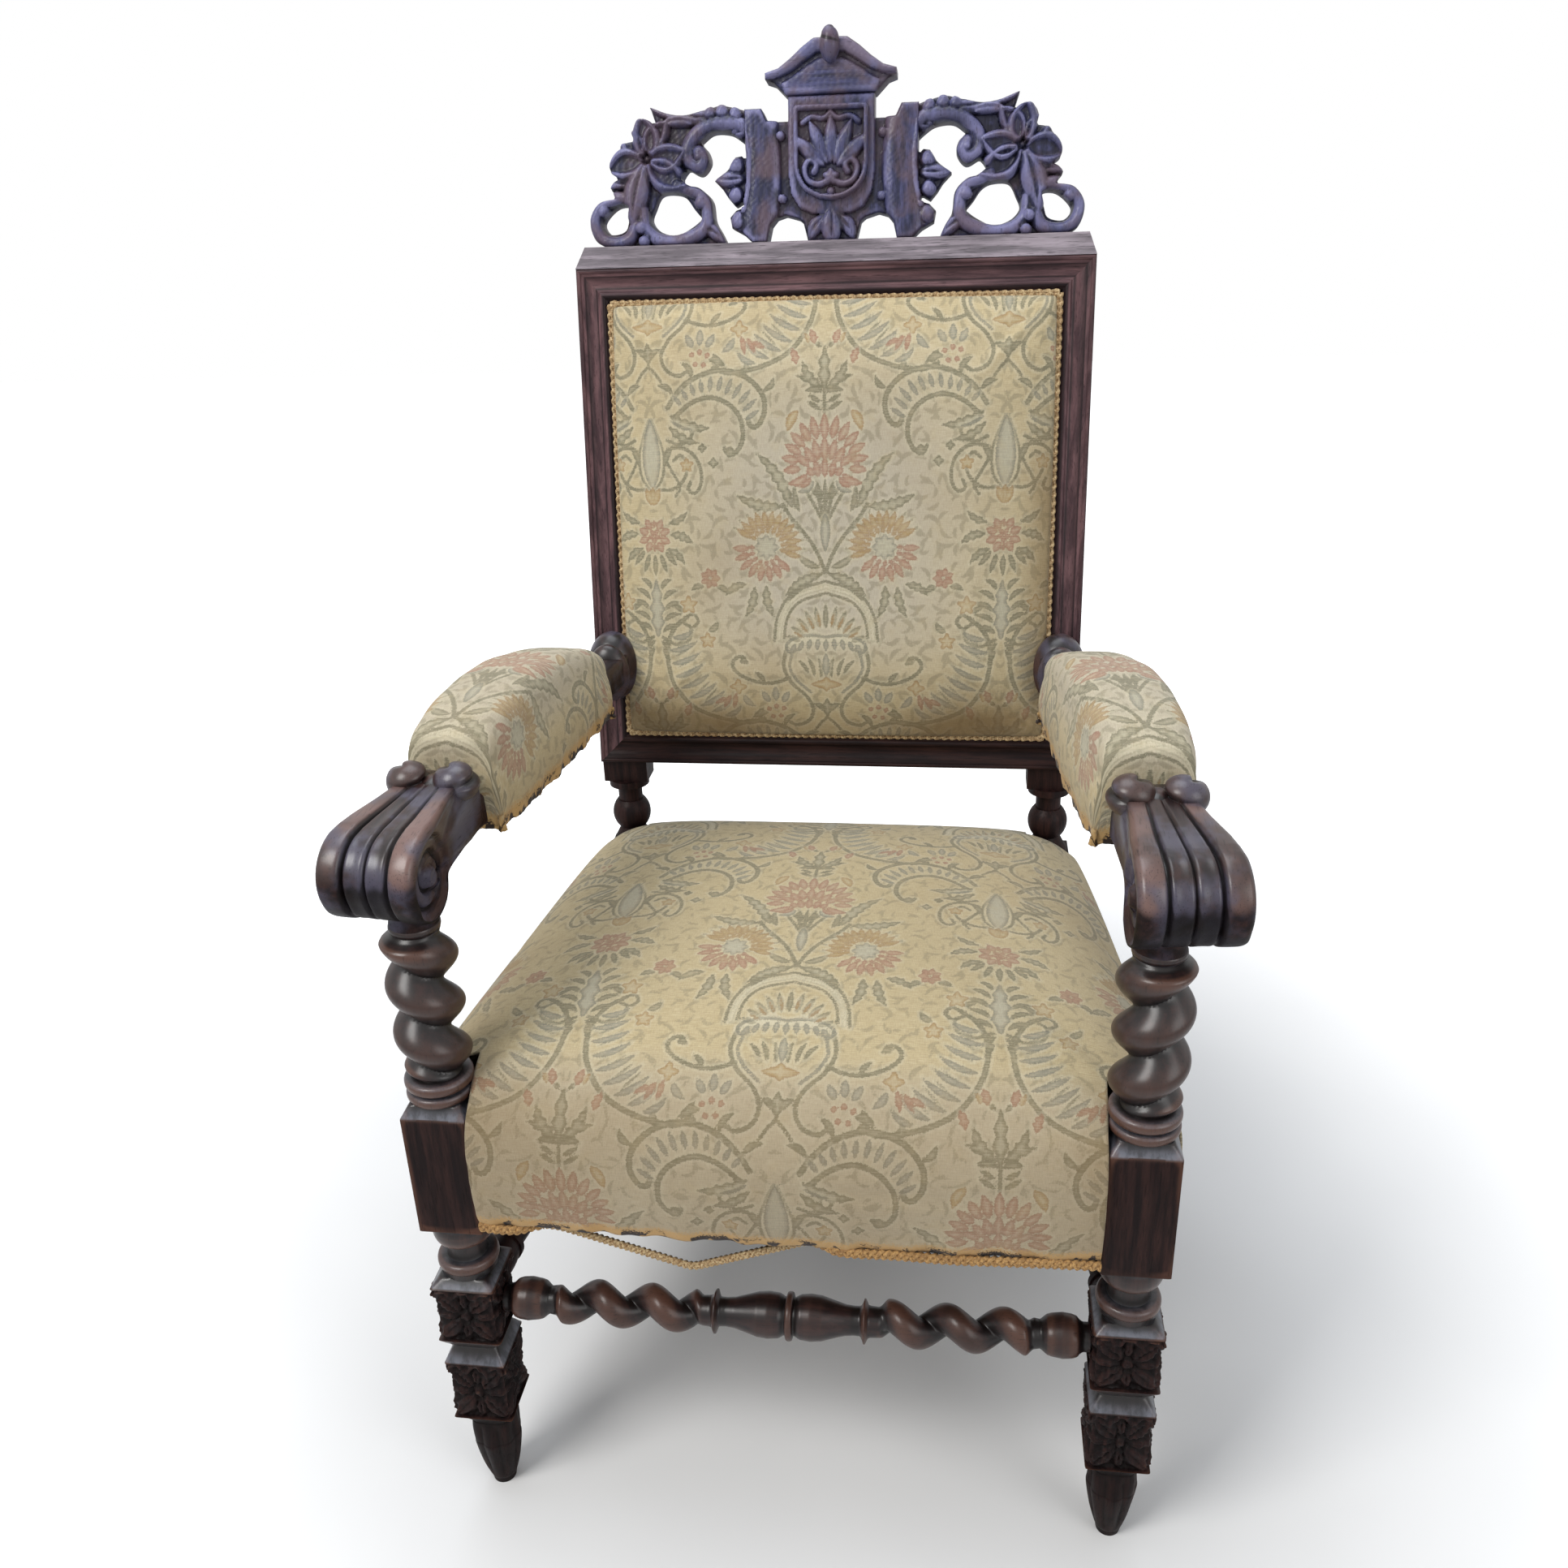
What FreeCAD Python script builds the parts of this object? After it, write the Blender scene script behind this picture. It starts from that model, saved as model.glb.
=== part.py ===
import FreeCAD, Part
import math
import operator
import os
import types

import Sketcher

Vector = FreeCAD.Vector

# Driving dimensions: millimetres, with angles in degrees and counts as whole numbers.
SIZES = (
    # Plan of the frame
    ("front_leg_spacing", 610.0),
    ("rear_leg_spacing", 505.0),
    ("leg_depth", 533.0),
    ("cut_overrun", 40.0),
    ("soft_clearance", 0.3),
    # Front leg
    ("block_side", 60.0),
    ("block_bottom", 345.0),
    ("block_top", 470.0),
    ("stop_height", 12.0),
    ("stop_side", 46.0),
    ("base_ring_radius", 28.0),
    ("base_ring_height", 9.0),
    ("twist_bottom", 504.0),
    ("twist_pitch", 48.0),
    ("twist_strand_radius", 24.5),
    ("twist_offset", 8.0),
    ("leg_neck_radius", 20.0),
    ("leg_neck_height", 8.0),
    ("leg_tenon_radius", 11.0),
    ("leg_tenon_length", 26.0),
    ("cup_radius", 23.0),
    ("cup_bulge", 6.0),
    ("cup_bottom", 321.0),
    ("cove_radius", 19.0),
    ("collar_radius", 26.0),
    ("collar_top", 301.0),
    ("collar_bottom", 290.0),
    ("carved_side", 62.0),
    ("carved_top", 275.0),
    ("carved_bottom", 212.0),
    ("carved_stop_height", 9.0),
    ("carved_stop_side", 46.0),
    ("waist_side", 44.0),
    ("waist_height", 197.0),
    ("foot_block_side", 60.0),
    ("foot_block_top", 181.0),
    ("foot_block_bottom", 110.0),
    ("toe_top", 93.0),
    ("toe_top_side", 40.0),
    ("toe_radius", 23.0),
    ("toe_swell", 64.0),
    ("toe_tip_radius", 11.5),
    # Rear leg and back stile
    ("rear_block_side", 53.0),
    ("rear_foot_side", 38.0),
    ("baluster_cap_bottom", 556.0),
    ("baluster_step_radius", 24.0),
    ("baluster_neck_radius", 14.5),
    ("baluster_bulb_radius", 16.0),
    ("baluster_bulb_bulge", 7.0),
    ("baluster_bulb_height", 36.0),
    ("baluster_ring_radius", 22.0),
    ("baluster_ring_height", 8.0),
    ("back_bottom", 585.0),
    ("back_height", 555.0),
    ("back_width", 558.0),
    ("back_rake", 8.77),
    ("back_set_forward", 26.0),
    ("stile_width", 53.0),
    ("stile_depth", 36.0),
    ("moulding_width", 34.0),
    ("moulding_depth", 10.0),
    ("moulding_bead", 5.0),
    ("moulding_cove", 4.0),
    # Seat rails
    ("rail_height", 88.0),
    ("rail_thickness", 24.0),
    ("rail_setback", 10.0),
    ("rail_tenon_thickness", 10.0),
    ("rail_tenon_height", 54.0),
    ("rail_tenon_length", 22.0),
    ("corner_block_bite", 1.0),
    ("corner_block_thickness", 20.0),
    ("corner_block_height", 44.0),
    # Stretchers
    ("stretcher_height", 243.0),
    ("stretcher_tenon_radius", 9.0),
    ("stretcher_tenon_length", 15.0),
    ("stretcher_ring_radius", 22.0),
    ("stretcher_ring_width", 6.0),
    ("stretcher_bulb_radius", 14.0),
    ("stretcher_bulb_bulge", 7.0),
    ("stretcher_bulb_length", 50.0),
    ("stretcher_neck_radius", 13.0),
    ("stretcher_fillet_radius", 20.0),
    ("stretcher_fillet_place", 70.0),
    ("stretcher_fillet_width", 5.0),
    ("stretcher_twist_start", 82.0),
    ("stretcher_twist_end", 225.0),
    ("stretcher_twist_turns", 2.75),
    ("stretcher_strand_radius", 15.5),
    ("stretcher_twist_offset", 5.5),
    ("stretcher_barrel_radius", 18.0),
    ("stretcher_barrel_bulge", 2.0),
    ("stretcher_barrel_length", 34.0),
    ("side_spindle_radius", 15.0),
    ("side_spindle_swell", 4.0),
    # Cresting
    ("crest_base_height", 24.0),
    ("crest_base_hip", 7.0),
    ("crest_base_slope", 17.0),
    ("crest_front", 20.0),
    ("crest_depth", 26.0),
    ("cartouche_half_width", 126.0),
    ("cartouche_height", 143.0),
    ("wing_root", 92.0),
    ("wing_length", 176.0),
    ("wing_height", 141.0),
    ("pediment_half_width", 69.0),
    ("pediment_height", 54.0),
    ("pediment_overhang", 8.0),
    ("shield_half_width", 40.0),
    ("shield_bottom", 39.0),
    ("shield_drop", 37.0),
    ("shield_top", 133.0),
    ("shield_depth", 7.0),
    ("finial_radius", 4.5),
    ("finial_bulge", 6.0),
    ("finial_height", 38.0),
    ("finial_rise", 8.0),
    ("dowel_radius", 4.0),
    ("dowel_length", 32.0),
    # Arms
    ("arm_rear_offset", 0.5),
    ("arm_flare", 7.0),
    ("arm_thickness", 32.0),
    ("arm_rear_width", 42.0),
    ("arm_front_width", 58.0),
    ("hand_reach", 51.0),
    ("hand_radius", 40.0),
    ("hand_height", 704.0),
    ("hand_over_leg", 48.0),
    ("arm_drop", 14.0),
    ("hand_width", 80.0),
    ("hand_length", 96.0),
    ("knuckle_radius", 15.0),
    ("knuckle_length", 24.0),
    ("knuckle_spacing", 40.0),
    ("boss_end_radius", 9.0),
    ("boss_bulge", 14.0),
    ("boss_height", 102.0),
    ("boss_drop", 47.0),
    ("boss_offset", 3.0),
    ("boss_relief", 9.5),
    ("arm_dowel_radius", 6.0),
    ("arm_dowel_length", 50.0),
    ("arm_pad_front_gap", 28.0),
    ("arm_pad_length", 282.0),
    ("arm_pad_half_width", 43.0),
    ("arm_pad_drop", 6.0),
    ("arm_pad_rise", 110.0),
    ("arm_pad_side_bow", 4.0),
    # Seat upholstery
    ("web_thickness", 2.0),
    ("web_width", 50.0),
    ("web_count", 4.0),
    ("canvas_thickness", 3.0),
    ("spring_radius", 38.0),
    ("spring_wire_radius", 2.2),
    ("spring_turns", 4.0),
    ("spring_spread", 120.0),
    ("seat_hem", 362.0),
    ("seat_crown", 534.0),
    ("seat_side_bow", 7.0),
    ("seat_swell", 4.0),
    ("braid_height", 10.0),
    ("braid_thickness", 7.0),
    ("braid_peel_left", -222.0),
    ("braid_peel_right", 34.0),
    ("loose_braid_diameter", 7.0),
    ("tack_head_radius", 4.0),
    ("tack_head_height", 1.2),
    ("tack_shank_radius", 1.0),
    ("tack_shank_length", 11.0),
    # Back upholstery
    ("back_braid_width", 5.0),
    ("back_braid_height", 8.0),
    ("back_pad_crown", 30.0),
    ("back_pad_side_bow", 2.0),
    ("back_cover_margin", 20.0),
    ("back_cover_thickness", 2.0),
)

# Outlines as shares of the sizes that they follow.
CARTOUCHE_SHARES = (
    (0.365, 1.0), (0.365, 0.832), (0.54, 0.832), (0.587, 0.923), (0.73, 0.923), (0.73, 0.566),
    (0.825, 0.622), (0.889, 0.531), (1.0, 0.44), (0.905, 0.357), (0.841, 0.273), (0.746, 0.3),
    (0.873, 0.23), (0.889, 0.133), (0.794, 0.063), (0.683, 0.0), (0.556, 0.0), (0.508, 0.175),
    (0.397, 0.21), (0.286, 0.168), (0.246, 0.189), (0.206, 0.0),
)
PEDIMENT_SHARES = (
    (0.0, 1.0), (0.29, 0.96), (0.49, 0.74), (0.72, 0.48), (1.0, 0.39), (1.0, 0.3), (0.86, 0.24), (0.68, 0.0),
)
# The wing's edge as one run between each two sharp corners, and its voids.
WING_RUN_SHARES = (
    ((0.0, 0.936), (0.045, 0.957), (0.159, 0.986), (0.261, 0.95), (0.358, 0.922), (0.472, 0.936),
     (0.591, 0.993)),
    ((0.591, 0.993), (0.562, 0.887), (0.545, 0.837)),
    ((0.545, 0.837), (0.597, 0.894), (0.67, 0.901), (0.705, 0.837), (0.693, 0.759)),
    ((0.693, 0.759), (0.773, 0.73), (0.835, 0.631), (0.841, 0.539), (0.784, 0.489)),
    ((0.784, 0.489), (0.824, 0.475), (0.858, 0.433)),
    ((0.858, 0.433), (0.835, 0.39), (0.818, 0.348)),
    ((0.818, 0.348), (0.926, 0.319), (0.989, 0.206), (0.966, 0.064), (0.898, 0.0)),
    ((0.898, 0.0), (0.131, 0.0)),
    ((0.131, 0.0), (0.165, 0.085), (0.205, 0.177), (0.222, 0.319), (0.29, 0.404), (0.358, 0.426),
     (0.409, 0.475)),
    ((0.409, 0.475), (0.386, 0.518), (0.364, 0.546)),
    ((0.364, 0.546), (0.284, 0.504), (0.227, 0.582), (0.239, 0.667), (0.284, 0.73)),
    ((0.284, 0.73), (0.205, 0.794), (0.102, 0.787), (0.034, 0.738), (0.0, 0.688)),
    ((0.0, 0.688), (0.0, 0.936)),
)
WING_VOID_SHARES = (
    ((0.284, 0.191), (0.33, 0.255), (0.381, 0.34), (0.443, 0.376), (0.54, 0.369), (0.585, 0.277),
     (0.608, 0.191), (0.557, 0.113), (0.455, 0.078), (0.358, 0.128)),
    ((0.75, 0.206), (0.739, 0.291), (0.812, 0.298), (0.881, 0.241), (0.915, 0.17), (0.869, 0.099),
     (0.778, 0.121)),
)
CREST_DOWEL_SHARES = (0.3, 0.78)

# Crown of the seat: height from hem to crown, and how far the outline draws in, as shares of that height.
SEAT_CROWN_SHARES = (
    (0.0, 0.0), (0.28, -0.045), (0.56, -0.03), (0.74, 0.1), (0.88, 0.34), (0.96, 0.72), (1.0, 1.2),
)
# Crown of the back pad: how far forward, and how far the outline draws in, as shares of the crown.
BACK_CROWN_SHARES = (
    (0.0, 0.1), (0.34, 0.1), (0.68, 0.4), (0.9, 1.5), (1.0, 3.6),
)
# Arm pad stations: place along the pad, half width and height as shares of the pad's sizes.
ARM_PAD_SHARES = (
    (0.0, 0.86, 0.8), (0.06, 0.93, 0.88), (0.2, 0.98, 0.96), (0.45, 1.0, 1.0), (0.72, 0.92, 0.9),
    (0.93, 0.83, 0.74), (1.0, 0.79, 0.65),
)
ARM_PAD_SHOULDER_SHARE = 0.68

# Route of the loose braid: across the chair, and down from the middle of the fixed braid, in millimetres.
LOOSE_BRAID_ROUTE = (
    (-222.0, 0.0), (-203.0, 0.0), (-174.0, 10.0), (-138.0, 23.0), (-98.0, 34.0), (-62.0, 35.0),
    (-28.0, 24.0), (-6.0, 11.0), (15.0, 0.0), (34.0, 0.0),
)
ROUTE_BEND_SHARE = 0.45

# Sections per turn in a twist, and arcs per turn in a spring.
TWIST_STEPS = 8
SPRING_STEPS = 4
# A bound length shorter than this counts as lying on the sketch's axis.
ON_AXIS = 1e-6

OPERATIONS = {"+": operator.add, "-": operator.sub, "*": operator.mul, "/": operator.truediv}


class Measure:
    """A number together with the sheet expression that gives it."""

    def __init__(self, number, text):
        self.number = number
        self.text = text

    def __add__(self, other):
        return combined(self, "+", other)

    def __radd__(self, other):
        return combined(other, "+", self)

    def __sub__(self, other):
        return combined(self, "-", other)

    def __rsub__(self, other):
        return combined(other, "-", self)

    def __mul__(self, other):
        return combined(self, "*", other)

    def __rmul__(self, other):
        return combined(other, "*", self)

    def __truediv__(self, other):
        return combined(self, "/", other)

    def __neg__(self):
        return combined(0, "-", self)


def measure(value):
    """A plain number, or a measure, as a measure."""
    return value if isinstance(value, Measure) else Measure(float(value), repr(float(value)))


def combined(first, sign, second):
    """Two measures joined by an arithmetic sign."""
    first = measure(first)
    second = measure(second)
    number = OPERATIONS[sign](first.number, second.number)
    return Measure(number, f"({first.text} {sign} {second.text})")


def sine(angle):
    """Sine of an angle in degrees."""
    return Measure(math.sin(math.radians(angle.number)), f"sin({angle.text} * 1 deg)")


def cosine(angle):
    """Cosine of an angle in degrees."""
    return Measure(math.cos(math.radians(angle.number)), f"cos({angle.text} * 1 deg)")


def tangent(angle):
    """Tangent of an angle in degrees."""
    return Measure(math.tan(math.radians(angle.number)), f"tan({angle.text} * 1 deg)")


doc = FreeCAD.newDocument("bishops_chair")
sheet = doc.addObject("Spreadsheet::Sheet", "sizes")
for row, (alias, number) in enumerate(SIZES, start=1):
    sheet.set(f"A{row}", alias)
    sheet.set(f"B{row}", str(number))
    sheet.setAlias(f"B{row}", alias)
doc.recompute()
size = types.SimpleNamespace(
    **{alias: Measure(float(sheet.get(alias)), f"sizes.{alias}") for alias, number in SIZES}
)

# Places that several pieces share. The origin is on the floor, under the middle of the chair's box:
# the front of the hands and the top rear edge of the pediment are equally far from it.
crest_foot = size.back_height + size.crest_base_height
crest_rear = size.crest_front + size.crest_depth
pediment_top = crest_foot + size.cartouche_height + size.pediment_height
reach_behind_leg = (
    size.leg_depth - size.back_set_forward
    + pediment_top * sine(size.back_rake) + crest_rear * cosine(size.back_rake)
)
front_leg_x = -size.front_leg_spacing / 2
rear_leg_x = -size.rear_leg_spacing / 2
front_leg_y = (size.hand_reach - reach_behind_leg) / 2
rear_leg_y = front_leg_y + size.leg_depth
back_y = rear_leg_y - size.back_set_forward
back_edge = size.back_width / 2
stile_inner = back_edge - size.stile_width
stile_rear = size.moulding_depth + size.stile_depth
# The rails end with the braid under the hem.
rail_bottom = size.seat_hem - size.braid_height
rail_top = rail_bottom + size.rail_height
block_half = size.block_side / 2
rear_half = size.rear_block_side / 2
rail_outer = block_half - size.rail_setback
rear_rail_outer = rear_half - size.rail_setback
rail_inner = rail_outer - size.rail_thickness
rear_rail_inner = rear_rail_outer - size.rail_thickness
arm_rear_x = rear_leg_x - size.arm_rear_offset
# The hand sets the height of the arm, and of the leg under it.
arm_bottom = size.hand_height - size.arm_drop
leg_top = size.hand_height - size.hand_over_leg
twist_top = leg_top - size.leg_neck_height
twist_turns = (twist_top - size.twist_bottom) / size.twist_pitch
# The stile's front face at the height of the arm.
arm_rear_y = back_y + (arm_bottom - size.back_bottom) * tangent(size.back_rake)
# The hand's axis lies square to the flared arm, so its inner end is the foremost.
hand_front = size.hand_radius * cosine(size.arm_flare) + size.hand_width / 2 * sine(size.arm_flare)
hand_axis_y = front_leg_y - size.hand_reach + hand_front
hand_rear_y = hand_axis_y + size.hand_length


def bind(piece, **lengths):
    """Tie properties of a piece to the sheet."""
    for name, length in lengths.items():
        piece.setExpression(name, measure(length).text)


def stand(piece, x=0, y=0, z=0):
    """Tie the place of a piece to the sheet."""
    for name, length in (("x", x), ("y", y), ("z", z)):
        piece.setExpression(f"Placement.Base.{name}", measure(length).text)
    return piece


def turn(piece, axis, angle):
    """Turn a piece about an axis by a bound angle in degrees."""
    piece.Placement = FreeCAD.Placement(Vector(), FreeCAD.Rotation(axis, measure(angle).number))
    piece.setExpression("Placement.Rotation.Angle", measure(angle).text)


def lean(piece, x=0, up=0, behind=0, extra=0):
    """Set a piece in the raked frame of the back: across, up the back, and behind its front face."""
    turn(piece, Vector(1, 0, 0), extra - size.back_rake)
    rise = sine(size.back_rake)
    run = cosine(size.back_rake)
    return stand(piece, x, back_y + up * rise + behind * run, size.back_bottom + up * run - behind * rise)


def block(name, x, y, z):
    """A box between pairs of places along each axis."""
    piece = doc.addObject("Part::Box", name)
    bind(piece, Length=x[1] - x[0], Width=y[1] - y[0], Height=z[1] - z[0])
    return stand(piece, x[0], y[0], z[0])


def square_post(name, side, x, y, z):
    """A square post about an upright axis."""
    return block(name, (x - side / 2, x + side / 2), (y - side / 2, y + side / 2), z)


def skew_bar(name, front, rear, y, z):
    """A bar of even height whose ends span two different pairs of places across the chair."""
    piece = doc.addObject("Part::Wedge", name)
    bind(piece, Xmin=front[0], Xmax=front[1], X2min=rear[0], X2max=rear[1], Ymin=y[0], Ymax=y[1])
    bind(piece, Zmin=z[0], Zmax=z[1], Z2min=z[0], Z2max=z[1])
    return piece


def taper(name, low_side, high_side, x, y, z):
    """A square stop between two sides, about an upright axis."""
    piece = doc.addObject("Part::Wedge", name)
    low = low_side / 2
    high = high_side / 2
    bind(piece, Xmin=-low, Xmax=low, Zmin=-low, Zmax=low, Ymin=0, Ymax=z[1] - z[0])
    bind(piece, X2min=-high, X2max=high, Z2min=-high, Z2max=high)
    turn(piece, Vector(1, 0, 0), 90)
    return stand(piece, x, y, z[0])


def rod(name, radius, length, x, y, z, direction=Vector(0, 0, 1)):
    """A round bar from a point along a direction."""
    piece = doc.addObject("Part::Cylinder", name)
    bind(piece, Radius=radius, Height=length)
    piece.Placement = FreeCAD.Placement(Vector(), FreeCAD.Rotation(Vector(0, 0, 1), direction))
    return stand(piece, x, y, z)


def fused(name, pieces):
    """Several shapes as one solid."""
    piece = doc.addObject("Part::MultiFuse", name)
    piece.Shapes = pieces
    return piece


def cut(name, base, tools):
    """A shape with others taken out of it."""
    piece = doc.addObject("Part::Cut", name)
    piece.Base = base
    piece.Tool = tools[0] if len(tools) == 1 else compound(f"{name}_tools", tools)
    return piece


def compound(name, pieces):
    """Separate solids kept together."""
    piece = doc.addObject("Part::Compound", name)
    piece.Links = pieces
    return piece


def mirrored(name, source, normal=Vector(1, 0, 0)):
    """The mirror twin of a piece."""
    piece = doc.addObject("Part::Mirroring", name)
    piece.Source = source
    piece.Normal = normal
    return piece


def shaped(name, shape):
    """A piece with a shape worked out from the sheet's sizes."""
    piece = doc.addObject("Part::Feature", name)
    piece.Shape = shape
    return piece


def turned(name, outline):
    """A lathe-turned body about its own Z axis.

    Each outline entry is a radius, a height and, if the stretch that leads to it is round, its bulge.
    """
    body = doc.addObject("PartDesign::Body", name)
    sketch = body.newObject("Sketcher::SketchObject", f"{name}_profile")
    plane = [item for item in body.Origin.OriginFeatures if item.Role == "XZ_Plane"][0]
    sketch.AttachmentSupport = [(plane, "")]
    sketch.MapMode = "FlatFace"
    points = [(measure(0), measure(outline[0][1]), None)]
    for entry in outline:
        bulge = entry[2] if len(entry) > 2 else None
        points.append((measure(entry[0]), measure(entry[1]), bulge))
    points.append((measure(0), measure(outline[-1][1]), None))
    starts = []
    ends = []
    for first, second in zip(points, points[1:] + points[:1]):
        start, end = add_stretch(sketch, first, second)
        starts.append(start)
        ends.append(end)
    for end, start, point in zip(ends[-1:] + ends[:-1], starts, points):
        sketch.addConstraint(Sketcher.Constraint("Coincident", *end, *start))
        pin(sketch, start, point)
    feature = body.newObject("PartDesign::Revolution", f"{name}_turning")
    feature.Profile = sketch
    feature.ReferenceAxis = (sketch, ["V_Axis"])
    feature.Angle = 360
    return body


def add_stretch(sketch, first, second):
    """Add the straight or round stretch between two outline points, and give its start and end."""
    begin = Vector(first[0].number, first[1].number, 0)
    finish = Vector(second[0].number, second[1].number, 0)
    bulge = second[2]
    if bulge is None:
        geometry = sketch.addGeometry(Part.LineSegment(begin, finish), False)
        return (geometry, 1), (geometry, 2)
    across = second[0] - first[0]
    along = second[1] - first[1]
    chord = finish - begin
    outward = Vector(chord.y, -chord.x, 0).normalize()
    middle = (begin + finish) * 0.5 + outward * measure(bulge).number
    geometry = sketch.addGeometry(Part.Arc(begin, middle, finish), False)
    radius = ((across * across + along * along) / 4 + bulge * bulge) / (bulge * 2)
    if radius.number < 0:
        radius = -radius
    index = sketch.addConstraint(Sketcher.Constraint("Radius", geometry, radius.number))
    sketch.setExpression(f"Constraints[{index}]", radius.text)
    runs_forward = sketch.getPoint(geometry, 1).distanceToPoint(begin) < ON_AXIS
    return ((geometry, 1), (geometry, 2)) if runs_forward else ((geometry, 2), (geometry, 1))


def pin(sketch, corner, point):
    """Tie a sketch point to its radius and height."""
    for kind, length, axis in (("DistanceX", point[0], -2), ("DistanceY", point[1], -1)):
        if abs(length.number) < ON_AXIS:
            sketch.addConstraint(Sketcher.Constraint("PointOnObject", *corner, axis))
            continue
        index = sketch.addConstraint(Sketcher.Constraint(kind, -1, 1, *corner, length.number))
        sketch.setExpression(f"Constraints[{index}]", length.text)


def twist(name, strand, offset, turns, bottom, top):
    """A barley twist about Z: a round section whose centre circles the axis, easing in and out."""
    count = max(4, round(turns.number * TWIST_STEPS))
    wires = []
    for step in range(count + 1):
        share = step / count
        ease = min(1.0, 2.0 * min(step, count - step) / (TWIST_STEPS / 2))
        angle = 2.0 * math.pi * turns.number * share
        reach = offset.number * ease
        height = bottom.number + (top.number - bottom.number) * share
        centre = Vector(reach * math.cos(angle), reach * math.sin(angle), height)
        wires.append(Part.Wire(Part.makeCircle(strand.number, centre)))
    return shaped(name, Part.makeLoft(wires, True, False))


def face_of(edges):
    """A flat face inside a closed run of edges."""
    return Part.Face(Part.Wire(edges))


def polygon_edges(points):
    """Straight edges round a closed list of points."""
    return [Part.makeLine(start, end) for start, end in zip(points, points[1:] + points[:1])]


def on_back(x, up, behind=0.0):
    """A point in the back's own frame, before it is raked."""
    return Vector(x, behind, up)


# Front leg and arm support, one post from toe to arm.
def make_front_leg():
    """The left front leg before its mortises are cut."""
    x, y = front_leg_x, front_leg_y
    stop_top = size.block_top + size.stop_height
    ring_top = stop_top + size.base_ring_height
    upper_ring = size.twist_bottom - ring_top
    upper = turned("leg_upper_turning", [
        (size.stop_side / 2, stop_top),
        (size.base_ring_radius, stop_top),
        (size.base_ring_radius, ring_top, size.base_ring_height / 4),
        (size.leg_neck_radius, ring_top),
        (size.leg_neck_radius, ring_top + upper_ring / 4),
        (size.base_ring_radius, ring_top + upper_ring / 4),
        (size.base_ring_radius, size.twist_bottom, upper_ring / 4),
    ])
    top = turned("leg_top_turning", [
        (size.leg_neck_radius, twist_top),
        (size.leg_neck_radius, leg_top, (leg_top - twist_top) / 4),
        (size.leg_tenon_radius, leg_top),
        (size.leg_tenon_radius, leg_top + size.leg_tenon_length),
    ])
    carved_stop_top = size.carved_top + size.carved_stop_height
    lower = turned("leg_lower_turning", [
        (size.collar_radius, carved_stop_top),
        (size.collar_radius, size.collar_bottom),
        (size.collar_radius, size.collar_top, (size.collar_top - size.collar_bottom) / 4),
        (size.cove_radius, size.collar_top),
        (size.cove_radius, size.cup_bottom),
        (size.cup_radius, size.cup_bottom),
        (size.cup_radius, size.block_bottom, size.cup_bulge),
    ])
    toe = turned("leg_toe_turning", [
        (size.toe_tip_radius, 0),
        (size.toe_radius, size.toe_swell),
        (size.toe_top_side / 2, size.toe_top),
    ])
    for body in (upper, top, lower, toe):
        stand(body, x, y, 0)
    strands = twist(
        "leg_twist", size.twist_strand_radius, size.twist_offset, twist_turns,
        size.twist_bottom, twist_top,
    )
    stand(strands, x, y, 0)
    seat_block_z = (size.block_bottom, size.block_top)
    carved_z = (size.carved_bottom, size.carved_top)
    foot_z = (size.foot_block_bottom, size.foot_block_top)
    squares = [
        square_post("leg_seat_block", size.block_side, x, y, seat_block_z),
        square_post("leg_carved_block", size.carved_side, x, y, carved_z),
        square_post("leg_foot_block", size.foot_block_side, x, y, foot_z),
    ]
    stops = (
        ("leg_seat_stop", size.block_side, size.stop_side, size.block_top, stop_top),
        ("leg_carved_stop", size.carved_side, size.carved_stop_side, size.carved_top, carved_stop_top),
        ("leg_waist_upper", size.waist_side, size.carved_side, size.waist_height, size.carved_bottom),
        ("leg_waist_lower", size.foot_block_side, size.waist_side, size.foot_block_top, size.waist_height),
        ("leg_foot_stop", size.toe_top_side, size.foot_block_side, size.toe_top, size.foot_block_bottom),
    )
    for name, low_side, high_side, low, high in stops:
        squares.append(taper(name, low_side, high_side, x, y, (low, high)))
    return fused("front_leg_whole", [upper, top, lower, toe, strands] + squares)


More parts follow.
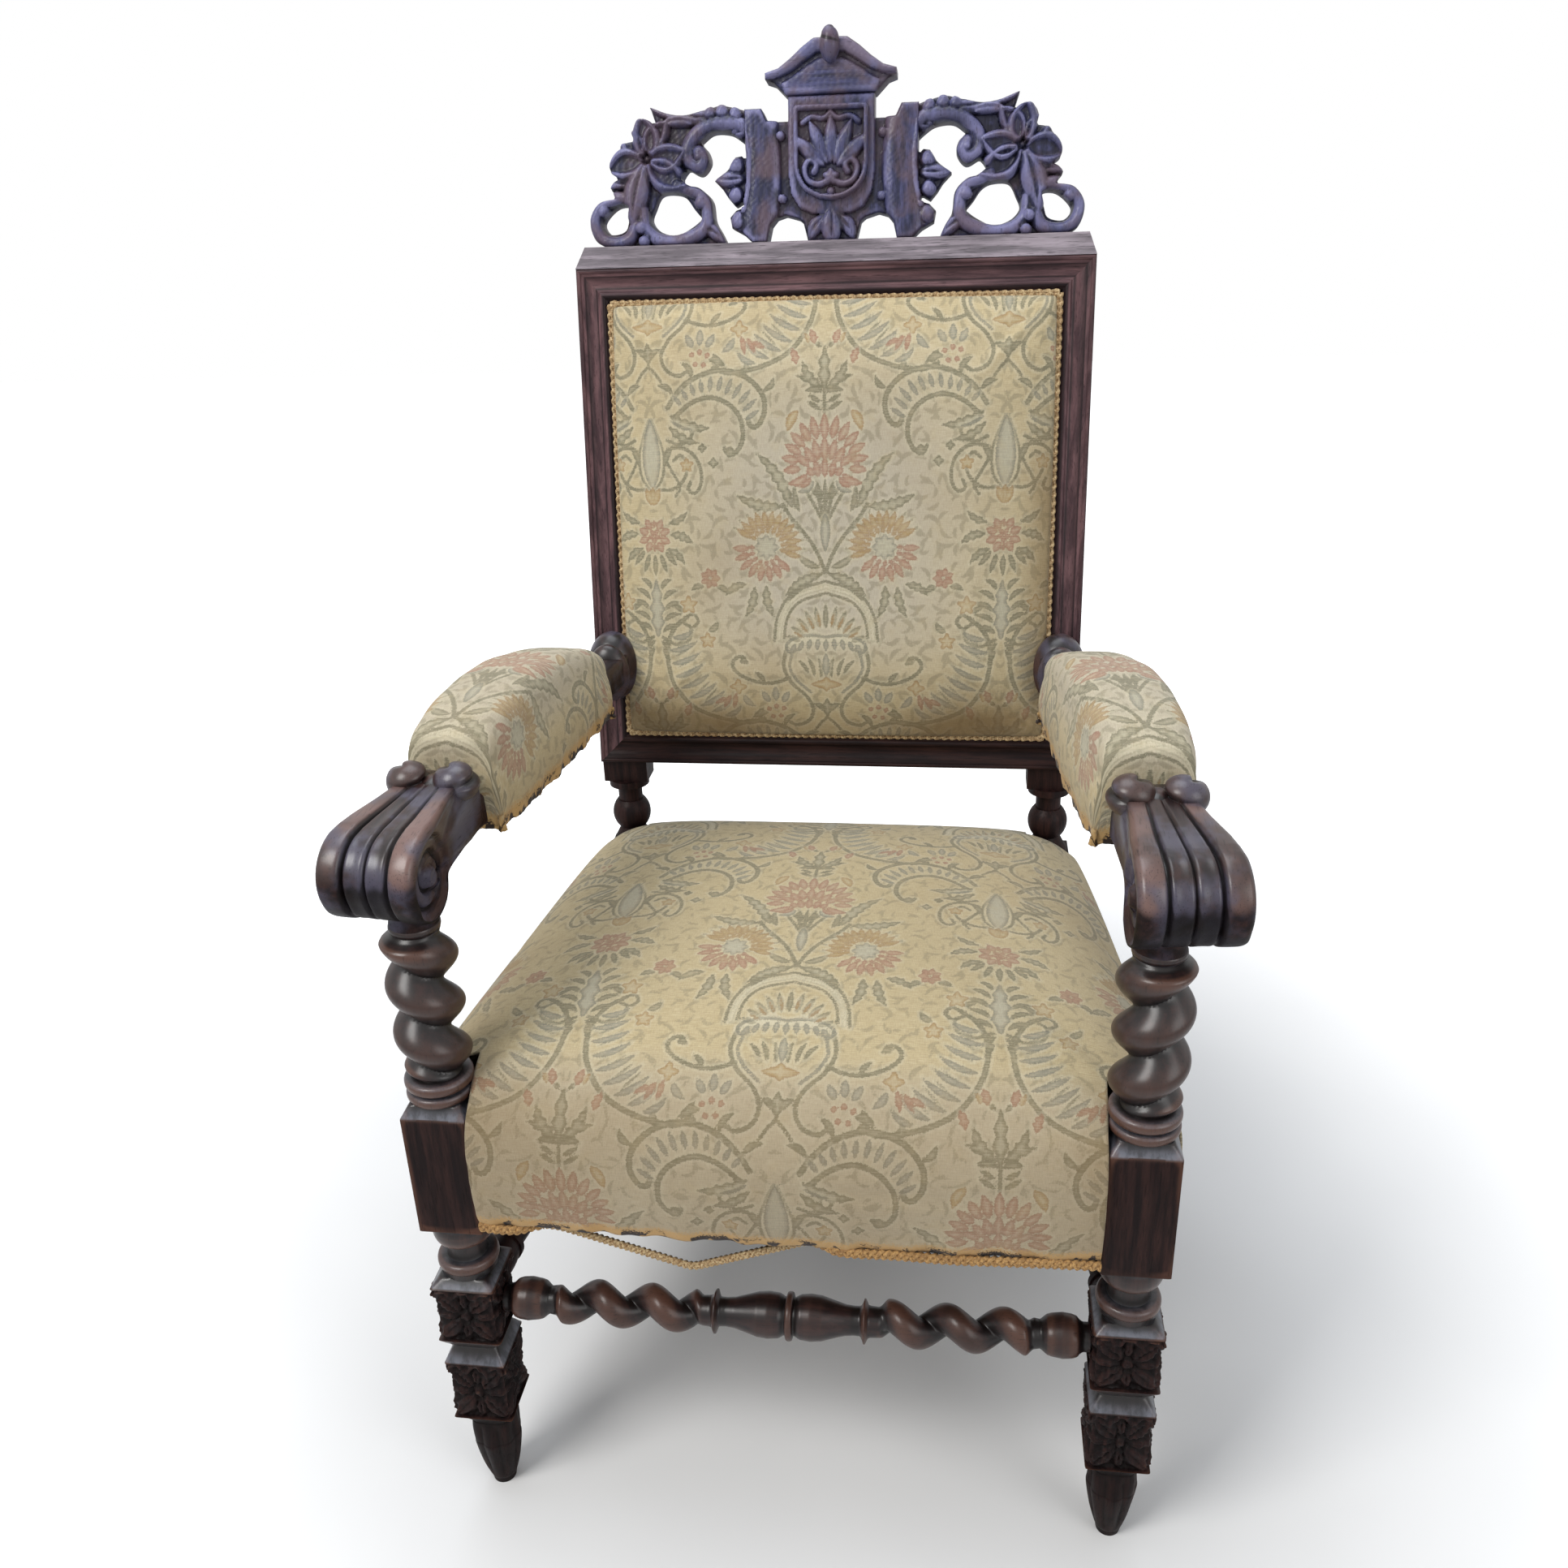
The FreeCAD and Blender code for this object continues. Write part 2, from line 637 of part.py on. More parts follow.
# Rear leg, baluster and raked stile, one post from floor to top rail.
def make_rear_leg():
    """The left rear leg before its mortises are cut."""
    x, y = rear_leg_x, rear_leg_y
    ring_top = size.block_top + size.baluster_ring_height
    neck = size.baluster_cap_bottom - ring_top - size.baluster_bulb_height
    bulb_bottom = ring_top + neck / 3
    bulb_top = bulb_bottom + size.baluster_bulb_height
    step_bottom = size.baluster_cap_bottom - size.baluster_ring_height
    baluster = turned("rear_baluster_turning", [
        (size.baluster_ring_radius, size.block_top),
        (size.baluster_ring_radius, ring_top, size.baluster_ring_height / 4),
        (size.baluster_neck_radius, bulb_bottom),
        (size.baluster_bulb_radius, bulb_bottom),
        (size.baluster_bulb_radius, bulb_top, size.baluster_bulb_bulge),
        (size.baluster_neck_radius, bulb_top),
        (size.baluster_neck_radius, step_bottom),
        (size.baluster_step_radius, step_bottom),
        (size.baluster_step_radius, size.baluster_cap_bottom),
    ])
    stand(baluster, x, y, 0)
    stile = block("rear_stile", (0, size.stile_width), (0, size.stile_depth), (0, size.back_height))
    lean(stile, -back_edge, 0, size.moulding_depth)
    cap_front = back_y + size.moulding_depth
    cap = block(
        "rear_stile_foot", (-back_edge, -stile_inner), (cap_front, cap_front + size.stile_depth),
        (size.baluster_cap_bottom, size.back_bottom - size.moulding_depth * sine(size.back_rake)),
    )
    block_z = (size.block_bottom, size.block_top)
    seat_block = square_post("rear_seat_block", size.rear_block_side, x, y, block_z)
    leg = taper("rear_leg_taper", size.rear_foot_side, size.rear_block_side, x, y, (0, size.block_bottom))
    return fused("rear_leg_whole", [baluster, stile, cap, seat_block, leg])


# Seat frame.
def make_seat_rails():
    """Rails with the tenons that the legs are mortised for: rails by name, and tenons of each left leg."""
    z = (rail_bottom, rail_top)
    tenon_z = (rail_bottom + (size.rail_height - size.rail_tenon_height) / 2,
               rail_top - (size.rail_height - size.rail_tenon_height) / 2)
    half_tenon = size.rail_tenon_thickness / 2
    front_face = front_leg_x + block_half
    rear_face = rear_leg_x + rear_half
    front_y = (front_leg_y - rail_outer, front_leg_y - rail_inner)
    rear_y = (rear_leg_y + rear_rail_inner, rear_leg_y + rear_rail_outer)
    front_middle = (front_y[0] + front_y[1]) / 2
    rear_middle = (rear_y[0] + rear_y[1]) / 2
    front_tenon = block(
        "front_rail_tenon", (front_face - size.rail_tenon_length, front_face),
        (front_middle - half_tenon, front_middle + half_tenon), tenon_z,
    )
    rear_tenon = block(
        "rear_rail_tenon", (rear_face - size.rail_tenon_length, rear_face),
        (rear_middle - half_tenon, rear_middle + half_tenon), tenon_z,
    )
    front = fused("seat_rail_front", [
        block("front_rail_bar", (front_face, -front_face), front_y, z),
        front_tenon, mirrored("front_rail_tenon_right", front_tenon),
    ])
    rear = fused("seat_rail_rear", [
        block("rear_rail_bar", (rear_face, -rear_face), rear_y, z),
        rear_tenon, mirrored("rear_rail_tenon_right", rear_tenon),
    ])
    side_front = (front_leg_x - rail_outer, front_leg_x - rail_inner)
    side_rear = (rear_leg_x - rear_rail_outer, rear_leg_x - rear_rail_inner)
    bar = skew_bar("side_rail_whole", side_front, side_rear, (front_leg_y, rear_leg_y), z)
    posts = [
        square_post("side_rail_front_post", size.block_side, front_leg_x, front_leg_y, z),
        square_post("side_rail_rear_post", size.rear_block_side, rear_leg_x, rear_leg_y, z),
    ]
    front_centre = (side_front[0] + side_front[1]) / 2
    rear_centre = (side_rear[0] + side_rear[1]) / 2
    tenon_front = front_leg_y + block_half - size.rail_tenon_length
    tenon_rear = rear_leg_y - rear_half + size.rail_tenon_length
    side_tenon = skew_bar(
        "side_rail_tenon", (front_centre - half_tenon, front_centre + half_tenon),
        (rear_centre - half_tenon, rear_centre + half_tenon), (tenon_front, tenon_rear), tenon_z,
    )
    left = fused("seat_rail_left", [cut("side_rail_bar", bar, posts), side_tenon])
    rails = {
        "seat_rail_front": front, "seat_rail_rear": rear, "seat_rail_left": left,
        "seat_rail_right": mirrored("seat_rail_right", left),
    }
    return rails, [front_tenon, side_tenon], [rear_tenon, side_tenon]


def make_corner_blocks(rails):
    """Glue blocks across the inside corners of the seat rails, touching the posts."""
    z = rail_top - size.corner_block_height
    post_z = (size.block_bottom, rail_top)
    posts = [
        square_post("corner_front_post", size.block_side, front_leg_x, front_leg_y, post_z),
        square_post("corner_rear_post", size.rear_block_side, rear_leg_x, rear_leg_y, post_z),
    ]
    walls = [rails[name] for name in ("seat_rail_front", "seat_rail_left", "seat_rail_rear")]
    slope = sine(measure(45))
    step = size.corner_block_thickness / 2 * slope
    corners = (
        ("front_corner", front_leg_x + block_half + step, front_leg_y + block_half + step, -45,
         block_half + rail_inner),
        ("rear_corner", rear_leg_x + rear_half + step, rear_leg_y - rear_half - step, 45,
         rear_half + rear_rail_inner),
    )
    pieces = []
    for name, x, y, angle, jut in corners:
        half = jut / slope + size.corner_block_thickness + size.corner_block_bite
        bar = block(
            f"{name}_bar", (-half, half), (-size.corner_block_thickness / 2, size.corner_block_thickness / 2),
            (0, size.corner_block_height),
        )
        across = compound(f"{name}_across", [bar])
        turn(across, Vector(0, 0, 1), angle)
        stand(across, x, y, z)
        trimmed = cut(f"{name}_block", across, walls + posts)
        pieces += [trimmed, mirrored(f"{name}_block_right", trimmed)]
    return compound("seat_corner_blocks", pieces)


# Stretchers.
def make_front_stretcher():
    """The twisted front stretcher, half of it turned and then mirrored, and its left tenon."""
    half_length = -front_leg_x - size.carved_side / 2
    ring = size.stretcher_ring_width / 2
    bulb_end = ring + size.stretcher_bulb_length
    fillet_end = size.stretcher_fillet_place + size.stretcher_fillet_width
    barrel = half_length - size.stretcher_barrel_length
    turning = turned("front_stretcher_turning", [
        (size.stretcher_ring_radius, 0),
        (size.stretcher_ring_radius, ring),
        (size.stretcher_bulb_radius, ring),
        (size.stretcher_bulb_radius, bulb_end, size.stretcher_bulb_bulge),
        (size.stretcher_neck_radius, bulb_end),
        (size.stretcher_neck_radius, size.stretcher_fillet_place),
        (size.stretcher_fillet_radius, size.stretcher_fillet_place),
        (size.stretcher_fillet_radius, fillet_end),
        (size.stretcher_neck_radius, fillet_end),
        (size.stretcher_neck_radius, size.stretcher_twist_start),
    ])
    end_ring = size.stretcher_twist_end + size.stretcher_ring_width
    end = turned("front_stretcher_end_turning", [
        (size.stretcher_barrel_radius, size.stretcher_twist_end),
        (size.stretcher_barrel_radius, end_ring, size.stretcher_ring_width / 4),
        (size.stretcher_neck_radius, end_ring),
        (size.stretcher_neck_radius, barrel),
        (size.stretcher_barrel_radius, barrel),
        (size.stretcher_barrel_radius, half_length, size.stretcher_barrel_bulge),
    ])
    strands = twist(
        "front_stretcher_twist", size.stretcher_strand_radius, size.stretcher_twist_offset,
        size.stretcher_twist_turns, size.stretcher_twist_start, size.stretcher_twist_end,
    )
    half = fused("front_stretcher_half", [turning, strands, end])
    whole = fused("front_stretcher_whole", [half, mirrored("front_stretcher_mirror", half, Vector(0, 0, 1))])
    turn(whole, Vector(0, 1, 0), 90)
    stand(whole, 0, front_leg_y, size.stretcher_height)
    tenon = rod(
        "front_stretcher_tenon", size.stretcher_tenon_radius, size.stretcher_tenon_length,
        -half_length - size.stretcher_tenon_length, front_leg_y, size.stretcher_height, Vector(1, 0, 0),
    )
    return fused("stretcher_front", [whole, tenon, mirrored("front_stretcher_tenon_right", tenon)]), tenon


def spindle_outline(half_length):
    """Outline of a plain turned stretcher, from its middle to its end."""
    barrel = half_length - size.stretcher_barrel_length
    ring = size.stretcher_ring_width / 2
    return [
        (size.stretcher_ring_radius, 0),
        (size.stretcher_ring_radius, ring),
        (size.side_spindle_radius, ring),
        (size.side_spindle_radius, barrel - size.stretcher_ring_width, size.side_spindle_swell),
        (size.stretcher_fillet_radius, barrel - size.stretcher_ring_width),
        (size.stretcher_fillet_radius, barrel),
        (size.stretcher_barrel_radius, barrel),
        (size.stretcher_barrel_radius, half_length, size.stretcher_barrel_bulge),
    ]


def make_rear_stretcher():
    """The plain turned rear stretcher and its left tenon."""
    half_length = -rear_leg_x - rear_stretcher_side() / 2
    half = turned("rear_stretcher_turning", spindle_outline(half_length))
    whole = fused("rear_stretcher_whole", [half, mirrored("rear_stretcher_mirror", half, Vector(0, 0, 1))])
    turn(whole, Vector(0, 1, 0), 90)
    stand(whole, 0, rear_leg_y, size.stretcher_height)
    tenon = rod(
        "rear_stretcher_tenon", size.stretcher_tenon_radius, size.stretcher_tenon_length * 2,
        -half_length - size.stretcher_tenon_length, rear_leg_y, size.stretcher_height, Vector(1, 0, 0),
    )
    foot = rear_leg_foot()
    trimmed = cut("rear_stretcher_trimmed", whole, [foot, mirrored("rear_foot_right", foot)])
    return fused("stretcher_rear", [trimmed, tenon, mirrored("rear_stretcher_tenon_right", tenon)]), tenon


def rear_stretcher_side():
    """Side of the tapered rear leg at the height of the stretchers."""
    rise = size.stretcher_height / size.block_bottom
    return size.rear_foot_side + (size.rear_block_side - size.rear_foot_side) * rise


def rear_leg_foot():
    """The tapered rear leg, as a cutter for what butts against it."""
    span = (0, size.block_bottom)
    return taper("rear_leg_cutter", size.rear_foot_side, size.rear_block_side, rear_leg_x, rear_leg_y, span)


def make_side_stretcher():
    """The left stretcher between front and rear leg, and its two tenons."""
    run = Vector((rear_leg_x - front_leg_x).number, size.leg_depth.number, 0)
    direction = Vector(run).normalize()
    front_gap = size.carved_side / 2
    rear_gap = rear_stretcher_side() / 2
    middle_share = (front_gap + (size.leg_depth - rear_gap)) / 2 / size.leg_depth
    half_length = (size.leg_depth - front_gap - rear_gap) / 2 * (run.Length / run.y)
    half = turned("side_stretcher_turning", spindle_outline(half_length))
    whole = fused("side_stretcher_whole", [half, mirrored("side_stretcher_mirror", half, Vector(0, 0, 1))])
    whole.Placement = FreeCAD.Placement(Vector(), FreeCAD.Rotation(Vector(0, 0, 1), direction))
    middle_x = front_leg_x + (rear_leg_x - front_leg_x) * middle_share
    middle_y = front_leg_y + size.leg_depth * middle_share
    stand(whole, middle_x, middle_y, size.stretcher_height)
    post_z = (size.carved_bottom, size.carved_top)
    post = square_post("side_stretcher_post", size.carved_side, front_leg_x, front_leg_y, post_z)
    trimmed = cut("side_stretcher_trimmed", whole, [post, rear_leg_foot()])
    tenons = []
    for name, reach in (("front", -1), ("rear", 1)):
        length = size.stretcher_tenon_length * 2
        start = half_length - size.stretcher_tenon_length
        along = direction * reach
        tenons.append(rod(
            f"side_stretcher_{name}_tenon", size.stretcher_tenon_radius, length,
            middle_x + start * along.x, middle_y + start * along.y, size.stretcher_height, along,
        ))
    return fused("stretcher_left", [trimmed] + tenons), tenons[0], tenons[1]


# Back frame, in the raked frame of the back.
def make_back_rails():
    """Top and bottom rails of the back with their tenons, and the tenons of the left stile."""
    rails = {}
    tenons = []
    top_rail = size.back_height - size.stile_width
    for name, low in (("back_rail_top", top_rail), ("back_rail_bottom", measure(0))):
        bar = block(f"{name}_bar", (0, stile_inner * 2), (0, size.stile_depth), (0, size.stile_width))
        lean(bar, -stile_inner, low, size.moulding_depth)
        tenon = block(
            f"{name}_tenon", (0, size.rail_tenon_length), (0, size.rail_tenon_thickness),
            (0, size.stile_width / 2),
        )
        middle = size.moulding_depth + (size.stile_depth - size.rail_tenon_thickness) / 2
        lean(tenon, -stile_inner - size.rail_tenon_length, low + size.stile_width / 4, middle)
        rails[name] = fused(name, [bar, tenon, mirrored(f"{name}_tenon_right", tenon)])
        tenons.append(tenon)
    return rails, tenons


def moulding_section():
    """Section of the moulding: across from its outer edge, and forward from the stile's face."""
    width = size.moulding_width.number
    depth = size.moulding_depth.number
    bead = size.moulding_bead.number
    cove = size.moulding_cove.number
    inner = depth - cove
    return [
        ("line", (0.0, 0.0), (0.0, depth - bead / 2)),
        ("arc", (0.0, depth - bead / 2), (bead / 2, depth), (bead, depth - bead / 2)),
        ("line", (bead, depth - bead / 2), (bead * 2, inner)),
        ("arc", (bead * 2, inner), (width / 2, inner - cove / 2), (width - bead * 2, inner)),
        ("arc", (width - bead * 2, inner), (width - bead, inner + cove / 2), (width - bead / 2, inner)),
        ("line", (width - bead / 2, inner), (width, inner - cove / 2)),
        ("line", (width, inner - cove / 2), (width, 0.0)),
        ("line", (width, 0.0), (0.0, 0.0)),
    ]


def moulding_strip(name, start, across, along, corners):
    """A strip: its section carried straight along, then mitred to the corners of its plan."""
    depth = size.moulding_depth.number
    edges = []
    for kind, *points in moulding_section():
        spots = [start + across * point[0] + Vector(0, depth - point[1], 0) for point in points]
        edges.append(Part.Arc(*spots).toShape() if kind == "arc" else Part.makeLine(*spots))
    strip = face_of(edges).extrude(along)
    plan = face_of(polygon_edges(corners)).extrude(Vector(0, depth, 0))
    return lean(shaped(name, strip.common(plan)))


def make_mouldings():
    """Mitred strips planted on the front of the back frame: the left one, the bottom and the top."""
    edge = back_edge.number
    height = size.back_height.number
    width = size.moulding_width.number
    low_left = on_back(-edge, 0.0)
    low_right = on_back(edge, 0.0)
    high_left = on_back(-edge, height)
    high_right = on_back(edge, height)
    inner_low_left = on_back(width - edge, width)
    inner_low_right = on_back(edge - width, width)
    inner_high_left = on_back(width - edge, height - width)
    inner_high_right = on_back(edge - width, height - width)
    up = Vector(0, 0, 1)
    right = Vector(1, 0, 0)
    strips = {
        "back_moulding_left": moulding_strip(
            "back_moulding_left", low_left, right, up * height,
            [low_left, inner_low_left, inner_high_left, high_left],
        ),
        "back_moulding_bottom": moulding_strip(
            "back_moulding_bottom", low_left, up, right * (edge * 2),
            [low_left, low_right, inner_low_right, inner_low_left],
        ),
        "back_moulding_top": moulding_strip(
            "back_moulding_top", high_left, -up, right * (edge * 2),
            [high_left, high_right, inner_high_right, inner_high_left],
        ),
    }
    return strips


# Cresting, in the raked frame of the back.
def crest_board(name, faces, front, depth):
    """Flat outlines, with any voids, as a board that leans with the back."""
    shape = faces[0].extrude(Vector(0, depth, 0))
    for void in faces[1:]:
        shape = shape.cut(void.extrude(Vector(0, depth, 0)))
    return lean(shaped(name, shape), 0, 0, front)


def make_crest():
    """The pieces of the cresting by name."""
    foot = crest_foot.number
    base = doc.addObject("Part::Wedge", "crest_base_whole")
    hip = size.crest_base_hip
    bind(base, Xmin=-back_edge, Xmax=back_edge, Ymin=0, Ymax=size.crest_base_height)
    bind(base, X2min=hip - back_edge, X2max=back_edge - hip)
    bind(base, Zmin=-stile_rear, Zmax=0, Z2min=-stile_rear, Z2max=-size.crest_base_slope)
    lean(base, 0, size.back_height, 0, 90)

    half = size.cartouche_half_width.number
    tall = size.cartouche_height.number
    right = [on_back(across * half, foot + up * tall) for across, up in CARTOUCHE_SHARES]
    left = [on_back(-point.x, point.z) for point in reversed(right)]
    outline = face_of(polygon_edges(right + left))
    board = crest_board("cartouche_whole", [outline], size.crest_front, size.crest_depth.number)

    cap_half = size.pediment_half_width.number
    cap_tall = size.pediment_height.number
    cap_foot = foot + tall
    right = [on_back(across * cap_half, cap_foot + up * cap_tall) for across, up in PEDIMENT_SHARES]
    left = [on_back(-point.x, point.z) for point in reversed(right[1:])]
    cap_front = size.crest_front - size.pediment_overhang
    cap_depth = size.crest_depth + size.pediment_overhang
    outline = face_of(polygon_edges(right + left))
    cap = crest_board("pediment_whole", [outline], cap_front, cap_depth.number)

    finial = turned("crest_finial", [
        (size.finial_radius, 0),
        (size.finial_radius, size.finial_height * 2 / 3, size.finial_bulge),
        (size.finial_radius / 3, size.finial_height),
    ])
    lean(finial, 0, pediment_top + size.finial_rise - size.finial_height, cap_front)
    pediment = cut("crest_pediment", cap, [finial])

    shield_half = size.shield_half_width.number
    low = foot + size.shield_bottom.number
    bend = low + size.shield_drop.number
    high = foot + size.shield_top.number
    shield_edges = [
        Part.makeLine(on_back(-shield_half, bend), on_back(-shield_half, high)),
        Part.makeLine(on_back(-shield_half, high), on_back(shield_half, high)),
        Part.makeLine(on_back(shield_half, high), on_back(shield_half, bend)),
        Part.Arc(on_back(shield_half, bend), on_back(0.0, low), on_back(-shield_half, bend)).toShape(),
    ]
    shield_front = size.crest_front - size.shield_depth
    shield = crest_board("crest_shield", [face_of(shield_edges)], shield_front, size.shield_depth.number)

    wing = make_wing(foot)
    dowels = []
    for index, share in enumerate(CREST_DOWEL_SHARES):
        across = -share * (size.wing_root + size.wing_length)
        dowel = rod(f"crest_dowel_{index}", size.dowel_radius, size.dowel_length, 0, 0, 0)
        lean(dowel, across, crest_foot - size.dowel_length / 2, size.crest_front + size.crest_depth / 2)
        dowels += [dowel, mirrored(f"crest_dowel_{index}_right", dowel)]
    wing_left = cut("crest_wing_left", wing, dowels)
    return {
        "crest_base": cut("crest_base", base, dowels),
        "crest_cartouche": cut("crest_cartouche", board, dowels),
        "crest_pediment": pediment,
        "crest_finial": finial,
        "crest_shield": shield,
        "crest_wing_left": wing_left,
        "crest_wing_right": mirrored("crest_wing_right", wing_left),
        "crest_dowels": compound("crest_dowels", dowels),
    }


def make_wing(foot):
    """The left wing of pierced foliage: a curve between each two sharp corners, and two voids."""
    root = size.wing_root.number
    length = size.wing_length.number
    height = size.wing_height.number

    def curve(shares, closed):
        line = Part.BSplineCurve()
        spots = [on_back(-root - across * length, foot + up * height) for across, up in shares]
        line.interpolate(Points=spots, PeriodicFlag=closed)
        return line.toShape()

    faces = [face_of([curve(run, False) for run in WING_RUN_SHARES])]
    faces += [face_of([curve(void, True)]) for void in WING_VOID_SHARES]
    return crest_board("wing_whole", faces, size.crest_front, size.crest_depth.number)


# Arms.
def arm_centre(y):
    """Middle of the left arm across the chair at a place along its depth."""
    return arm_rear_x - (arm_rear_y - y) * tangent(size.arm_flare)


def make_arm(stile, moulding):
    """The left arm with its scrolled hand, and the dowel at its rear."""
    top = arm_bottom + size.arm_thickness
    rear_half_width = size.arm_rear_width / 2
    front_half_width = size.arm_front_width / 2
    front_x = arm_centre(hand_rear_y)
    bar = skew_bar(
        "arm_bar", (front_x - front_half_width, front_x + front_half_width),
        (arm_rear_x - rear_half_width, arm_rear_x + rear_half_width),
        (hand_rear_y, arm_rear_y + size.arm_thickness), (arm_bottom, top),
    )
    radius = size.hand_radius
    drop = (size.hand_height - arm_bottom).number
    notch = math.sqrt(radius.number ** 2 - drop ** 2)
    half_width = size.hand_width.number / 2

    def side(y, z):
        return Vector(-half_width, y, z)

    scroll = radius.number
    slant = scroll * math.sin(math.pi / 4)
    length = size.hand_length.number
    edges = [
        Part.makeLine(side(length, -drop), side(notch, -drop)),
        Part.Arc(side(notch, -drop), side(0.0, -scroll), side(-scroll, 0.0)).toShape(),
        Part.Arc(side(-scroll, 0.0), side(-slant, slant), side(0.0, scroll)).toShape(),
        Part.makeLine(side(0.0, scroll), side(length, scroll)),
        Part.makeLine(side(length, scroll), side(length, -drop)),
    ]
    hand = shaped("arm_hand", face_of(edges).extrude(Vector(size.hand_width.number, 0, 0)))
    turn(hand, Vector(0, 0, 1), -size.arm_flare)
    stand(hand, arm_centre(hand_axis_y), hand_axis_y, size.hand_height)
    neck_length = size.hand_height - size.hand_radius / 2 - leg_top
    neck = rod("arm_neck", size.leg_neck_radius, neck_length, front_leg_x, front_leg_y, leg_top)
    knuckles = []
    for index, side_sign in enumerate((-1, 1)):
        knuckles.append(rod(
            f"arm_knuckle_{index}", size.knuckle_radius, size.knuckle_length,
            front_x + size.knuckle_spacing * side_sign / 2, hand_rear_y - size.knuckle_length,
            size.hand_height + size.hand_radius, Vector(0, 1, 0),
        ))
    boss = turned("arm_boss", [
        (size.boss_end_radius, 0),
        (size.boss_end_radius, size.boss_height, size.boss_bulge),
    ])
    stand(boss, arm_rear_x - size.boss_offset, arm_rear_y, arm_bottom - size.boss_drop)
    relief = block(
        "arm_relief", (0, size.moulding_width), (0, size.boss_relief + stile_rear), (0, size.back_height / 2)
    )
    lean(relief, size.moulding_width - back_edge, 0, -size.boss_relief)
    dowel = rod(
        "arm_dowel", size.arm_dowel_radius, size.arm_dowel_length, arm_rear_x,
        arm_rear_y - size.arm_dowel_length / 2, arm_bottom + size.arm_thickness / 2, Vector(0, 1, 0),
    )
    tenon = rod(
        "leg_tenon", size.leg_tenon_radius, size.leg_tenon_length, front_leg_x, front_leg_y, leg_top
    )
    whole = fused("arm_whole", [bar, hand, neck, boss] + knuckles)
    return cut("arm_left", whole, [stile, moulding, relief, dowel, tenon]), dowel


def make_arm_pad(arm):
    """The left arm pad: a domed cushion, narrower at its ends, seated round the arm."""
    front = hand_rear_y + size.arm_pad_front_gap
    hem = (arm_bottom - size.arm_pad_drop).number
    rise = size.arm_pad_rise.number
    bow = size.arm_pad_side_bow.number
    wires = []
    for along, half_share, height_share in ARM_PAD_SHARES:
        y = (front + size.arm_pad_length * along).number
        x = arm_centre(Measure(y, repr(y))).number
        half = size.arm_pad_half_width.number * half_share
        crown = hem + rise * height_share
        shoulder = hem + (crown - hem) * ARM_PAD_SHOULDER_SHARE
        corners = [Vector(x - half, y, hem), Vector(x + half, y, hem)]
        shoulders = [Vector(x - half, y, shoulder), Vector(x + half, y, shoulder)]
        middle = (hem + shoulder) / 2
        wires.append(Part.Wire([
            Part.makeLine(corners[0], corners[1]),
            Part.Arc(corners[1], Vector(x + half + bow, y, middle), shoulders[1]).toShape(),
            Part.Arc(shoulders[1], Vector(x, y, crown), shoulders[0]).toShape(),
            Part.Arc(shoulders[0], Vector(x - half - bow, y, middle), corners[0]).toShape(),
        ]))
    whole = shaped("arm_pad_whole", Part.makeLoft(wires, True, False))
    return cut("arm_pad_left", whole, [arm])


# Seat upholstery.
def side_rail_face(y):
    """Outer face of the left seat rail across the chair, at a place along its depth."""
    front = front_leg_x - rail_outer
    rear = rear_leg_x - rear_rail_outer
    return front + (rear - front) * (y - front_leg_y) / size.leg_depth


def seat_frame_cutter(name, z):
    """Everything inside the outer faces of the seat rails, between two heights."""
    y = (front_leg_y - rail_outer, rear_leg_y + rear_rail_outer)
    front = side_rail_face(y[0])
    rear = side_rail_face(y[1])
    return skew_bar(name, (front, -front), (rear, -rear), y, z)


def post_notches(name, z, front_half=block_half):
    """Room for the four posts at the corners of the seat, open to the outside."""
    gap = size.soft_clearance
    front_inner = front_leg_x + front_half + gap
    rear_inner = rear_leg_x + rear_half + gap
    notches = [
        block(
            f"{name}_front", (front_leg_x - front_half - size.cut_overrun, front_inner),
            (front_leg_y - front_half - size.cut_overrun, front_leg_y + front_half + gap), z,
        ),
        block(
            f"{name}_rear", (rear_leg_x - rear_half - size.cut_overrun, rear_inner),
            (rear_leg_y - rear_half - gap, rear_leg_y + rear_half + size.cut_overrun), z,
        ),
    ]
    return notches + [mirrored(f"{notch.Name}_right", notch) for notch in notches]


def seat_ring(inset, z):
    """Plan outline of the seat drawn in by an inset: four bowed sides."""
    bow = size.seat_side_bow.number
    front_half = (size.front_leg_spacing / 2 + block_half).number - inset
    rear_half_width = (size.rear_leg_spacing / 2 + rear_half).number - inset
    front = (front_leg_y - block_half).number + inset
    rear = (rear_leg_y + rear_half).number - inset
    corners = [
        Vector(-front_half, front, z), Vector(front_half, front, z),
        Vector(rear_half_width, rear, z), Vector(-rear_half_width, rear, z),
    ]
    outward = (Vector(0, -bow, 0), Vector(bow, 0, 0), Vector(0, bow, 0), Vector(-bow, 0, 0))
    edges = []
    for index, start in enumerate(corners):
        end = corners[(index + 1) % len(corners)]
        edges.append(Part.Arc(start, (start + end) * 0.5 + outward[index], end).toShape())
    return Part.Wire(edges)


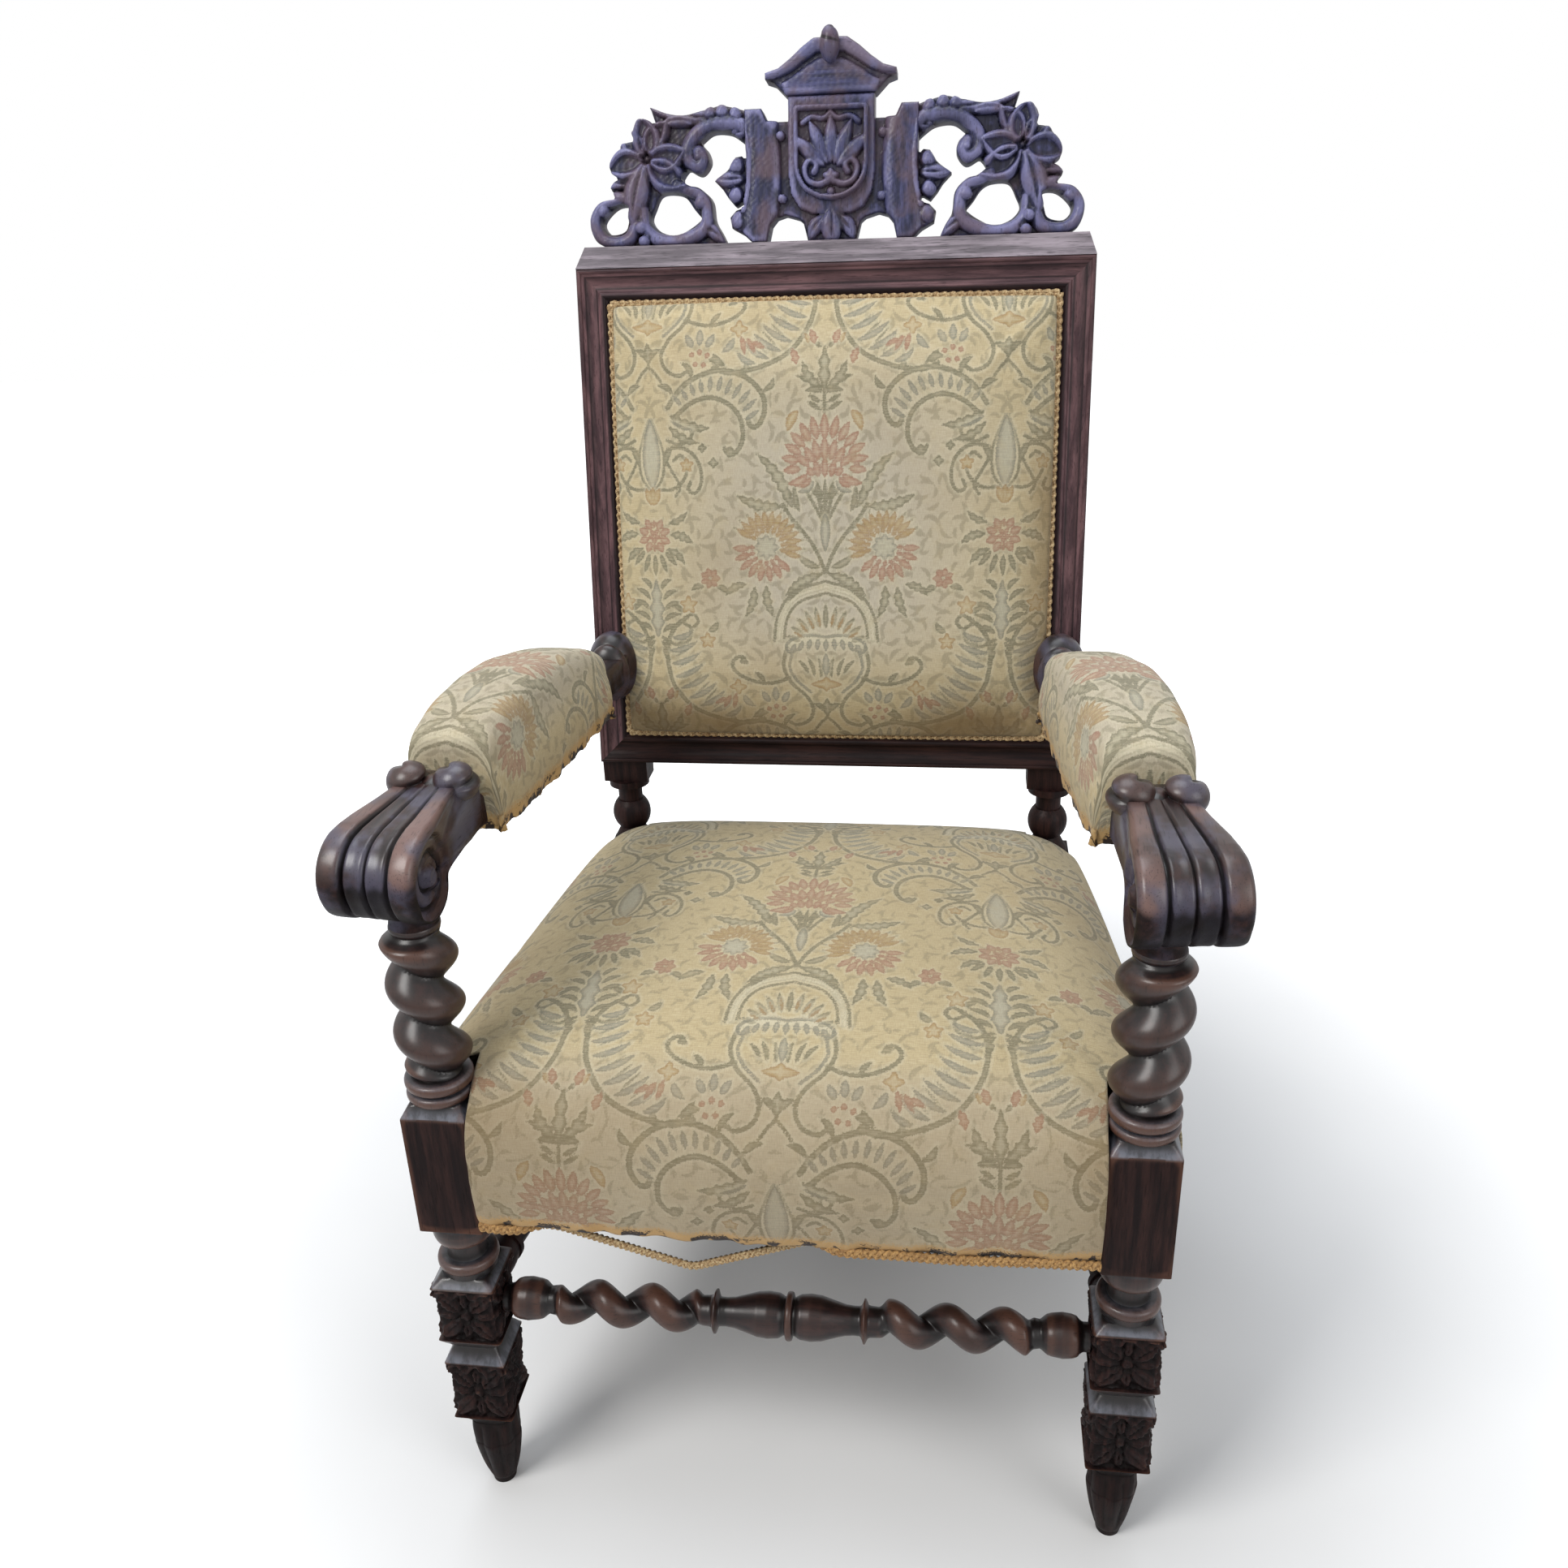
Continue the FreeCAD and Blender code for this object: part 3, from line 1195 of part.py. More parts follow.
def make_seat_pad():
    """The domed seat, with its cover carried down over the rails."""
    hem = size.seat_hem.number
    rise = size.seat_crown.number - hem
    rings = [seat_ring(inset * rise, hem + up * rise) for up, inset in SEAT_CROWN_SHARES]
    whole = shaped("seat_pad_whole", Part.makeLoft(rings, True, False))
    canvas_top = rail_top + size.canvas_thickness
    frame = seat_frame_cutter("seat_frame_room", (rail_bottom - size.cut_overrun, canvas_top))
    low = post_notches("seat_low_notch", (rail_bottom - size.cut_overrun, size.block_top))
    twist_room = size.twist_strand_radius + size.twist_offset
    high_z = (size.block_top, size.seat_crown + size.cut_overrun)
    high = post_notches("seat_high_notch", high_z, twist_room)
    trimmed = cut("seat_pad_trimmed", whole, [frame] + low)
    return cut("seat_pad", trimmed, high)


def make_spring_canvas():
    """Canvas over the springs, tacked down on top of the rails."""
    z = (rail_top, rail_top + size.canvas_thickness)
    return cut("spring_canvas", seat_frame_cutter("canvas_whole", z), post_notches("canvas_notch", z))


def web_places(reach, count):
    """Even places of webbing straps across a reach, about its middle."""
    step = reach / count
    return [step * (index - (count - 1) / 2) for index in range(count)]


def make_webbing():
    """Webbing under the rails: front-to-back straps, with cross straps under them."""
    count = round(size.web_count.number)
    upper = (rail_bottom - size.web_thickness, rail_bottom)
    lower = (rail_bottom - size.web_thickness * 2, rail_bottom - size.web_thickness)
    half = size.web_width / 2
    front = front_leg_y - rail_inner
    rear = rear_leg_y + rear_rail_inner
    straps = []
    for index, x in enumerate(web_places(size.rear_leg_spacing - size.rear_block_side, count)):
        span = (front - size.rail_thickness / 2, rear + size.rail_thickness / 2)
        straps.append(block(f"long_web_{index}", (x - half, x + half), span, upper))
    middle = (front + rear) / 2
    wide = size.rear_leg_spacing / 2 + rear_rail_outer - size.rail_thickness / 2
    for index, y in enumerate(web_places(rear - front, count)):
        span = (middle + y - half, middle + y + half)
        straps.append(block(f"cross_web_{index}", (-wide, wide), span, lower))
    return fused("seat_webbing", straps)


def bend(enter, corner, leave):
    """The arc between two points whose tangents meet at a corner equally far from both."""
    middle = (enter + leave) * 0.5
    half_chord = (leave - enter).Length / 2
    toward = corner - middle
    quarter_turn = math.atan2(toward.Length, half_chord) / 2
    crown = middle + toward.normalize() * (half_chord * math.tan(quarter_turn))
    return Part.Arc(enter, crown, leave).toShape()


def biarc(start, start_way, end, end_way):
    """Two arcs that join two points with given directions, and each other, without a corner."""
    run = end - start
    ways = start_way + end_way
    square = ways.dot(ways) - 4
    slope = run.dot(ways)
    reach = (slope - math.sqrt(slope * slope - square * run.dot(run))) / square
    first = start + start_way * reach
    second = end - end_way * reach
    joint = (first + second) * 0.5
    return [bend(start, first, joint), bend(joint, second, end)]


def make_springs():
    """Five coil springs between the webbing and the canvas, each one wire of quarter-turn arcs."""
    wire = size.spring_wire_radius.number
    radius = size.spring_radius.number
    turns = size.spring_turns.number
    bottom = rail_bottom.number + wire + size.soft_clearance.number
    rise = rail_top.number - wire - size.soft_clearance.number - bottom
    count = round(turns * SPRING_STEPS)
    points = []
    ways = []
    for step in range(count + 1):
        angle = 2.0 * math.pi * turns * step / count
        points.append(Vector(radius * math.cos(angle), radius * math.sin(angle), rise * step / count))
        climb = rise / (2.0 * math.pi * turns)
        ways.append(Vector(-radius * math.sin(angle), radius * math.cos(angle), climb).normalize())
    edges = []
    for step in range(count):
        edges += biarc(points[step], ways[step], points[step + 1], ways[step + 1])
    start = Part.Wire(Part.makeCircle(wire, points[0], ways[0]))
    spring = Part.Wire(edges).makePipeShell([start], True, False)
    print(f"spring gap between turns {rise / turns - wire * 2:.1f}")
    middle_y = ((front_leg_y + rear_leg_y) / 2).number
    spread = size.spring_spread.number
    coils = []
    for across, along in ((0, 0), (-1, -1), (1, -1), (-1, 1), (1, 1)):
        coils.append(spring.translated(Vector(across * spread, middle_y + along * spread, bottom)))
    return shaped("seat_springs", Part.makeCompound(coils))


def make_seat_braid():
    """Braid under the hem on all four sides, in two lengths at the front where it has come away."""
    z = (size.seat_hem - size.braid_height, size.seat_hem)
    front_inner = front_leg_x + block_half + size.soft_clearance
    rear_inner = rear_leg_x + rear_half + size.soft_clearance
    thick = size.braid_thickness
    front_face = front_leg_y - rail_outer
    rear_face = rear_leg_y + rear_rail_outer
    front_y = (front_face - thick, front_face)
    front_out = front_leg_x - rail_outer
    rear_out = rear_leg_x - rear_rail_outer
    side = skew_bar(
        "braid_side_whole", (front_out - thick, front_out), (rear_out - thick, rear_out),
        (front_leg_y, rear_leg_y), z,
    )
    trimmed = cut("braid_side", side, post_notches("braid_notch", z))
    return compound("seat_braid", [
        block("braid_front_left", (front_inner, size.braid_peel_left), front_y, z),
        block("braid_front_right", (size.braid_peel_right, -front_inner), front_y, z),
        block("braid_rear", (rear_inner, -rear_inner), (rear_face, rear_face + thick), z),
        trimmed,
        mirrored("braid_side_right", trimmed),
    ])


def make_loose_braid():
    """The hanging length of braid: a tube along straight runs joined by the largest tangent arcs."""
    y = (front_leg_y - rail_outer - size.braid_thickness / 2).number
    top = (size.seat_hem - size.braid_height / 2).number
    points = [Vector(x, y, top - drop) for x, drop in LOOSE_BRAID_ROUTE]
    edges = []
    spot = points[0]
    for before, here, after in zip(points, points[1:], points[2:]):
        back = (before - here)
        ahead = (after - here)
        half_turn = (math.pi - back.getAngle(ahead)) / 2
        run = ROUTE_BEND_SHARE * min(back.Length, ahead.Length)
        radius = run / math.tan(half_turn)
        print(f"loose braid bend radius {radius:.1f}")
        enter = here + Vector(back).normalize() * run
        leave = here + Vector(ahead).normalize() * run
        edges += [Part.makeLine(spot, enter), bend(enter, here, leave)]
        spot = leave
    edges.append(Part.makeLine(spot, points[-1]))
    path = Part.Wire(edges)
    radius = size.loose_braid_diameter.number / 2
    start = Part.Wire(Part.makeCircle(radius, points[0], points[1] - points[0]))
    tube = path.makePipeShell([start], True, False)
    plain_volume = math.pi * radius ** 2 * path.Length
    print(f"loose braid length {path.Length:.1f}, volume share {tube.Volume / plain_volume:.4f}")
    return shaped("loose_braid", tube)


def make_tacks():
    """Tacks through the ends of the front-to-back webbing straps, two at each end."""
    head = size.tack_head_height
    front = front_leg_y - rail_inner - size.rail_thickness / 4
    rear = rear_leg_y + rear_rail_inner + size.rail_thickness / 4
    under = rail_bottom - size.web_thickness
    tacks = []
    shanks = []
    count = round(size.web_count.number)
    for index, x in enumerate(web_places(size.rear_leg_spacing - size.rear_block_side, count)):
        for end, y in (("front", front), ("rear", rear)):
            for side in (-1, 1):
                name = f"tack_{end}_{index}_{'left' if side < 0 else 'right'}"
                place = x + size.web_width * side / 4
                shank = rod(f"{name}_shank", size.tack_shank_radius, size.tack_shank_length, place, y, under)
                tacks.append(fused(name, [
                    rod(f"{name}_head", size.tack_head_radius, head, place, y, under - head), shank,
                ]))
                shanks.append(shank)
    return compound("webbing_tacks", tacks), shanks


# Back upholstery, in the raked frame of the back.
def back_panel_edge():
    """Half width, bottom and top of the upholstered panel inside the moulding and its braid."""
    inset = size.moulding_width + size.back_braid_width
    return back_edge - inset, inset, size.back_height - inset


def make_back_pad():
    """The stuffed back: bowed sides and a crown towards the sitter."""
    half, low, high = (length.number for length in back_panel_edge())
    crown = size.back_pad_crown.number
    bow = size.back_pad_side_bow.number
    seat = (size.moulding_depth - size.canvas_thickness).number
    wires = []
    for forward, inset_share in BACK_CROWN_SHARES:
        inset = inset_share * crown
        behind = seat - forward * crown
        corners = [
            on_back(-half + inset, low + inset, behind), on_back(half - inset, low + inset, behind),
            on_back(half - inset, high - inset, behind), on_back(-half + inset, high - inset, behind),
        ]
        outward = (Vector(0, 0, -bow), Vector(bow, 0, 0), Vector(0, 0, bow), Vector(-bow, 0, 0))
        edges = []
        for index, start in enumerate(corners):
            end = corners[(index + 1) % len(corners)]
            edges.append(Part.Arc(start, (start + end) * 0.5 + outward[index], end).toShape())
        wires.append(Part.Wire(edges))
    return lean(shaped("back_pad", Part.makeLoft(wires, True, False)))


def make_back_braid():
    """Braid round the back pad, in the angle between pad and moulding."""
    half, low, high = back_panel_edge()
    width = size.back_braid_width - size.back_pad_side_bow - size.soft_clearance
    inner = size.moulding_width + width
    outer_frame = block(
        "back_braid_outer", (0, (back_edge - size.moulding_width) * 2), (0, size.back_braid_height),
        (0, size.back_height - size.moulding_width * 2),
    )
    behind = size.moulding_depth - size.back_braid_height
    lean(outer_frame, size.moulding_width - back_edge, size.moulding_width, behind)
    inner_frame = block(
        "back_braid_inner", (0, (back_edge - inner) * 2), (0, size.back_braid_height),
        (0, size.back_height - inner * 2),
    )
    lean(inner_frame, inner - back_edge, inner, behind)
    return cut("back_braid", outer_frame, [inner_frame])


def make_back_layers():
    """Canvas under the back pad, webbing behind it across the frame's opening, and the cloth at the rear."""
    half, low, high = back_panel_edge()
    canvas = block("back_canvas", (0, half * 2), (0, size.canvas_thickness), (0, high - low))
    lean(canvas, -half, low, size.moulding_depth - size.canvas_thickness)
    straps = []
    count = round(size.web_count.number)
    inner_low = size.stile_width
    inner_high = size.back_height - size.stile_width
    middle = size.back_height / 2
    half_web = size.web_width / 2
    thin = (0, size.web_thickness)
    for index, x in enumerate(web_places(stile_inner * 2, count)):
        strap = block(f"back_long_web_{index}", (0, size.web_width), thin, (0, inner_high - inner_low))
        straps.append(lean(strap, x - half_web, inner_low, size.moulding_depth))
    behind = size.moulding_depth + size.web_thickness
    for index, up in enumerate(web_places(inner_high - inner_low, count)):
        strap = block(f"back_cross_web_{index}", (0, stile_inner * 2), thin, (0, size.web_width))
        straps.append(lean(strap, -stile_inner, middle + up - half_web, behind))
    margin = size.back_cover_margin
    cover = block(
        "back_cover", (0, (back_edge - margin) * 2), (0, size.back_cover_thickness),
        (0, size.back_height - margin * 2),
    )
    lean(cover, margin - back_edge, margin, stile_rear)
    return {"back_canvas": canvas, "back_webbing": fused("back_webbing", straps), "back_cover": cover}


def make_chair():
    """Every sub-part of the chair by its name."""
    rails, front_tenons, rear_tenons = make_seat_rails()
    stretcher_front, front_stretcher_tenon = make_front_stretcher()
    stretcher_rear, rear_stretcher_tenon = make_rear_stretcher()
    stretcher_left, side_front_tenon, side_rear_tenon = make_side_stretcher()
    back_rails, back_tenons = make_back_rails()
    rear_whole = make_rear_leg()
    mouldings = make_mouldings()
    arm_left, dowel = make_arm(rear_whole, mouldings["back_moulding_left"])
    drilled = cut("back_moulding_drilled", mouldings["back_moulding_left"], [dowel])
    mouldings["back_moulding_left"] = drilled
    mouldings["back_moulding_right"] = mirrored("back_moulding_right", drilled)
    tacks, shanks = make_tacks()
    front_mortises = front_tenons + [front_stretcher_tenon, side_front_tenon]
    front_leg = cut("front_leg_left", make_front_leg(), front_mortises)
    rear_mortises = rear_tenons + back_tenons + [rear_stretcher_tenon, side_rear_tenon, dowel]
    rear_leg = cut("rear_leg_left", rear_whole, rear_mortises)
    arm_pad = make_arm_pad(arm_left)
    parts = {
        "front_leg_left": front_leg,
        "front_leg_right": mirrored("front_leg_right", front_leg),
        "rear_leg_left": rear_leg,
        "rear_leg_right": mirrored("rear_leg_right", rear_leg),
        "stretcher_front": stretcher_front,
        "stretcher_rear": stretcher_rear,
        "stretcher_left": stretcher_left,
        "stretcher_right": mirrored("stretcher_right", stretcher_left),
        "arm_left": arm_left,
        "arm_right": mirrored("arm_right", arm_left),
        "arm_dowels": compound("arm_dowels", [dowel, mirrored("arm_dowel_right", dowel)]),
        "arm_pad_left": arm_pad,
        "arm_pad_right": mirrored("arm_pad_right", arm_pad),
        "seat_corner_blocks": make_corner_blocks(rails),
        "seat_webbing": cut("seat_webbing_pierced", make_webbing(), shanks),
        "seat_springs": make_springs(),
        "spring_canvas": make_spring_canvas(),
        "seat_pad": make_seat_pad(),
        "seat_braid": make_seat_braid(),
        "loose_braid": make_loose_braid(),
        "webbing_tacks": tacks,
        "back_pad": make_back_pad(),
        "back_braid": make_back_braid(),
    }
    for name in ("seat_rail_left", "seat_rail_right"):
        parts[name] = rails[name]
    for name in ("seat_rail_front", "seat_rail_rear"):
        parts[name] = cut(f"{name}_pierced", rails[name], shanks)
    parts.update(back_rails)
    parts.update(mouldings)
    parts.update(make_crest())
    parts.update(make_back_layers())
    return parts


def write(parts):
    """Check every object and sub-part, then write each sub-part to a file of its own name."""
    doc.recompute()
    for item in doc.Objects:
        if "Invalid" in item.State or "Error" in item.State:
            raise RuntimeError(f"{item.Name} failed: {item.State}")
    for name, piece in parts.items():
        piece.Label = name
        if piece.Shape.isNull() or not piece.Shape.isValid() or not piece.Shape.Solids:
            raise RuntimeError(f"{name} has no valid solid")
    os.makedirs("parts", exist_ok=True)
    for name, piece in parts.items():
        piece.Shape.exportStep(f"parts/{name}.step")


write(make_chair())
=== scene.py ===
"""Looks of a carved oak bishops chair in worn brocade, set round its packed construction model."""

import math

import bpy
import numpy as np
from mathutils import Matrix, Vector


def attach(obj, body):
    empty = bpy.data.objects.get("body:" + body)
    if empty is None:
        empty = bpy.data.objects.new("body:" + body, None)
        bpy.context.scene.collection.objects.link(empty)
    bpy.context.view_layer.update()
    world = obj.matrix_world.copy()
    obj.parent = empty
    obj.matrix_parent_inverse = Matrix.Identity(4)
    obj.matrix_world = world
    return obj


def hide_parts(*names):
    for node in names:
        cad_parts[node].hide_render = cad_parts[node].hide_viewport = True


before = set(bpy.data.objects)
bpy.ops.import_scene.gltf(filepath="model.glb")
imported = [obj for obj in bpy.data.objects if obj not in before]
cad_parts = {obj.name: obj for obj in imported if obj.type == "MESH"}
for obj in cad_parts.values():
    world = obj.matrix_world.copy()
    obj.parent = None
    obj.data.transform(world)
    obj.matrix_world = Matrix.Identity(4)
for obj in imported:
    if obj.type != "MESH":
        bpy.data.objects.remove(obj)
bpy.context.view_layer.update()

bl_info = {
    "name": "Bishops Chair",
    "version": (1, 0, 0),
    "blender": (4, 5, 0),
    "location": "3D View > Sidebar > Chair",
    "description": "Carved oak armchair with barley twists, a pierced cresting and worn brocade",
    "category": "Add Mesh",
}

MM = 0.001

# A handed piece is worked out for the right of the chair, and its left one is mirrored.
SIDES = (("left", True), ("right", False))

# The posts, the raked back and the arms, in millimetres: +X to the viewer's right, -Y to the front.
FRONT_POST_X, FRONT_POST_Y = 305, -309.889
BACK_Y, BACK_Z = 197.111, 585
BACK_RAKE = math.radians(8.77)
ARM_REAR_X, ARM_REAR_Y = 253, 213.311
ARM_SPLAY = math.radians(7)
COVER_THICKNESS = 2.5

# The brocade repeats every REPEAT_WIDE by REPEAT_TALL millimetres, and once more at the half drop.
# A distance from its motifs is told up to FAR.
REPEAT_WIDE, REPEAT_TALL = 388, 780
REPEAT_FOOT = -354
FAR = 30.0
# Sprigs between the motifs, layer by layer: cell, half length, half width and a number of its own.
SPRIGS = ((20, 7, 2.1, 0), (24, 9.5, 2.4, 17), (30, 11, 2.6, 41))

# Motifs of one repeat, mirrored about its middle line: across and up from the heart of the big flower.
# leaf: start, end, half width, bow, teeth. line: half width, points. disc: centre, radius, lobes, depth.
# burst: centre, inner and outer radius, first and last angle, petals, half width.
# feather: roots, tips, count of strokes, half width, bow.
MOTIFS = (
    # The great carnation, its calyx and its sheaf of stems.
    ("rose", "feather", ((0, 11), (12, 10), (22, 2), (27, -10), (26, -20)),
     ((0, 38), (20, 33), (37, 18), (47, -4), (46, -22)), 7, 4.6),
    ("rose", "feather", ((0, -11), (9, -12), (17, -17)), ((0, 14), (16, 9), (30, -6)), 4, 4.5),
    ("rose", "feather", ((0, -29), (7, -29), (13, -28)), ((0, -7), (9, -9), (19, -18)), 3, 3.9),
    ("rose", "leaf", (19, -26), (41, -36), 4.6, -3),
    ("rose", "leaf", (15, -29), (29, -40), 3.2, -2),
    ("slate", "leaf", (12, -33), (30, -45), 3.6, -3),
    ("sage", "feather", ((0, -58), (2, -56), (4, -54)), ((0, -30), (8, -30), (18, -38)), 3, 2),
    ("sage", "line", 1.9, ((0, -42), (0, -76))),
    ("sage", "line", 1.7, ((10, -40), (6, -56), (1, -74))),
    ("sage", "line", 1.6, ((21, -43), (11, -60), (2, -78))),
    ("slate", "leaf", (0, -68), (0, -109), 5.4),
    # Big leaves at the sides of the stems, and the crossing stalks.
    ("sage", "leaf", (38, -60), (75, -3), 7.4, 6, 6),
    ("sage", "leaf", (46, -60), (98, -47), 7, -5, 6),
    ("sage", "leaf", (34, -62), (47, -24), 3.8, -3),
    ("sage", "leaf", (28, -66), (33, -36), 3.2, -2),
    ("sage", "line", 1.9, ((0, -131), (10, -108), (22, -90), (36, -74), (46, -58))),
    ("sage", "line", 1.6, ((22, -90), (32, -82), (46, -80), (58, -74))),
    ("sage", "leaf", (4, -133), (45, -158), 6.4, 4, 6),
    ("sage", "leaf", (6, -126), (31, -111), 4, -3),
    ("sage", "line", 1.6, ((0, -130), (18, -142), (41, -161))),
    # The crowned flowers.
    ("ochre", "burst", (64, -103), 20, 39, 22, 205, 13, 3.4),
    ("ochre", "burst", (64, -103), 14, 23, 22, 205, 9, 2.4),
    ("sage", "burst", (64, -103), 37, 43, 22, 205, 13, 1.3),
    ("slate", "disc", (65, -104), 12.5, 8, 0.16),
    ("pale", "disc", (66, -104), 8.5, 6, 0.2),
    ("slate", "disc", (64, -103), 4.2, 5, 0.2),
    ("rose", "burst", (66, -106), 18, 37, 212, 372, 8, 3.8),
    ("rose", "burst", (66, -106), 12, 20, 205, 380, 7, 2.3),
    ("sage", "leaf", (66, -146), (58, -181), 5.6, 3, 4),
    ("sage", "leaf", (79, -147), (90, -181), 5.6, -3, 4),
    ("sage", "leaf", (88, -144), (112, -157), 5.2, 3, 4),
    # The hood and the vase below it.
    ("pale", "line", 2.6, ((53, -206), (48, -180), (32, -158), (0, -147))),
    ("sage", "line", 1.5, ((58, -208), (53, -178), (35, -153), (0, -141))),
    ("sage", "line", 1.4, ((47, -204), (43, -182), (29, -164), (0, -154))),
    ("sage", "feather", ((0, -193), (12, -195), (22, -201), (28, -208)),
     ((0, -166), (20, -172), (36, -185), (44, -202)), 6, 2.9),
    ("ochre", "feather", ((6, -192), (17, -197), (25, -204)), ((9, -176), (26, -184), (37, -197)), 4, 1.5),
    ("pale", "leaf", (-4, -207), (44, -214), 6.5, 6),
    ("slate", "line", 1.6, ((0, -203), (20, -201), (38, -206), (45, -214), (40, -221), (33, -217))),
    ("slate", "feather", ((0, -206), (12, -205), (24, -207), (34, -211)),
     ((0, -219), (14, -218), (28, -219), (40, -222)), 5, 2.8),
    ("slate", "leaf", (0, -222), (0, -250), 4),
    ("sage", "line", 1.9, ((44, -214), (48, -236), (40, -256), (24, -272), (16, -288), (21, -304),
     (36, -311), (48, -304))),
    ("slate", "line", 1.5, ((38, -222), (41, -238), (33, -254), (18, -268))),
    ("sage", "feather", ((6, -250), (12, -249), (20, -245)),
     ((9, -225), (20, -226), (33, -229)), 3, 2.3, 2),
    ("ochre", "leaf", (-18, -258), (18, -258), 5.8),
    ("ochre", "leaf", (0, -249), (0, -267), 5.6),
    ("sage", "leaf", (0, -276), (0, -300), 5.6, 0, 3),
    ("sage", "leaf", (3, -292), (15, -282), 3.4, 2),
    ("sage", "line", 1.5, ((0, -300), (8, -308), (14, -316))),
    # The tendril, the berries, the leafy bud and the plumed scroll.
    ("sage", "line", 1.9, ((41, -250), (56, -256), (74, -257), (94, -250), (106, -239), (104, -229),
     (95, -226), (90, -233))),
    ("sage", "disc", (94, -231), 3.6, 3, 0.1),
    ("sage", "leaf", (70, -256), (81, -243), 2.8, 1),
    ("rose", "feather", ((49, -286), (58, -283), (68, -287)), ((51, -292), (58, -290), (66, -293)), 3, 3),
    ("rose", "feather", ((53, -296), (64, -297)), ((55, -302), (62, -303)), 2, 3),
    ("slate", "feather", ((51, -281), (58, -279), (66, -281)),
     ((43, -267), (58, -261), (74, -267)), 3, 4),
    ("sage", "leaf", (68, -294), (87, -302), 3.8, 2),
    ("ochre", "disc", (101, -262), 7.6, 4, 0.3),
    ("rose", "feather", ((104, -270), (110, -272), (116, -276)),
     ((108, -290), (120, -289), (130, -284)), 3, 2.9),
    ("slate", "leaf", (96, -272), (83, -287), 3.8, 2),
    ("sage", "line", 2.4, ((158, -182), (174, -196), (183, -222), (178, -256), (158, -286), (128, -302),
     (92, -309), (74, -303))),
    ("sage", "line", 1.7, ((158, -182), (150, -178), (144, -186), (150, -193))),
    ("slate", "feather",
     ((176, -206), (180, -224), (177, -244), (170, -262), (158, -279), (140, -292), (120, -300)),
     ((150, -196), (145, -212), (141, -230), (133, -246), (123, -260), (111, -272), (99, -286)), 9, 3.3, 3),
    ("sage", "feather", ((172, -214), (172, -234), (166, -253), (152, -274), (132, -290)),
     ((157, -205), (153, -223), (146, -241), (133, -257), (117, -271)), 8, 1.3),
    ("ochre", "disc", (155, -168), 8.4, 5, 0.3),
    ("sage", "leaf", (161, -176), (174, -169), 3.2, 1),
    ("ochre", "disc", (134, -208), 7.6, 5, 0.3),
    ("sage", "leaf", (133, -198), (121, -186), 3.8, 2),
    ("rose", "burst", (129, -138), 2, 12, 0, 360, 7, 3.4),
    ("sage", "leaf", (136, -147), (151, -151), 3.5, 2),
    ("sage", "leaf", (122, -147), (109, -155), 3.5, -2),
    # The shell scroll and the acanthus beside it.
    ("sage", "line", 2.6, ((172, 46), (160, 62), (140, 77), (112, 84), (84, 76), (67, 58), (65, 40),
     (72, 26), (80, 25), (83, 33))),
    ("sage", "line", 2.4, ((164, 36), (146, 50), (124, 56), (103, 48), (91, 33), (89, 13), (95, 0),
     (104, -5), (109, 2))),
    ("sage", "disc", (103, -1), 4.8, 3, 0.1),
    ("slate", "feather", ((156, 48), (140, 58), (120, 62), (104, 57), (92, 46), (86, 32)),
     ((165, 58), (146, 71), (118, 79), (92, 73), (76, 60), (70, 42)), 11, 2.6),
    ("sage", "feather", ((166, 60), (142, 78), (112, 86), (84, 78), (66, 62)),
     ((184, 70), (158, 93), (122, 102), (86, 94), (54, 76)), 5, 3.3, 3),
    ("sage", "leaf", (170, 38), (124, 24), 6.6, 5, 5),
    ("sage", "leaf", (172, 27), (136, 8), 5.2, 4, 4),
    ("slate", "leaf", (170, 33), (142, 22), 1.8, 2),
    ("sage", "disc", (134, 3), 4.2, 4, 0.25),
    ("sage", "disc", (122, -13), 4.8, 4, 0.25),
    ("ochre", "disc", (152, -15), 6.6, 5, 0.25),
    ("sage", "line", 1.7, ((174, 2), (160, 4), (146, -2), (137, -16), (136, -34), (143, -45), (151, -41),
     (148, -33))),
    ("sage", "line", 1.5, ((176, -10), (168, -24), (160, -38), (166, -48))),
    # The leafy crown above the carnation, its buds and pods.
    ("sage", "leaf", (0, 61), (0, 108), 7, 0, 3),
    ("sage", "leaf", (3, 64), (24, 93), 5.6, -4, 4),
    ("sage", "leaf", (3, 62), (31, 77), 4.8, 3, 3),
    ("sage", "leaf", (2, 60), (21, 61), 3.2, 2),
    ("sage", "line", 1.6, ((0, 38), (0, 62))),
    ("sage", "feather", ((4, 49), (4, 41)), ((18, 57), (19, 50)), 2, 2.4),
    ("rose", "leaf", (11, 110), (16, 126), 4.8, 1, 3),
    ("rose", "leaf", (30, 89), (36, 106), 4.8, 1, 3),
    ("ochre", "leaf", (17, 111), (22, 122), 2.8, 1),
    ("sage", "leaf", (10, 112), (4, 106), 2.4),
    ("ochre", "leaf", (29, 41), (40, 19), 5.2, 2),
    # The pillar between: rosette, bud, urn and leaves.
    ("rose", "burst", (0, 298), 8, 21, 0, 360, 9, 4.4),
    ("rose", "burst", (0, 298), 1, 9, 20, 380, 5, 2.6),
    ("sage", "leaf", (20, 300), (47, 290), 5.6, 3, 4),
    ("sage", "leaf", (18, 312), (41, 325), 4.4, -3, 3),
    ("sage", "leaf", (15, 284), (37, 267), 4.8, 3, 3),
    ("sage", "feather", ((0, 277), (7, 278), (13, 281)), ((0, 253), (14, 257), (27, 265)), 3, 3.1),
    ("ochre", "burst", (0, 330), 2, 22, 55, 125, 3, 4.4),
    ("slate", "leaf", (0, 350), (0, 424), 11),
    ("pale", "leaf", (0, 360), (0, 414), 3.4),
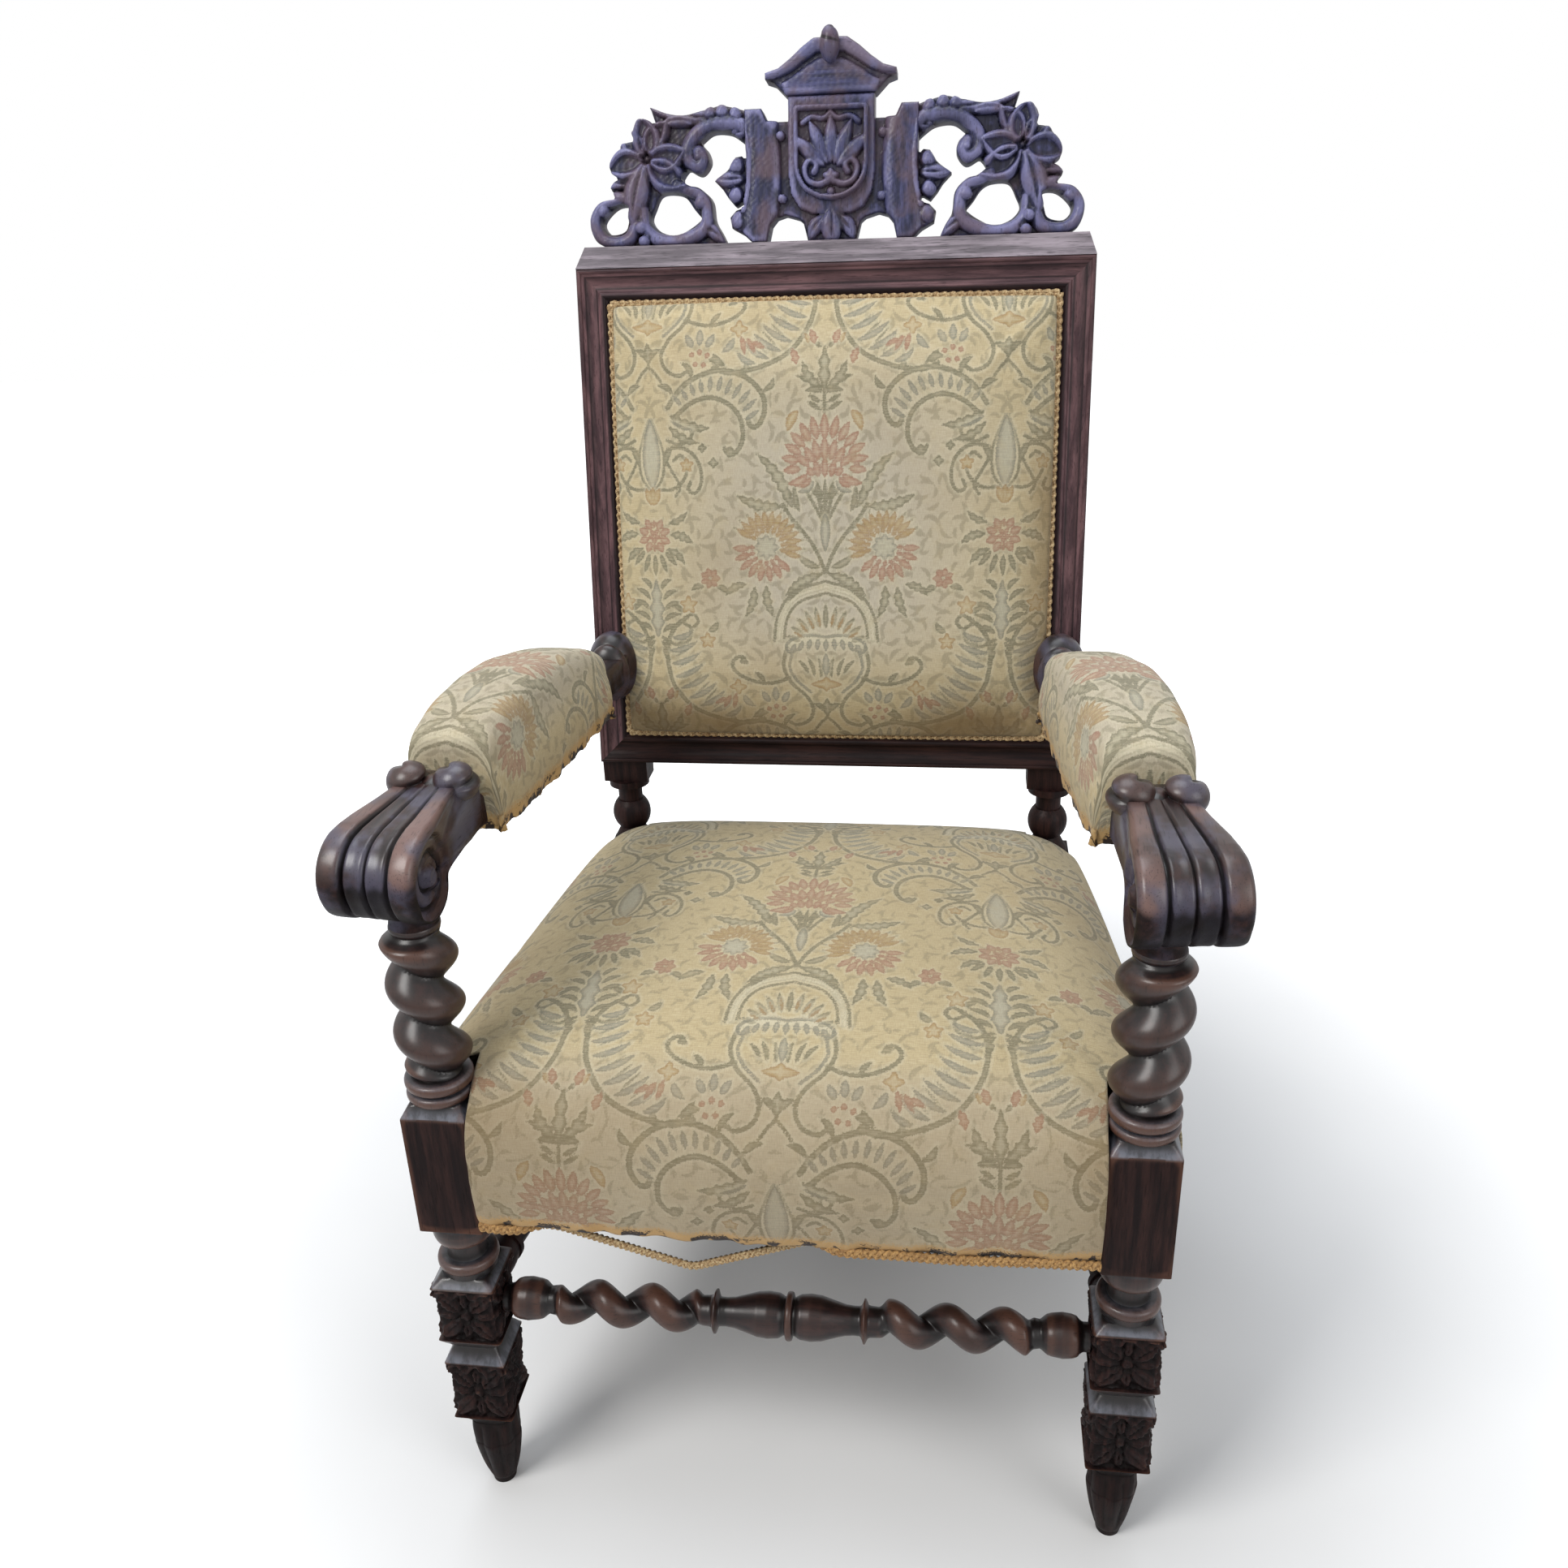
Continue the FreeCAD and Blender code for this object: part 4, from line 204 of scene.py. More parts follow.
    ("sage", "line", 1.4, ((0, 346), (13, 362), (15, 386), (8, 408), (0, 427))),
    ("sage", "leaf", (15, 374), (27, 396), 3.6, 2),
    ("sage", "line", 1.7, ((8, 349), (24, 349), (38, 359), (43, 376), (35, 386), (27, 380))),
    ("sage", "line", 1.6, ((20, 402), (34, 397), (46, 402), (50, 414), (44, 421))),
    ("slate", "leaf", (0, 426), (0, 467), 7.4, 0, 4),
    ("sage", "leaf", (4, 428), (22, 453), 4.2, 3, 3),
    ("sage", "leaf", (4, 426), (31, 436), 3.8, 3, 3),
    ("slate", "leaf", (0, 184), (0, 250), 9.4, 0, 4),
    ("pale", "leaf", (0, 198), (0, 240), 3),
    ("sage", "feather", ((6, 190), (8, 206), (8, 222), (6, 238)),
     ((27, 198), (31, 216), (29, 234), (20, 250)), 5, 3, 3),
    ("sage", "line", 1.7, ((6, 184), (24, 176), (38, 182), (41, 196), (33, 201))),
    ("sage", "feather", ((4, 180), (6, 172)), ((19, 166), (14, 155)), 2, 2.6),
)


def fade(value, low, high):
    """0 below low, 1 above high, and a smooth step between."""
    share = np.clip((value - low) / (high - low), 0, 1)
    return share * share * (3 - 2 * share)


def run_along(line):
    """Distance along a line of points from its first."""
    return np.concatenate([[0], np.cumsum(np.linalg.norm(np.diff(line, axis=0), axis=1))])


def full_turn(count):
    """Even angles round a full turn."""
    return np.linspace(0, 2 * np.pi, count, endpoint=False)


def smooth_line(points, step):
    """Points at even steps along cubic spans, whose end slopes are half the chord of their neighbours."""
    given = np.asarray(points, float)
    ends = np.vstack([2 * given[0] - given[1], given, 2 * given[-1] - given[-2]])
    share = np.linspace(0, 1, 16, endpoint=False)[None, :, None]
    before, start, end, after = (ends[index:len(ends) - 3 + index, None] for index in range(4))
    spans = 0.5 * (
        2 * start + (end - before) * share + (2 * before - 5 * start + 4 * end - after) * share ** 2
        + (3 * start - before - 3 * end + after) * share ** 3
    )
    line = np.vstack([spans.reshape(-1, given.shape[1]), given[-1:]])
    run = run_along(line)
    even = np.linspace(0, run[-1], max(2, int(round(run[-1] / step)) + 1))
    return np.stack([np.interp(even, run, line[:, axis]) for axis in range(line.shape[1])], -1)


# Distances outside a shape, in its own units and negative within it.
def leaf_distance(across, up, start, end, half, bow=0, teeth=0):
    """Distance outside a leaf: a bowed middle line whose half width swells as a sine, cut into teeth."""
    skew, fullness = 0.85, 0.75
    notch, tooth = 0.58, 0.5
    reach = np.hypot(end[0] - start[0], end[1] - start[1])
    way = ((end[0] - start[0]) / reach, (end[1] - start[1]) / reach)
    along = (across - start[0]) * way[0] + (up - start[1]) * way[1]
    aside = (up - start[1]) * way[0] - (across - start[0]) * way[1]
    share = np.clip(along / reach, 0, 1)
    width = half * np.sin(np.pi * share ** skew) ** fullness
    if teeth:
        width = width * (notch + tooth * np.abs(2 * ((teeth * share) % 1) - 1))
    outside = np.abs(aside - bow * 4 * share * (1 - share)) - width
    beyond = np.maximum(np.maximum(-along, along - reach), 0)
    return np.where(beyond > 0, np.hypot(beyond, np.maximum(outside, 0)), outside)


def straight_distance(across, up, start, end):
    """Distance from a straight run between two points."""
    way = end - start
    share = np.clip(((across - start[0]) * way[0] + (up - start[1]) * way[1]) / (way @ way), 0, 1)
    return np.hypot(across - start[0] - way[0] * share, up - start[1] - way[1] * share)


def line_distance(across, up, half, points):
    """Distance outside a smooth line of even half width: the nearest of its short straight runs."""
    line = smooth_line(points, 4)
    nearest = np.full(np.shape(across), np.inf)
    for start, end in zip(line[:-1], line[1:]):
        nearest = np.minimum(nearest, straight_distance(across, up, start, end))
    return nearest - half


def panel_distance(across, up, points):
    """Distance outside a closed outline: to its nearest side, and negative within it."""
    points = np.asarray(points, float)
    nearest = np.full(np.shape(across), np.inf)
    inside = np.zeros(np.shape(across), bool)
    for start, end in zip(points, np.roll(points, -1, axis=0)):
        way = end - start
        if not way.any():
            continue
        nearest = np.minimum(nearest, straight_distance(across, up, start, end))
        if way[1] != 0:
            crosses = (start[1] > up) != (end[1] > up)
            inside ^= crosses & (across < start[0] + (up - start[1]) / way[1] * way[0])
    return np.where(inside, -nearest, nearest)


def disc_distance(across, up, centre, radius, lobes, depth):
    """Distance outside a lobed disc: its radius waves with the angle from straight up."""
    angle = np.arctan2(up - centre[1], across - centre[0]) - math.radians(90)
    return np.hypot(across - centre[0], up - centre[1]) - radius * (1 + depth * np.cos(lobes * angle))


def burst_distance(across, up, centre, inner, outer, first, last, petals, half):
    """Distance outside a fan of petals: the point is turned into its nearest petal's own frame."""
    first, last = math.radians(first), math.radians(last)
    middle = (first + last) / 2
    angle = np.arctan2(up - centre[1], across - centre[0])
    angle = (angle - middle + np.pi) % (2 * np.pi) - np.pi + middle
    pitch = (last - first) / petals
    petal = np.clip(np.floor((angle - first) / pitch), 0, petals - 1)
    turned = angle - first - (petal + 0.5) * pitch
    reach = np.hypot(across - centre[0], up - centre[1])
    return leaf_distance(reach * np.cos(turned), reach * np.sin(turned), (inner, 0), (outer, 0), half)


def feather_distance(across, up, roots, tips, count, half, bow=0):
    """Distance outside a row of strokes: leaves from places on one line to the like places on another."""
    even = np.linspace(0, 1, count)
    ends = []
    for line in (smooth_line(roots, 1), smooth_line(tips, 1)):
        share = np.linspace(0, 1, len(line))
        ends.append(np.stack([np.interp(even, share, line[:, axis]) for axis in (0, 1)], -1))
    strokes = [leaf_distance(across, up, start, end, half, bow) for start, end in zip(*ends)]
    return np.minimum.reduce(strokes)


# A petal is a leaf that dips along its middle, and a pit is a disc cut in.
DISTANCES = {
    "leaf": leaf_distance, "petal": leaf_distance, "line": line_distance, "panel": panel_distance,
    "disc": disc_distance, "pit": disc_distance, "burst": burst_distance, "feather": feather_distance,
}


def motif_box(kind, shape):
    """Lowest and highest corner that holds a motif."""
    stroke_bow, lobe_share = 4, 1.4
    if kind == "line":
        points = np.array(shape[1], float)
        margin = shape[0]
    elif kind == "leaf":
        points = np.array(shape[:2], float)
        margin = shape[2] + abs(shape[3] if len(shape) > 3 else 0)
    elif kind == "feather":
        points = np.array(shape[0] + shape[1], float)
        margin = shape[3] + stroke_bow
    else:
        points = np.array(shape[:1], float)
        margin = shape[1] * lobe_share if kind == "disc" else shape[2] + shape[6]
    return points.min(0) - margin, points.max(0) + margin


def mirrored_repeat(across):
    """Distance across from the middle line of the nearest repeat."""
    return np.abs((across + REPEAT_WIDE / 2) % REPEAT_WIDE - REPEAT_WIDE / 2)


def motif_fields(across, up):
    """For each colour, the distance in millimetres outside its nearest motif, and FAR away from them all."""
    fields = {colour: np.full(across.shape, FAR) for colour in ("sage", "slate", "ochre", "rose", "pale")}
    near = 8
    for drop in (0, 0.5):
        side = mirrored_repeat(across - drop * REPEAT_WIDE)
        high = (up - drop * REPEAT_TALL - REPEAT_FOOT) % REPEAT_TALL + REPEAT_FOOT
        for colour, kind, *shape in MOTIFS:
            low, top = motif_box(kind, shape)
            beside = (side > low[0] - near) & (side < top[0] + near)
            inside = np.nonzero(beside & (high > low[1] - near) & (high < top[1] + near))
            found = DISTANCES[kind](side[inside], high[inside], *shape)
            fields[colour][inside] = np.minimum(fields[colour][inside], found)
    return fields


def chance(column, row, seed, number):
    """A number from 0 to 1 that looks drawn by lot: the far digits of a sine."""
    return (np.sin(column * 127.1 + row * 311.7 + seed + 74.7 * number) * 43758.5453) % 1


def sprig_field(across, up):
    """Distance outside small curled leaves on the ground: one to a cell, set off and turned its own way."""
    stray, curl = 0.45, 0.38
    side = mirrored_repeat(across)
    nearest = np.full(across.shape, FAR)
    for cell, reach, half, seed in SPRIGS:
        row = np.floor(up / cell)
        shifted = side + 0.5 * cell * (row % 2)
        column = np.floor(shifted / cell)
        repeat = row % round(REPEAT_TALL / cell)
        turn, aside, above = (chance(column, repeat, seed, number) for number in range(3))
        turn = 2 * np.pi * turn
        local_x = shifted - (column + 0.5 + stray * (aside - 0.5)) * cell
        local_y = up - (row + 0.5 + stray * (above - 0.5)) * cell
        along = local_x * np.cos(turn) + local_y * np.sin(turn)
        beside = local_y * np.cos(turn) - local_x * np.sin(turn)
        leaf = leaf_distance(along, beside, (-reach, 0), (reach, 0), half, curl * reach)
        nearest = np.minimum(nearest, leaf)
    return nearest


# Surfaces.
def back_point(across, up, behind):
    """A point of the raked back in the chair's frame."""
    cosine, sine = math.cos(BACK_RAKE), math.sin(BACK_RAKE)
    return np.stack(np.broadcast_arrays(
        across, BACK_Y + up * sine + behind * cosine, BACK_Z + up * cosine - behind * sine
    ), -1)


def arm_middle(y):
    """Middle of the right arm across the chair at a place along its depth."""
    return ARM_REAR_X + math.tan(ARM_SPLAY) * (ARM_REAR_Y - y)


def grid_quads(rows, columns, close_columns=False, first=0):
    """Corner numbers of the faces between neighbouring points of a grid, turned to columns cross rows."""
    row = np.arange(rows - 1)[:, None]
    column = np.arange(columns if close_columns else columns - 1)[None, :]
    beside = (column + 1) % columns
    here, above = row * columns, (row + 1) * columns
    quads = np.stack(np.broadcast_arrays(here + column, here + beside, above + beside, above + column), -1)
    return quads.reshape(-1, 4) + first


def tube_faces(rows, columns, first=0):
    """Faces of a tube of rings: quads between the rings, and one flat face at each end."""
    ring = np.arange(columns)[None, :] + first
    return [grid_quads(rows, columns, True, first), ring[:, ::-1], ring + (rows - 1) * columns]


def joined(parts):
    """Several shells as one: points, faces and relief put one after another."""
    points, faces, relief = [], [], []
    base = 0
    for shell, kinds, depth in parts:
        points.append(np.reshape(shell, (-1, 3)))
        faces += [kind + base for kind in kinds]
        relief.append(np.ravel(depth))
        base += len(points[-1])
    return np.concatenate(points), faces, np.concatenate(relief)


def new_piece(name, points, faces, finish, stands_for, fields, sharp=None, mirrored=False):
    """A piece from points in millimetres and arrays of faces, riding on the chair."""
    points = np.asarray(points, float).reshape(-1, 3)
    if mirrored:
        points = points * (-1, 1, 1)
        faces = [part[:, ::-1] for part in faces]
    counts = np.concatenate([np.full(len(part), part.shape[1]) for part in faces])
    corners = np.concatenate([part.ravel() for part in faces]).astype(np.int32)
    starts = np.concatenate([[0], np.cumsum(counts)[:-1]]).astype(np.int32)
    mesh = bpy.data.meshes.new(name)
    mesh.vertices.add(len(points))
    mesh.vertices.foreach_set("co", (points * MM).astype(np.float32).ravel())
    mesh.loops.add(len(corners))
    mesh.loops.foreach_set("vertex_index", corners)
    mesh.polygons.add(len(starts))
    mesh.polygons.foreach_set("loop_start", starts)
    mesh.update(calc_edges=True)
    mesh.shade_smooth()
    if sharp:
        mesh.set_sharp_from_angle(angle=math.radians(sharp))
    for field, values in fields.items():
        values = np.asarray(values, np.float32)
        wide = values.ndim > 1
        layer = mesh.attributes.new(field, "FLOAT_VECTOR" if wide else "FLOAT", "POINT")
        layer.data.foreach_set("vector" if wide else "value", values.ravel())
    mesh.materials.append(finish_of(finish))
    made = bpy.data.objects.new(name, mesh)
    bpy.context.scene.collection.objects.link(made)
    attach(made, "root")
    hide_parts(stands_for)
    return made


def blur(values, rows, columns, close_columns=False):
    """Running mean over a window of rows and columns, with the ends held or the columns joined."""
    for axis, reach in ((0, rows), (1, columns)):
        pad = [(0, 0), (0, 0)]
        pad[axis] = (reach, reach)
        joined_ends = axis == 1 and close_columns
        padded = np.pad(values, pad, mode="wrap" if joined_ends else "edge")
        total = np.cumsum(padded, axis=axis)
        total = np.concatenate([np.zeros_like(np.take(total, [0], axis=axis)), total], axis=axis)
        width = 2 * reach + 1
        size = values.shape[axis]
        last = np.take(total, np.arange(width, width + size), axis=axis)
        values = (last - np.take(total, np.arange(size), axis=axis)) / width
    return values


# Finishes.
PORE_BLACK = (0.004, 0.003, 0.003)
# Black where relief is low: grime in the hollows of the carving, and painted shade under the hands and down
# the front posts.
GRIME_AND_SHADE_BLACK = (0.003, 0.002, 0.002)
# Painted shade in the quirks of a moulding.
QUIRK_SHADE_BLACK = (0.006, 0.003, 0.004)
# Painted bluish sky reflection on the sloped ledges of the front posts.
LEDGE_SKY_GLINT = (0.25, 0.28, 0.34)
# Level of the colour by place across a moulding, from its outer edge to its inner one: painted highlights on
# its beads, painted shade in its quirks.
MOULDING_LIGHT_LEVELS = (
    (0, 0.6), (0.06, 1), (0.13, 0.9), (0.17, 0.1), (0.24, 0.5), (0.40, 0.85), (0.62, 0.8), (0.70, 0.12),
    (0.76, 1), (0.88, 0.9), (0.94, 0.1), (0.98, 0.1),
)
COOL_OUTLINE = (0.085, 0.080, 0.050)
WARM_OUTLINE = (0.190, 0.090, 0.060)
THREAD_BROWN = (0.12, 0.085, 0.045)
STAIN_BROWN = (0.20, 0.13, 0.06)
# Brown darkening of the brocade: painted shade along the back's right edge, and darker towards the bottom of
# the back, the seat's front and sides and the arm pads' hems.
DARKENING_BROWN = (0.150, 0.090, 0.032)
TORN_BLACK = (0.018, 0.009, 0.006)
STRAND_SHADOW = (0.05, 0.025, 0.008)
RUST_BROWN = (0.09, 0.05, 0.03)


def put(tree, socket, value):
    """Give a socket a value, or link it to another socket."""
    if isinstance(value, bpy.types.NodeSocket):
        tree.links.new(value, socket)
    else:
        socket.default_value = value


def shade(tree, kind, inputs=None, **settings):
    """A shader node with its settings, and its inputs as values or as sockets to link."""
    made = tree.nodes.new(kind)
    for key, value in settings.items():
        setattr(made, key, value)
    for key, value in (inputs or {}).items():
        put(tree, made.inputs[key], value)
    return made


def new_finish(name):
    """An empty material, its node tree and its surface shader."""
    finish = bpy.data.materials.new(name)
    finish.use_nodes = True
    return finish, finish.node_tree, finish.node_tree.nodes["Principled BSDF"]


def mixed(tree, share, first, second):
    """One colour over another by a share, each three numbers or a socket."""
    node = shade(tree, "ShaderNodeMix", {0: share}, data_type="RGBA")
    for place, colour in ((6, first), (7, second)):
        put(tree, node.inputs[place], colour if isinstance(colour, bpy.types.NodeSocket) else (*colour, 1))
    return node.outputs[2]


def counted(tree, operation, first, second=0):
    """Two numbers or sockets put through an operation."""
    return shade(tree, "ShaderNodeMath", {0: first, 1: second}, operation=operation).outputs[0]


def ranged(tree, value, low, high, start=0, end=1):
    """A value moved smoothly from one range to another."""
    return shade(
        tree, "ShaderNodeMapRange",
        {"Value": value, "From Min": low, "From Max": high, "To Min": start, "To Max": end},
        interpolation_type="SMOOTHSTEP",
    ).outputs[0]


def field_of(tree, name):
    """A piece's own field as a node."""
    return shade(tree, "ShaderNodeAttribute", attribute_name=name)


def parts_of(tree, vector):
    """The three parts of a vector."""
    return shade(tree, "ShaderNodeSeparateXYZ", {0: vector}).outputs


def stretched(tree, spot, scale):
    """A place with a scale along each axis."""
    return shade(tree, "ShaderNodeMapping", {"Vector": spot, "Scale": scale}).outputs[0]


def placed(tree, *scale):
    """Object coordinates with one scale for all axes, or one for each."""
    spot = shade(tree, "ShaderNodeTexCoord").outputs["Object"]
    return stretched(tree, spot, scale if len(scale) == 3 else scale * 3)


def noise(tree, spot, scale, detail=3, roughness=0.55):
    """Soft noise at a place."""
    return shade(
        tree, "ShaderNodeTexNoise", {"Vector": spot, "Scale": scale, "Detail": detail, "Roughness": roughness}
    ).outputs["Fac"]


def dressed(tree, surface, colour, rough, height, strength, deep):
    """Give a surface its colour, its roughness, and a bump of a strength and a depth in metres."""
    bump = shade(tree, "ShaderNodeBump", {"Strength": strength, "Distance": deep, "Height": height})
    for key, value in (("Base Color", colour), ("Roughness", rough), ("Normal", bump.outputs[0])):
        put(tree, surface.inputs[key], value)


def moulding_light_and_shade(tree, colour, axis, outer, inner):
    """Colour of a moulding by place across the strip, in metres: painted highlights on the beads, painted
    shade in the quirks.
    """
    spot = parts_of(tree, placed(tree, 1))[axis]
    share = ranged(tree, counted(tree, "ABSOLUTE", spot), outer, inner)
    ramp = shade(tree, "ShaderNodeValToRGB", {0: share})
    steps = ramp.color_ramp.elements
    steps[1].position = MOULDING_LIGHT_LEVELS[-1][0]
    for place, _ in MOULDING_LIGHT_LEVELS[1:-1]:
        steps.new(place)
    for step, (_, level) in zip(steps, MOULDING_LIGHT_LEVELS):
        step.color = (level, level, level, 1)
    return mixed(tree, ramp.outputs["Color"], QUIRK_SHADE_BLACK, colour)


def oak_finish(name, grain, colours, wax, polish=0, strip=None, flush=None):
    """Dark waxed oak: grain drawn out along an axis, brown where carving is rubbed, black where deep with
    grime and where painted shade lowers the relief, and a painted bluish sky reflection where the polish
    field is above 1.
    """
    finish, tree, surface = new_finish(name)
    deep, brown, rubbed = colours
    stretch = [60, 60, 60]
    stretch[grain] = 5
    figure = noise(tree, placed(tree, *stretch), 2.2, 5, 0.62)
    fine = noise(tree, placed(tree, *(value * 6 for value in stretch)), 2, 2)
    patches = noise(tree, placed(tree, 9), 1, 4)
    colour = mixed(tree, ranged(tree, figure, 0.36, 0.7), deep, brown)
    colour = mixed(tree, ranged(tree, patches, 0.45, 0.75, 0, 0.5), colour, deep)
    relief = field_of(tree, "relief").outputs["Fac"]
    worn = ranged(tree, patches, 0.34, 0.6, 0.15, 0.9)
    colour = mixed(tree, counted(tree, "MULTIPLY", ranged(tree, relief, 0.05, 0.7), worn), colour, rubbed)
    # Patches of another tint: warm oak on the cresting, and painted bluish sky reflection on the hands.
    if flush:
        spots = noise(tree, placed(tree, 26), 1, 3)
        colour = mixed(tree, ranged(tree, spots, 0.42, 0.64, 0, 0.75), colour, flush)
    # Black for grime in hollows and for painted shade.
    colour = mixed(tree, ranged(tree, relief, -0.1, -0.7, 0, 0.85), colour, GRIME_AND_SHADE_BLACK)
    pores = ranged(tree, fine, 0.56, 0.72, 0, 0.5)
    colour = mixed(tree, pores, colour, PORE_BLACK)
    # Painted highlights and shade across a moulding.
    if strip:
        colour = moulding_light_and_shade(tree, colour, *strip)
    shine = wax
    if polish:
        # Polish up to 1 sets the wax's coat; above 1 it marks where the painted sky reflection goes.
        polish_and_glint = field_of(tree, "polish").outputs["Fac"]
        glint_share = ranged(tree, polish_and_glint, 1, 2, 0, 0.45)
        glint_share = counted(tree, "MULTIPLY", glint_share, ranged(tree, figure, 0.35, 0.62, 0.4, 1))
        colour = mixed(tree, glint_share, colour, LEDGE_SKY_GLINT)
        shine = counted(tree, "MULTIPLY", counted(tree, "MINIMUM", polish_and_glint, 1), polish)
    rough = ranged(tree, patches, 0.3, 0.7, 0.42, 0.60)
    rough = counted(tree, "ADD", rough, counted(tree, "MULTIPLY", pores, 0.3))
    height = counted(tree, "SUBTRACT", counted(tree, "MULTIPLY", figure, 0.5), pores)
    dressed(tree, surface, colour, rough, height, 0.25, 0.0006)
    put(tree, surface.inputs["Coat Weight"], shine)
    surface.inputs["Coat Roughness"].default_value = 0.30
    surface.inputs["Specular IOR Level"].default_value = 0.10
    return finish


def brocade_finish(name, settings):
    """Worn brocade: the distance to each motif is roughened by the weave and turned into its colour."""
    finish, tree, surface = new_finish(name)
    cloth = field_of(tree, "cloth").outputs["Vector"]
    (sage, slate, ochre), (rose, pale, hem), (sprig, darkening_field, paling) = (
        parts_of(tree, field_of(tree, field).outputs["Vector"])
        for field in ("motif_cool", "motif_warm", "cloth_state")
    )
    weft = stretched(tree, cloth, (0.10, 1.35, 1))
    slub = noise(tree, weft, 1, 3, 0.6)
    thread = noise(tree, stretched(tree, cloth, (1.3, 0.16, 1)), 1, 2, 0.6)
    rough_edge = noise(tree, cloth, 0.5, 3, 0.7)
    shift = ranged(tree, rough_edge, 0.2, 0.8, -1.1, 1.1)
    stain = noise(tree, placed(tree, 5), 1, 4)
    wide = noise(tree, cloth, 0.045, 3, 0.6)
    colour = mixed(tree, ranged(tree, slub, 0.3, 0.7), settings.ground, settings.ground_thread)
    # Paler ground: bleaching, and on the arm pads' tops painted top light as well.
    colour = mixed(tree, counted(tree, "MULTIPLY", paling, 0.7), colour, settings.faded)
    sprig = ranged(tree, counted(tree, "ADD", sprig, shift), 0.8, -0.8, 0, 0.42)
    colour = mixed(tree, sprig, colour, settings.sage)
    hatch = ranged(tree, noise(tree, weft, 0.62, 1), 0.36, 0.62, 0.62, 1)
    for motif, tint, share, outline in (
        (pale, settings.pale, 0.6, COOL_OUTLINE), (sage, settings.sage, 0.86, COOL_OUTLINE),
        (slate, settings.slate, 0.80, COOL_OUTLINE), (ochre, settings.ochre, 0.80, WARM_OUTLINE),
        (rose, settings.rose, 0.84, WARM_OUTLINE),
    ):
        edge = counted(tree, "ADD", motif, shift)
        colour = mixed(tree, ranged(tree, edge, 4, 1, 0, 0.34), colour, settings.pale)
        mask = counted(tree, "MULTIPLY", ranged(tree, edge, 0.9, -0.7, 0, share), hatch)
        colour = mixed(tree, mask, colour, tint)
        colour = mixed(tree, ranged(tree, edge, -1.8, -4.6, 0, 0.38), colour, settings.pale)
        rim = counted(tree, "ABSOLUTE", counted(tree, "ADD", edge, 0.5))
        colour = mixed(tree, ranged(tree, rim, 1.2, 0.3, 0, 0.26), colour, outline)
    colour = mixed(tree, ranged(tree, thread, 0.35, 0.75, 0, 0.2), colour, THREAD_BROWN)
    colour = mixed(tree, ranged(tree, stain, 0.5, 0.8, 0, 0.2), colour, STAIN_BROWN)
    colour = mixed(tree, ranged(tree, wide, 0.5, 0.72, 0, 0.22), colour, settings.ground_thread)
    # Brown darkening: painted shade at the back's right edge, darker towards hems and lower edges elsewhere.
    darkening = counted(tree, "MULTIPLY", darkening_field, ranged(tree, stain, 0.2, 0.7, 0.55, 1))
    colour = mixed(tree, darkening, colour, DARKENING_BROWN)
    ragged = counted(tree, "ADD", hem, ranged(tree, rough_edge, 0.25, 0.75, -4, 4))
    colour = mixed(tree, ranged(tree, ragged, 15, 8, 0, 0.85), colour, settings.frayed)
    gaps = ranged(tree, noise(tree, cloth, 0.06, 2, 0.55), 0.48, 0.54)
    gaps = counted(tree, "MULTIPLY", gaps, ranged(tree, ragged, 9, 5.5))
    colour = mixed(tree, gaps, colour, TORN_BLACK)
    height = counted(tree, "ADD", slub, counted(tree, "MULTIPLY", thread, 0.8))
    dressed(tree, surface, colour, 0.86, height, 0.45, 0.0007)
    surface.inputs["Specular IOR Level"].default_value = 0.25
    surface.inputs["Sheen Weight"].default_value = 0.12
    surface.inputs["Sheen Roughness"].default_value = 0.5
    return finish


def woven_finish(name, light, dark, pitch):
    """Plain coarse cloth: two crossed sets of threads at a pitch in millimetres, with uneven yarn."""
    finish, tree, surface = new_finish(name)
    spot = placed(tree, 1 / (pitch * MM))
    wave = {"Vector": spot, "Scale": 0.32, "Distortion": 1.2}
    threads = [shade(tree, "ShaderNodeTexWave", wave, bands_direction=way) for way in ("X", "Z")]
    weave = counted(tree, "MULTIPLY", *(thread.outputs["Fac"] for thread in threads))
    yarn = noise(tree, spot, 0.35, 4)
    colour = mixed(tree, ranged(tree, weave, 0.05, 0.6), dark, light)
    colour = mixed(tree, ranged(tree, yarn, 0.4, 0.75, 0, 0.5), colour, dark)
    dressed(tree, surface, colour, 0.9, weave, 0.5, 0.0006)
    return finish


def braid_finish(name, light, dark):
    """Gimp braid: golden yarn with dark hollows between the strands and a rubbed, dusty outside."""
    finish, tree, surface = new_finish(name)
    yarn = noise(tree, placed(tree, 900), 0.5, 3, 0.7)
    patches = noise(tree, placed(tree, 24), 1, 3)
    relief = field_of(tree, "relief").outputs["Fac"]
    colour = mixed(tree, ranged(tree, yarn, 0.32, 0.7), dark, light)
    colour = mixed(tree, ranged(tree, relief, 0.2, -0.6, 0, 0.8), colour, STRAND_SHADOW)
    colour = mixed(tree, ranged(tree, patches, 0.5, 0.75, 0, 0.45), colour, dark)
    dressed(tree, surface, colour, 0.8, yarn, 0.6, 0.0005)
    return finish


def iron_finish(name, colour, rough):
    """Dull drawn metal with darker rust-brown patches."""
    finish, tree, surface = new_finish(name)
    patches = noise(tree, placed(tree, 90), 1, 4)
    put(tree, surface.inputs["Base Color"], mixed(tree, ranged(tree, patches, 0.45, 0.7), colour, RUST_BROWN))
    put(tree, surface.inputs["Roughness"], ranged(tree, patches, 0.3, 0.7, rough, rough + 0.25))
    surface.inputs["Metallic"].default_value = 0.85
    return finish


def finish_of(name):
    """A finish that an earlier step made."""
    found = bpy.data.materials.get(name)
    if found is None:
        raise RuntimeError(f"the finish {name} is not made yet")
    return found


